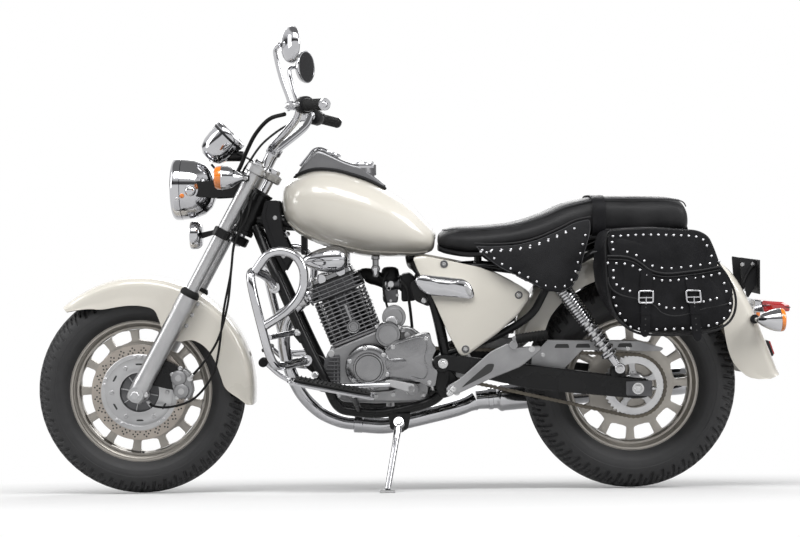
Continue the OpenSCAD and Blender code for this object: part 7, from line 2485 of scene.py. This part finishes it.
        # Two round pistons under one body; angles from straight ahead.
        def spot(angle: float, radius: float, y: float) -> Points:
            """A place about the front axle."""
            a = math.radians(angle)
            return centre + [radius * math.cos(a), y, radius * math.sin(a)]
        body = merged([lathe([(64.4, 21), (66, 23), (78, 23), (83, 21), (86, 15), (86, 0)], spot(a, 124, 0), (0, 1, 0),
                             44)
                       for a in (160, 178)])
        bridge = prism(rounded([tuple(spot(a, r, 0)[[0, 2]]) for a, r in ((152, 108), (152, 146), (160, 158),
                                                                          (178, 158), (188, 146),
                                                                       (188, 108), (170, 98))], 8, 4), 64.6, 78, 2.5)
        back = prism(rounded([tuple(spot(a, r, 0)[[0, 2]]) for a, r in ((152, 100), (152, 150), (160, 158), (178, 158),
                                                                        (188, 150),
                                                                     (188, 100), (170, 92))], 8, 4), 42, 48.4, 1.5)
        span = prism(rounded([tuple(spot(a, r, 0)[[0, 2]]) for a, r in ((158, 146), (158, 158), (180, 158),
                                                                        (180, 146))], 3, 3), 44, 72, 1.2)
        line = [fork(x, 0, z) for x, z in ((-14, 36), (-14, 120), (-60, 122), (-110, 112), (-122, 84), (-118, 68),
                                           (-70, 50))]
        bracket = prism(rounded([(p[0], p[2]) for p in line], 7, 4), 66, 76.6, 2)
        heads = bolts([spot(152, 112, 79), spot(187, 112, 79), spot(150, 140, 79), spot(190, 140, 79)], (0, 1, 0), 5.5,
                      5)
        caps = rounds([spot(160, 124, 86), spot(178, 124, 86)], (0, 1, 0), [(-0.6, 9), (0.8, 9), (1.4, 7.6), (1.4, 0)],
                      24)
        banjo = rounds([fork(-112, 84, 108)], (0, 1, 0), [(-5, 7.6), (3, 7.6), (3.6, 6), (3.6, 0)], 24)
        return [(body + bridge + span + back, CAST), (bracket, BLACK_PAINT), (heads, STEEL), (caps, SATIN),
                (banjo, STEEL)]

    @staticmethod
    def _cables() -> list[tuple[Shape, Finish]]:
        """The speedometer's cable, the bundle from the left bar, and the brake hose with its guides."""
        speedo = [(-34, 75, -8), (-60, 84, -10), (-105, 92, 14), (-150, 100, 66), (-166, 108, 146), (-150, 108, 218),
                  (-107, 104, 330), (-76, 92, 427), (-46, 84, 500), (-38, 82, 545), (-14, 60, 600), (48, 36, 645),
                  (128, 8, 676)]
        loom = [(-12, 212, 900), (24, 170, 868), (44, 120, 815), (48, 80, 758), (46, 56, 700), (58, 34, 655),
                (74, 20, 632)]
        hose = [(-112, 90, 112), (-126, 104, 170), (-132, 108, 250), (-110, 112, 350), (-74, 112, 440), (-46, 110, 515),
                (-40, 100, 600), (-12, 56, 662), (36, 0, 692), (42, -60, 738), (38, -110, 800), (14, -170, 868),
                (-14, -218, 908)]
        lines = [(at_fork(tube(spline(path, 8), radius, 12)), RUBBER) for path,
                 radius in ((speedo, 3.4), (loom, 5.8), (hose, 3.4))]
        ends = at_fork(rod((-34, 75, -8), (-44, 78, -9), 5) + rod((-112, 90, 112), (-115, 94, 126), 5.2))
        return lines + [(ends, STEEL)]


# ---- Studio ----

@dataclass
class Studio:
    """The floor, the lights and the camera.

    Attributes:
        parking: used to set the camera out from the upright machine.
        eye: the camera's place beside the upright machine, in millimetres.
        lens: focal length in millimetres on a 36 mm wide sensor.
    """

    parking: Parking
    eye: tuple[float, float, float] = (667.0, 4250.0, 804.0)
    lens: float = 65.7

    def camera(self) -> None:
        """Sets the camera level with the machine's own lean, looking at its right side from the left."""
        pitch, roll = math.radians(2.1), math.radians(-0.68)
        back = array([0, math.cos(pitch), math.sin(pitch)])
        right = array([-1.0, 0, 0])
        up = np.cross(back, right)
        right, up = (right * math.cos(roll) + up * math.sin(roll), up * math.cos(roll) - right * math.sin(roll))
        origin, *ends = self.parking.metres(np.stack([array(self.eye) + d for d in (0 * up, right, up, back)]))
        axes = unit(np.stack([e - origin for e in ends]))
        data = bpy.data.cameras.new("camera")
        data.lens, data.sensor_width = self.lens, 36.0
        eye = bpy.data.objects.new("camera", data)
        eye.matrix_world = Matrix.Translation(Vector(origin)) @ Matrix(axes.T.tolist()).to_4x4()
        bpy.context.scene.collection.objects.link(eye)
        bpy.context.scene.camera = eye

    def floor(self) -> None:
        """Makes a wide floor: pale under the machine and white far from it, with little light thrown up."""
        mesh = bpy.data.meshes.new("floor")
        a = np.linspace(0, 2 * np.pi, 96, endpoint=False)
        ring = np.stack([60 * np.cos(a), 60 * np.sin(a), np.full(96, -0.0005)], -1)
        mesh.from_pydata(ring.tolist(), [], [list(range(96))])
        floor = bpy.data.objects.new("floor", mesh)
        bpy.context.scene.collection.objects.link(floor)
        m = bpy.data.materials.new("floor")
        m.use_nodes = True
        nodes, links = m.node_tree.nodes, m.node_tree.links
        paint = nodes["Principled BSDF"]
        paint.inputs["Roughness"].default_value = 0.9
        white = nodes.new("ShaderNodeEmission")
        place = nodes.new("ShaderNodeTexCoord").outputs["Object"]
        length = nodes.new("ShaderNodeVectorMath")
        length.operation = "LENGTH"
        links.new(place, length.inputs[0])
        far = self._between(nodes, links, length.outputs["Value"], 0.9, 2.4)
        paint.inputs["Base Color"].default_value = (0.76, 0.76, 0.76, 1)
        dark = nodes.new("ShaderNodeBsdfDiffuse")
        dark.inputs["Color"].default_value = (0.2, 0.2, 0.2, 1)
        near, whole = nodes.new("ShaderNodeMixShader"), nodes.new("ShaderNodeMixShader")
        links.new(far, near.inputs["Fac"])
        links.new(paint.outputs["BSDF"], near.inputs[1])
        links.new(white.outputs["Emission"], near.inputs[2])
        links.new(self._seen(nodes, links), whole.inputs["Fac"])
        links.new(dark.outputs["BSDF"], whole.inputs[1])
        links.new(near.outputs["Shader"], whole.inputs[2])
        links.new(whole.outputs["Shader"], nodes["Material Output"].inputs["Surface"])
        mesh.materials.append(m)

    @staticmethod
    def _between(nodes: bpy.types.Nodes, links: bpy.types.NodeLinks, value: bpy.types.NodeSocket, start: float,
                 end: float) -> bpy.types.NodeSocket:
        """Returns a socket that goes smoothly from 0 to 1 as a value goes from start to end."""
        ramp = nodes.new("ShaderNodeMapRange")
        ramp.interpolation_type = "SMOOTHSTEP"
        ramp.inputs["From Min"].default_value, ramp.inputs["From Max"].default_value = start, end
        links.new(value, ramp.inputs["Value"])
        return ramp.outputs["Result"]

    @staticmethod
    def _seen(nodes: bpy.types.Nodes, links: bpy.types.NodeLinks) -> bpy.types.NodeSocket:
        """Returns a socket that is 1 for rays that see the surroundings: from the eye, off metal or through glass."""
        path = nodes.new("ShaderNodeLightPath")
        last = path.outputs["Is Camera Ray"]
        for kind in ("Is Glossy Ray", "Is Transmission Ray"):
            most = nodes.new("ShaderNodeMath")
            most.operation = "MAXIMUM"
            links.new(last, most.inputs[0])
            links.new(path.outputs[kind], most.inputs[1])
            last = most.outputs["Value"]
        return last

    def world(self) -> None:
        """Makes a room: white behind the machine and low down all round, dark under a bright band before it."""
        world = bpy.data.worlds.new("studio")
        bpy.context.scene.world = world
        world.use_nodes = True
        nodes, links = world.node_tree.nodes, world.node_tree.links
        soft = nodes["Background"]
        place = nodes.new("ShaderNodeTexCoord")
        split = nodes.new("ShaderNodeSeparateXYZ")
        links.new(place.outputs["Generated"], split.inputs["Vector"])
        ramp = nodes.new("ShaderNodeValToRGB")
        stops = ((0.0, 1.0), (0.10, 1.0), (0.16, 0.06), (0.30, 0.10), (0.42, 0.85), (0.66, 1.0), (0.8, 0.25))
        while len(ramp.color_ramp.elements) < len(stops):
            ramp.color_ramp.elements.new(0.5)
        for stop, (height, grey) in zip(ramp.color_ramp.elements, stops):
            stop.position, stop.color = height, (grey, grey, grey * 1.01, 1)
        links.new(split.outputs["Z"], ramp.inputs["Fac"])
        links.new(ramp.outputs["Color"], soft.inputs["Color"])
        soft.inputs["Strength"].default_value = 0.45
        room = nodes.new("ShaderNodeMix")
        room.data_type = "RGBA"
        links.new(self._between(nodes, links, split.outputs["Y"], -0.5, -0.88), room.inputs["Factor"])
        links.new(ramp.outputs["Color"], room.inputs["A"])
        room.inputs["B"].default_value = (1, 1, 1, 1)
        shown = nodes.new("ShaderNodeBackground")
        links.new(room.outputs["Result"], shown.inputs["Color"])
        mix = nodes.new("ShaderNodeMixShader")
        links.new(self._seen(nodes, links), mix.inputs["Fac"])
        links.new(soft.outputs["Background"], mix.inputs[1])
        links.new(shown.outputs["Background"], mix.inputs[2])
        links.new(mix.outputs["Shader"], nodes["World Output"].inputs["Surface"])

    def lamp(self, name: str, place: Sequence[float], target: Sequence[float], size: tuple[float, float],
             watts: float) -> None:
        """Adds a soft rectangular lamp that faces a target."""
        data = bpy.data.lights.new(name, "AREA")
        data.shape, data.size, data.size_y, data.energy = "RECTANGLE", *size, watts
        lamp = bpy.data.objects.new(name, data)
        lamp.location = place
        lamp.rotation_euler = (Vector(target) - Vector(place)).to_track_quat("-Z", "Y").to_euler()
        bpy.context.scene.collection.objects.link(lamp)

    def build(self) -> None:
        """Sets up the whole studio."""
        self.camera()
        self.floor()
        self.world()
        self.lamp("key", (0.3, 2.6, 3.4), (0, 0, 0.5), (3.6, 1.6), 140)
        self.lamp("fill", (-2.8, 1.6, 1.9), (0, 0, 0.5), (1.2, 1.6), 52)
        self.lamp("front", (3.2, 0.6, 1.8), (0, 0, 0.6), (1.2, 1.8), 34)
        self.lamp("back", (0.0, -3.2, 2.6), (0, 0, 0.5), (3.2, 1.0), 60)
        bpy.context.scene.view_settings.view_transform = "Standard"


def main() -> None:
    """Builds the machine and its studio."""
    logging.basicConfig(level=logging.INFO, format="%(message)s")
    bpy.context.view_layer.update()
    parking = Parking.read()
    log.info("lean %.2f degrees", math.degrees(parking.lean))
    Studio(parking).build()
    shop = Workshop(parking)
    upholstery = Upholstery(parking)
    for part in (FrontWheel(), RearWheel(), Tank(), SidePanels(), Fenders(), Engine(), Chassis(), FrontEnd()):
        part.build(shop)
    for part in (Seat(), Saddlebags()):
        part.build(shop, upholstery)


if __name__ == "__main__":
    main()
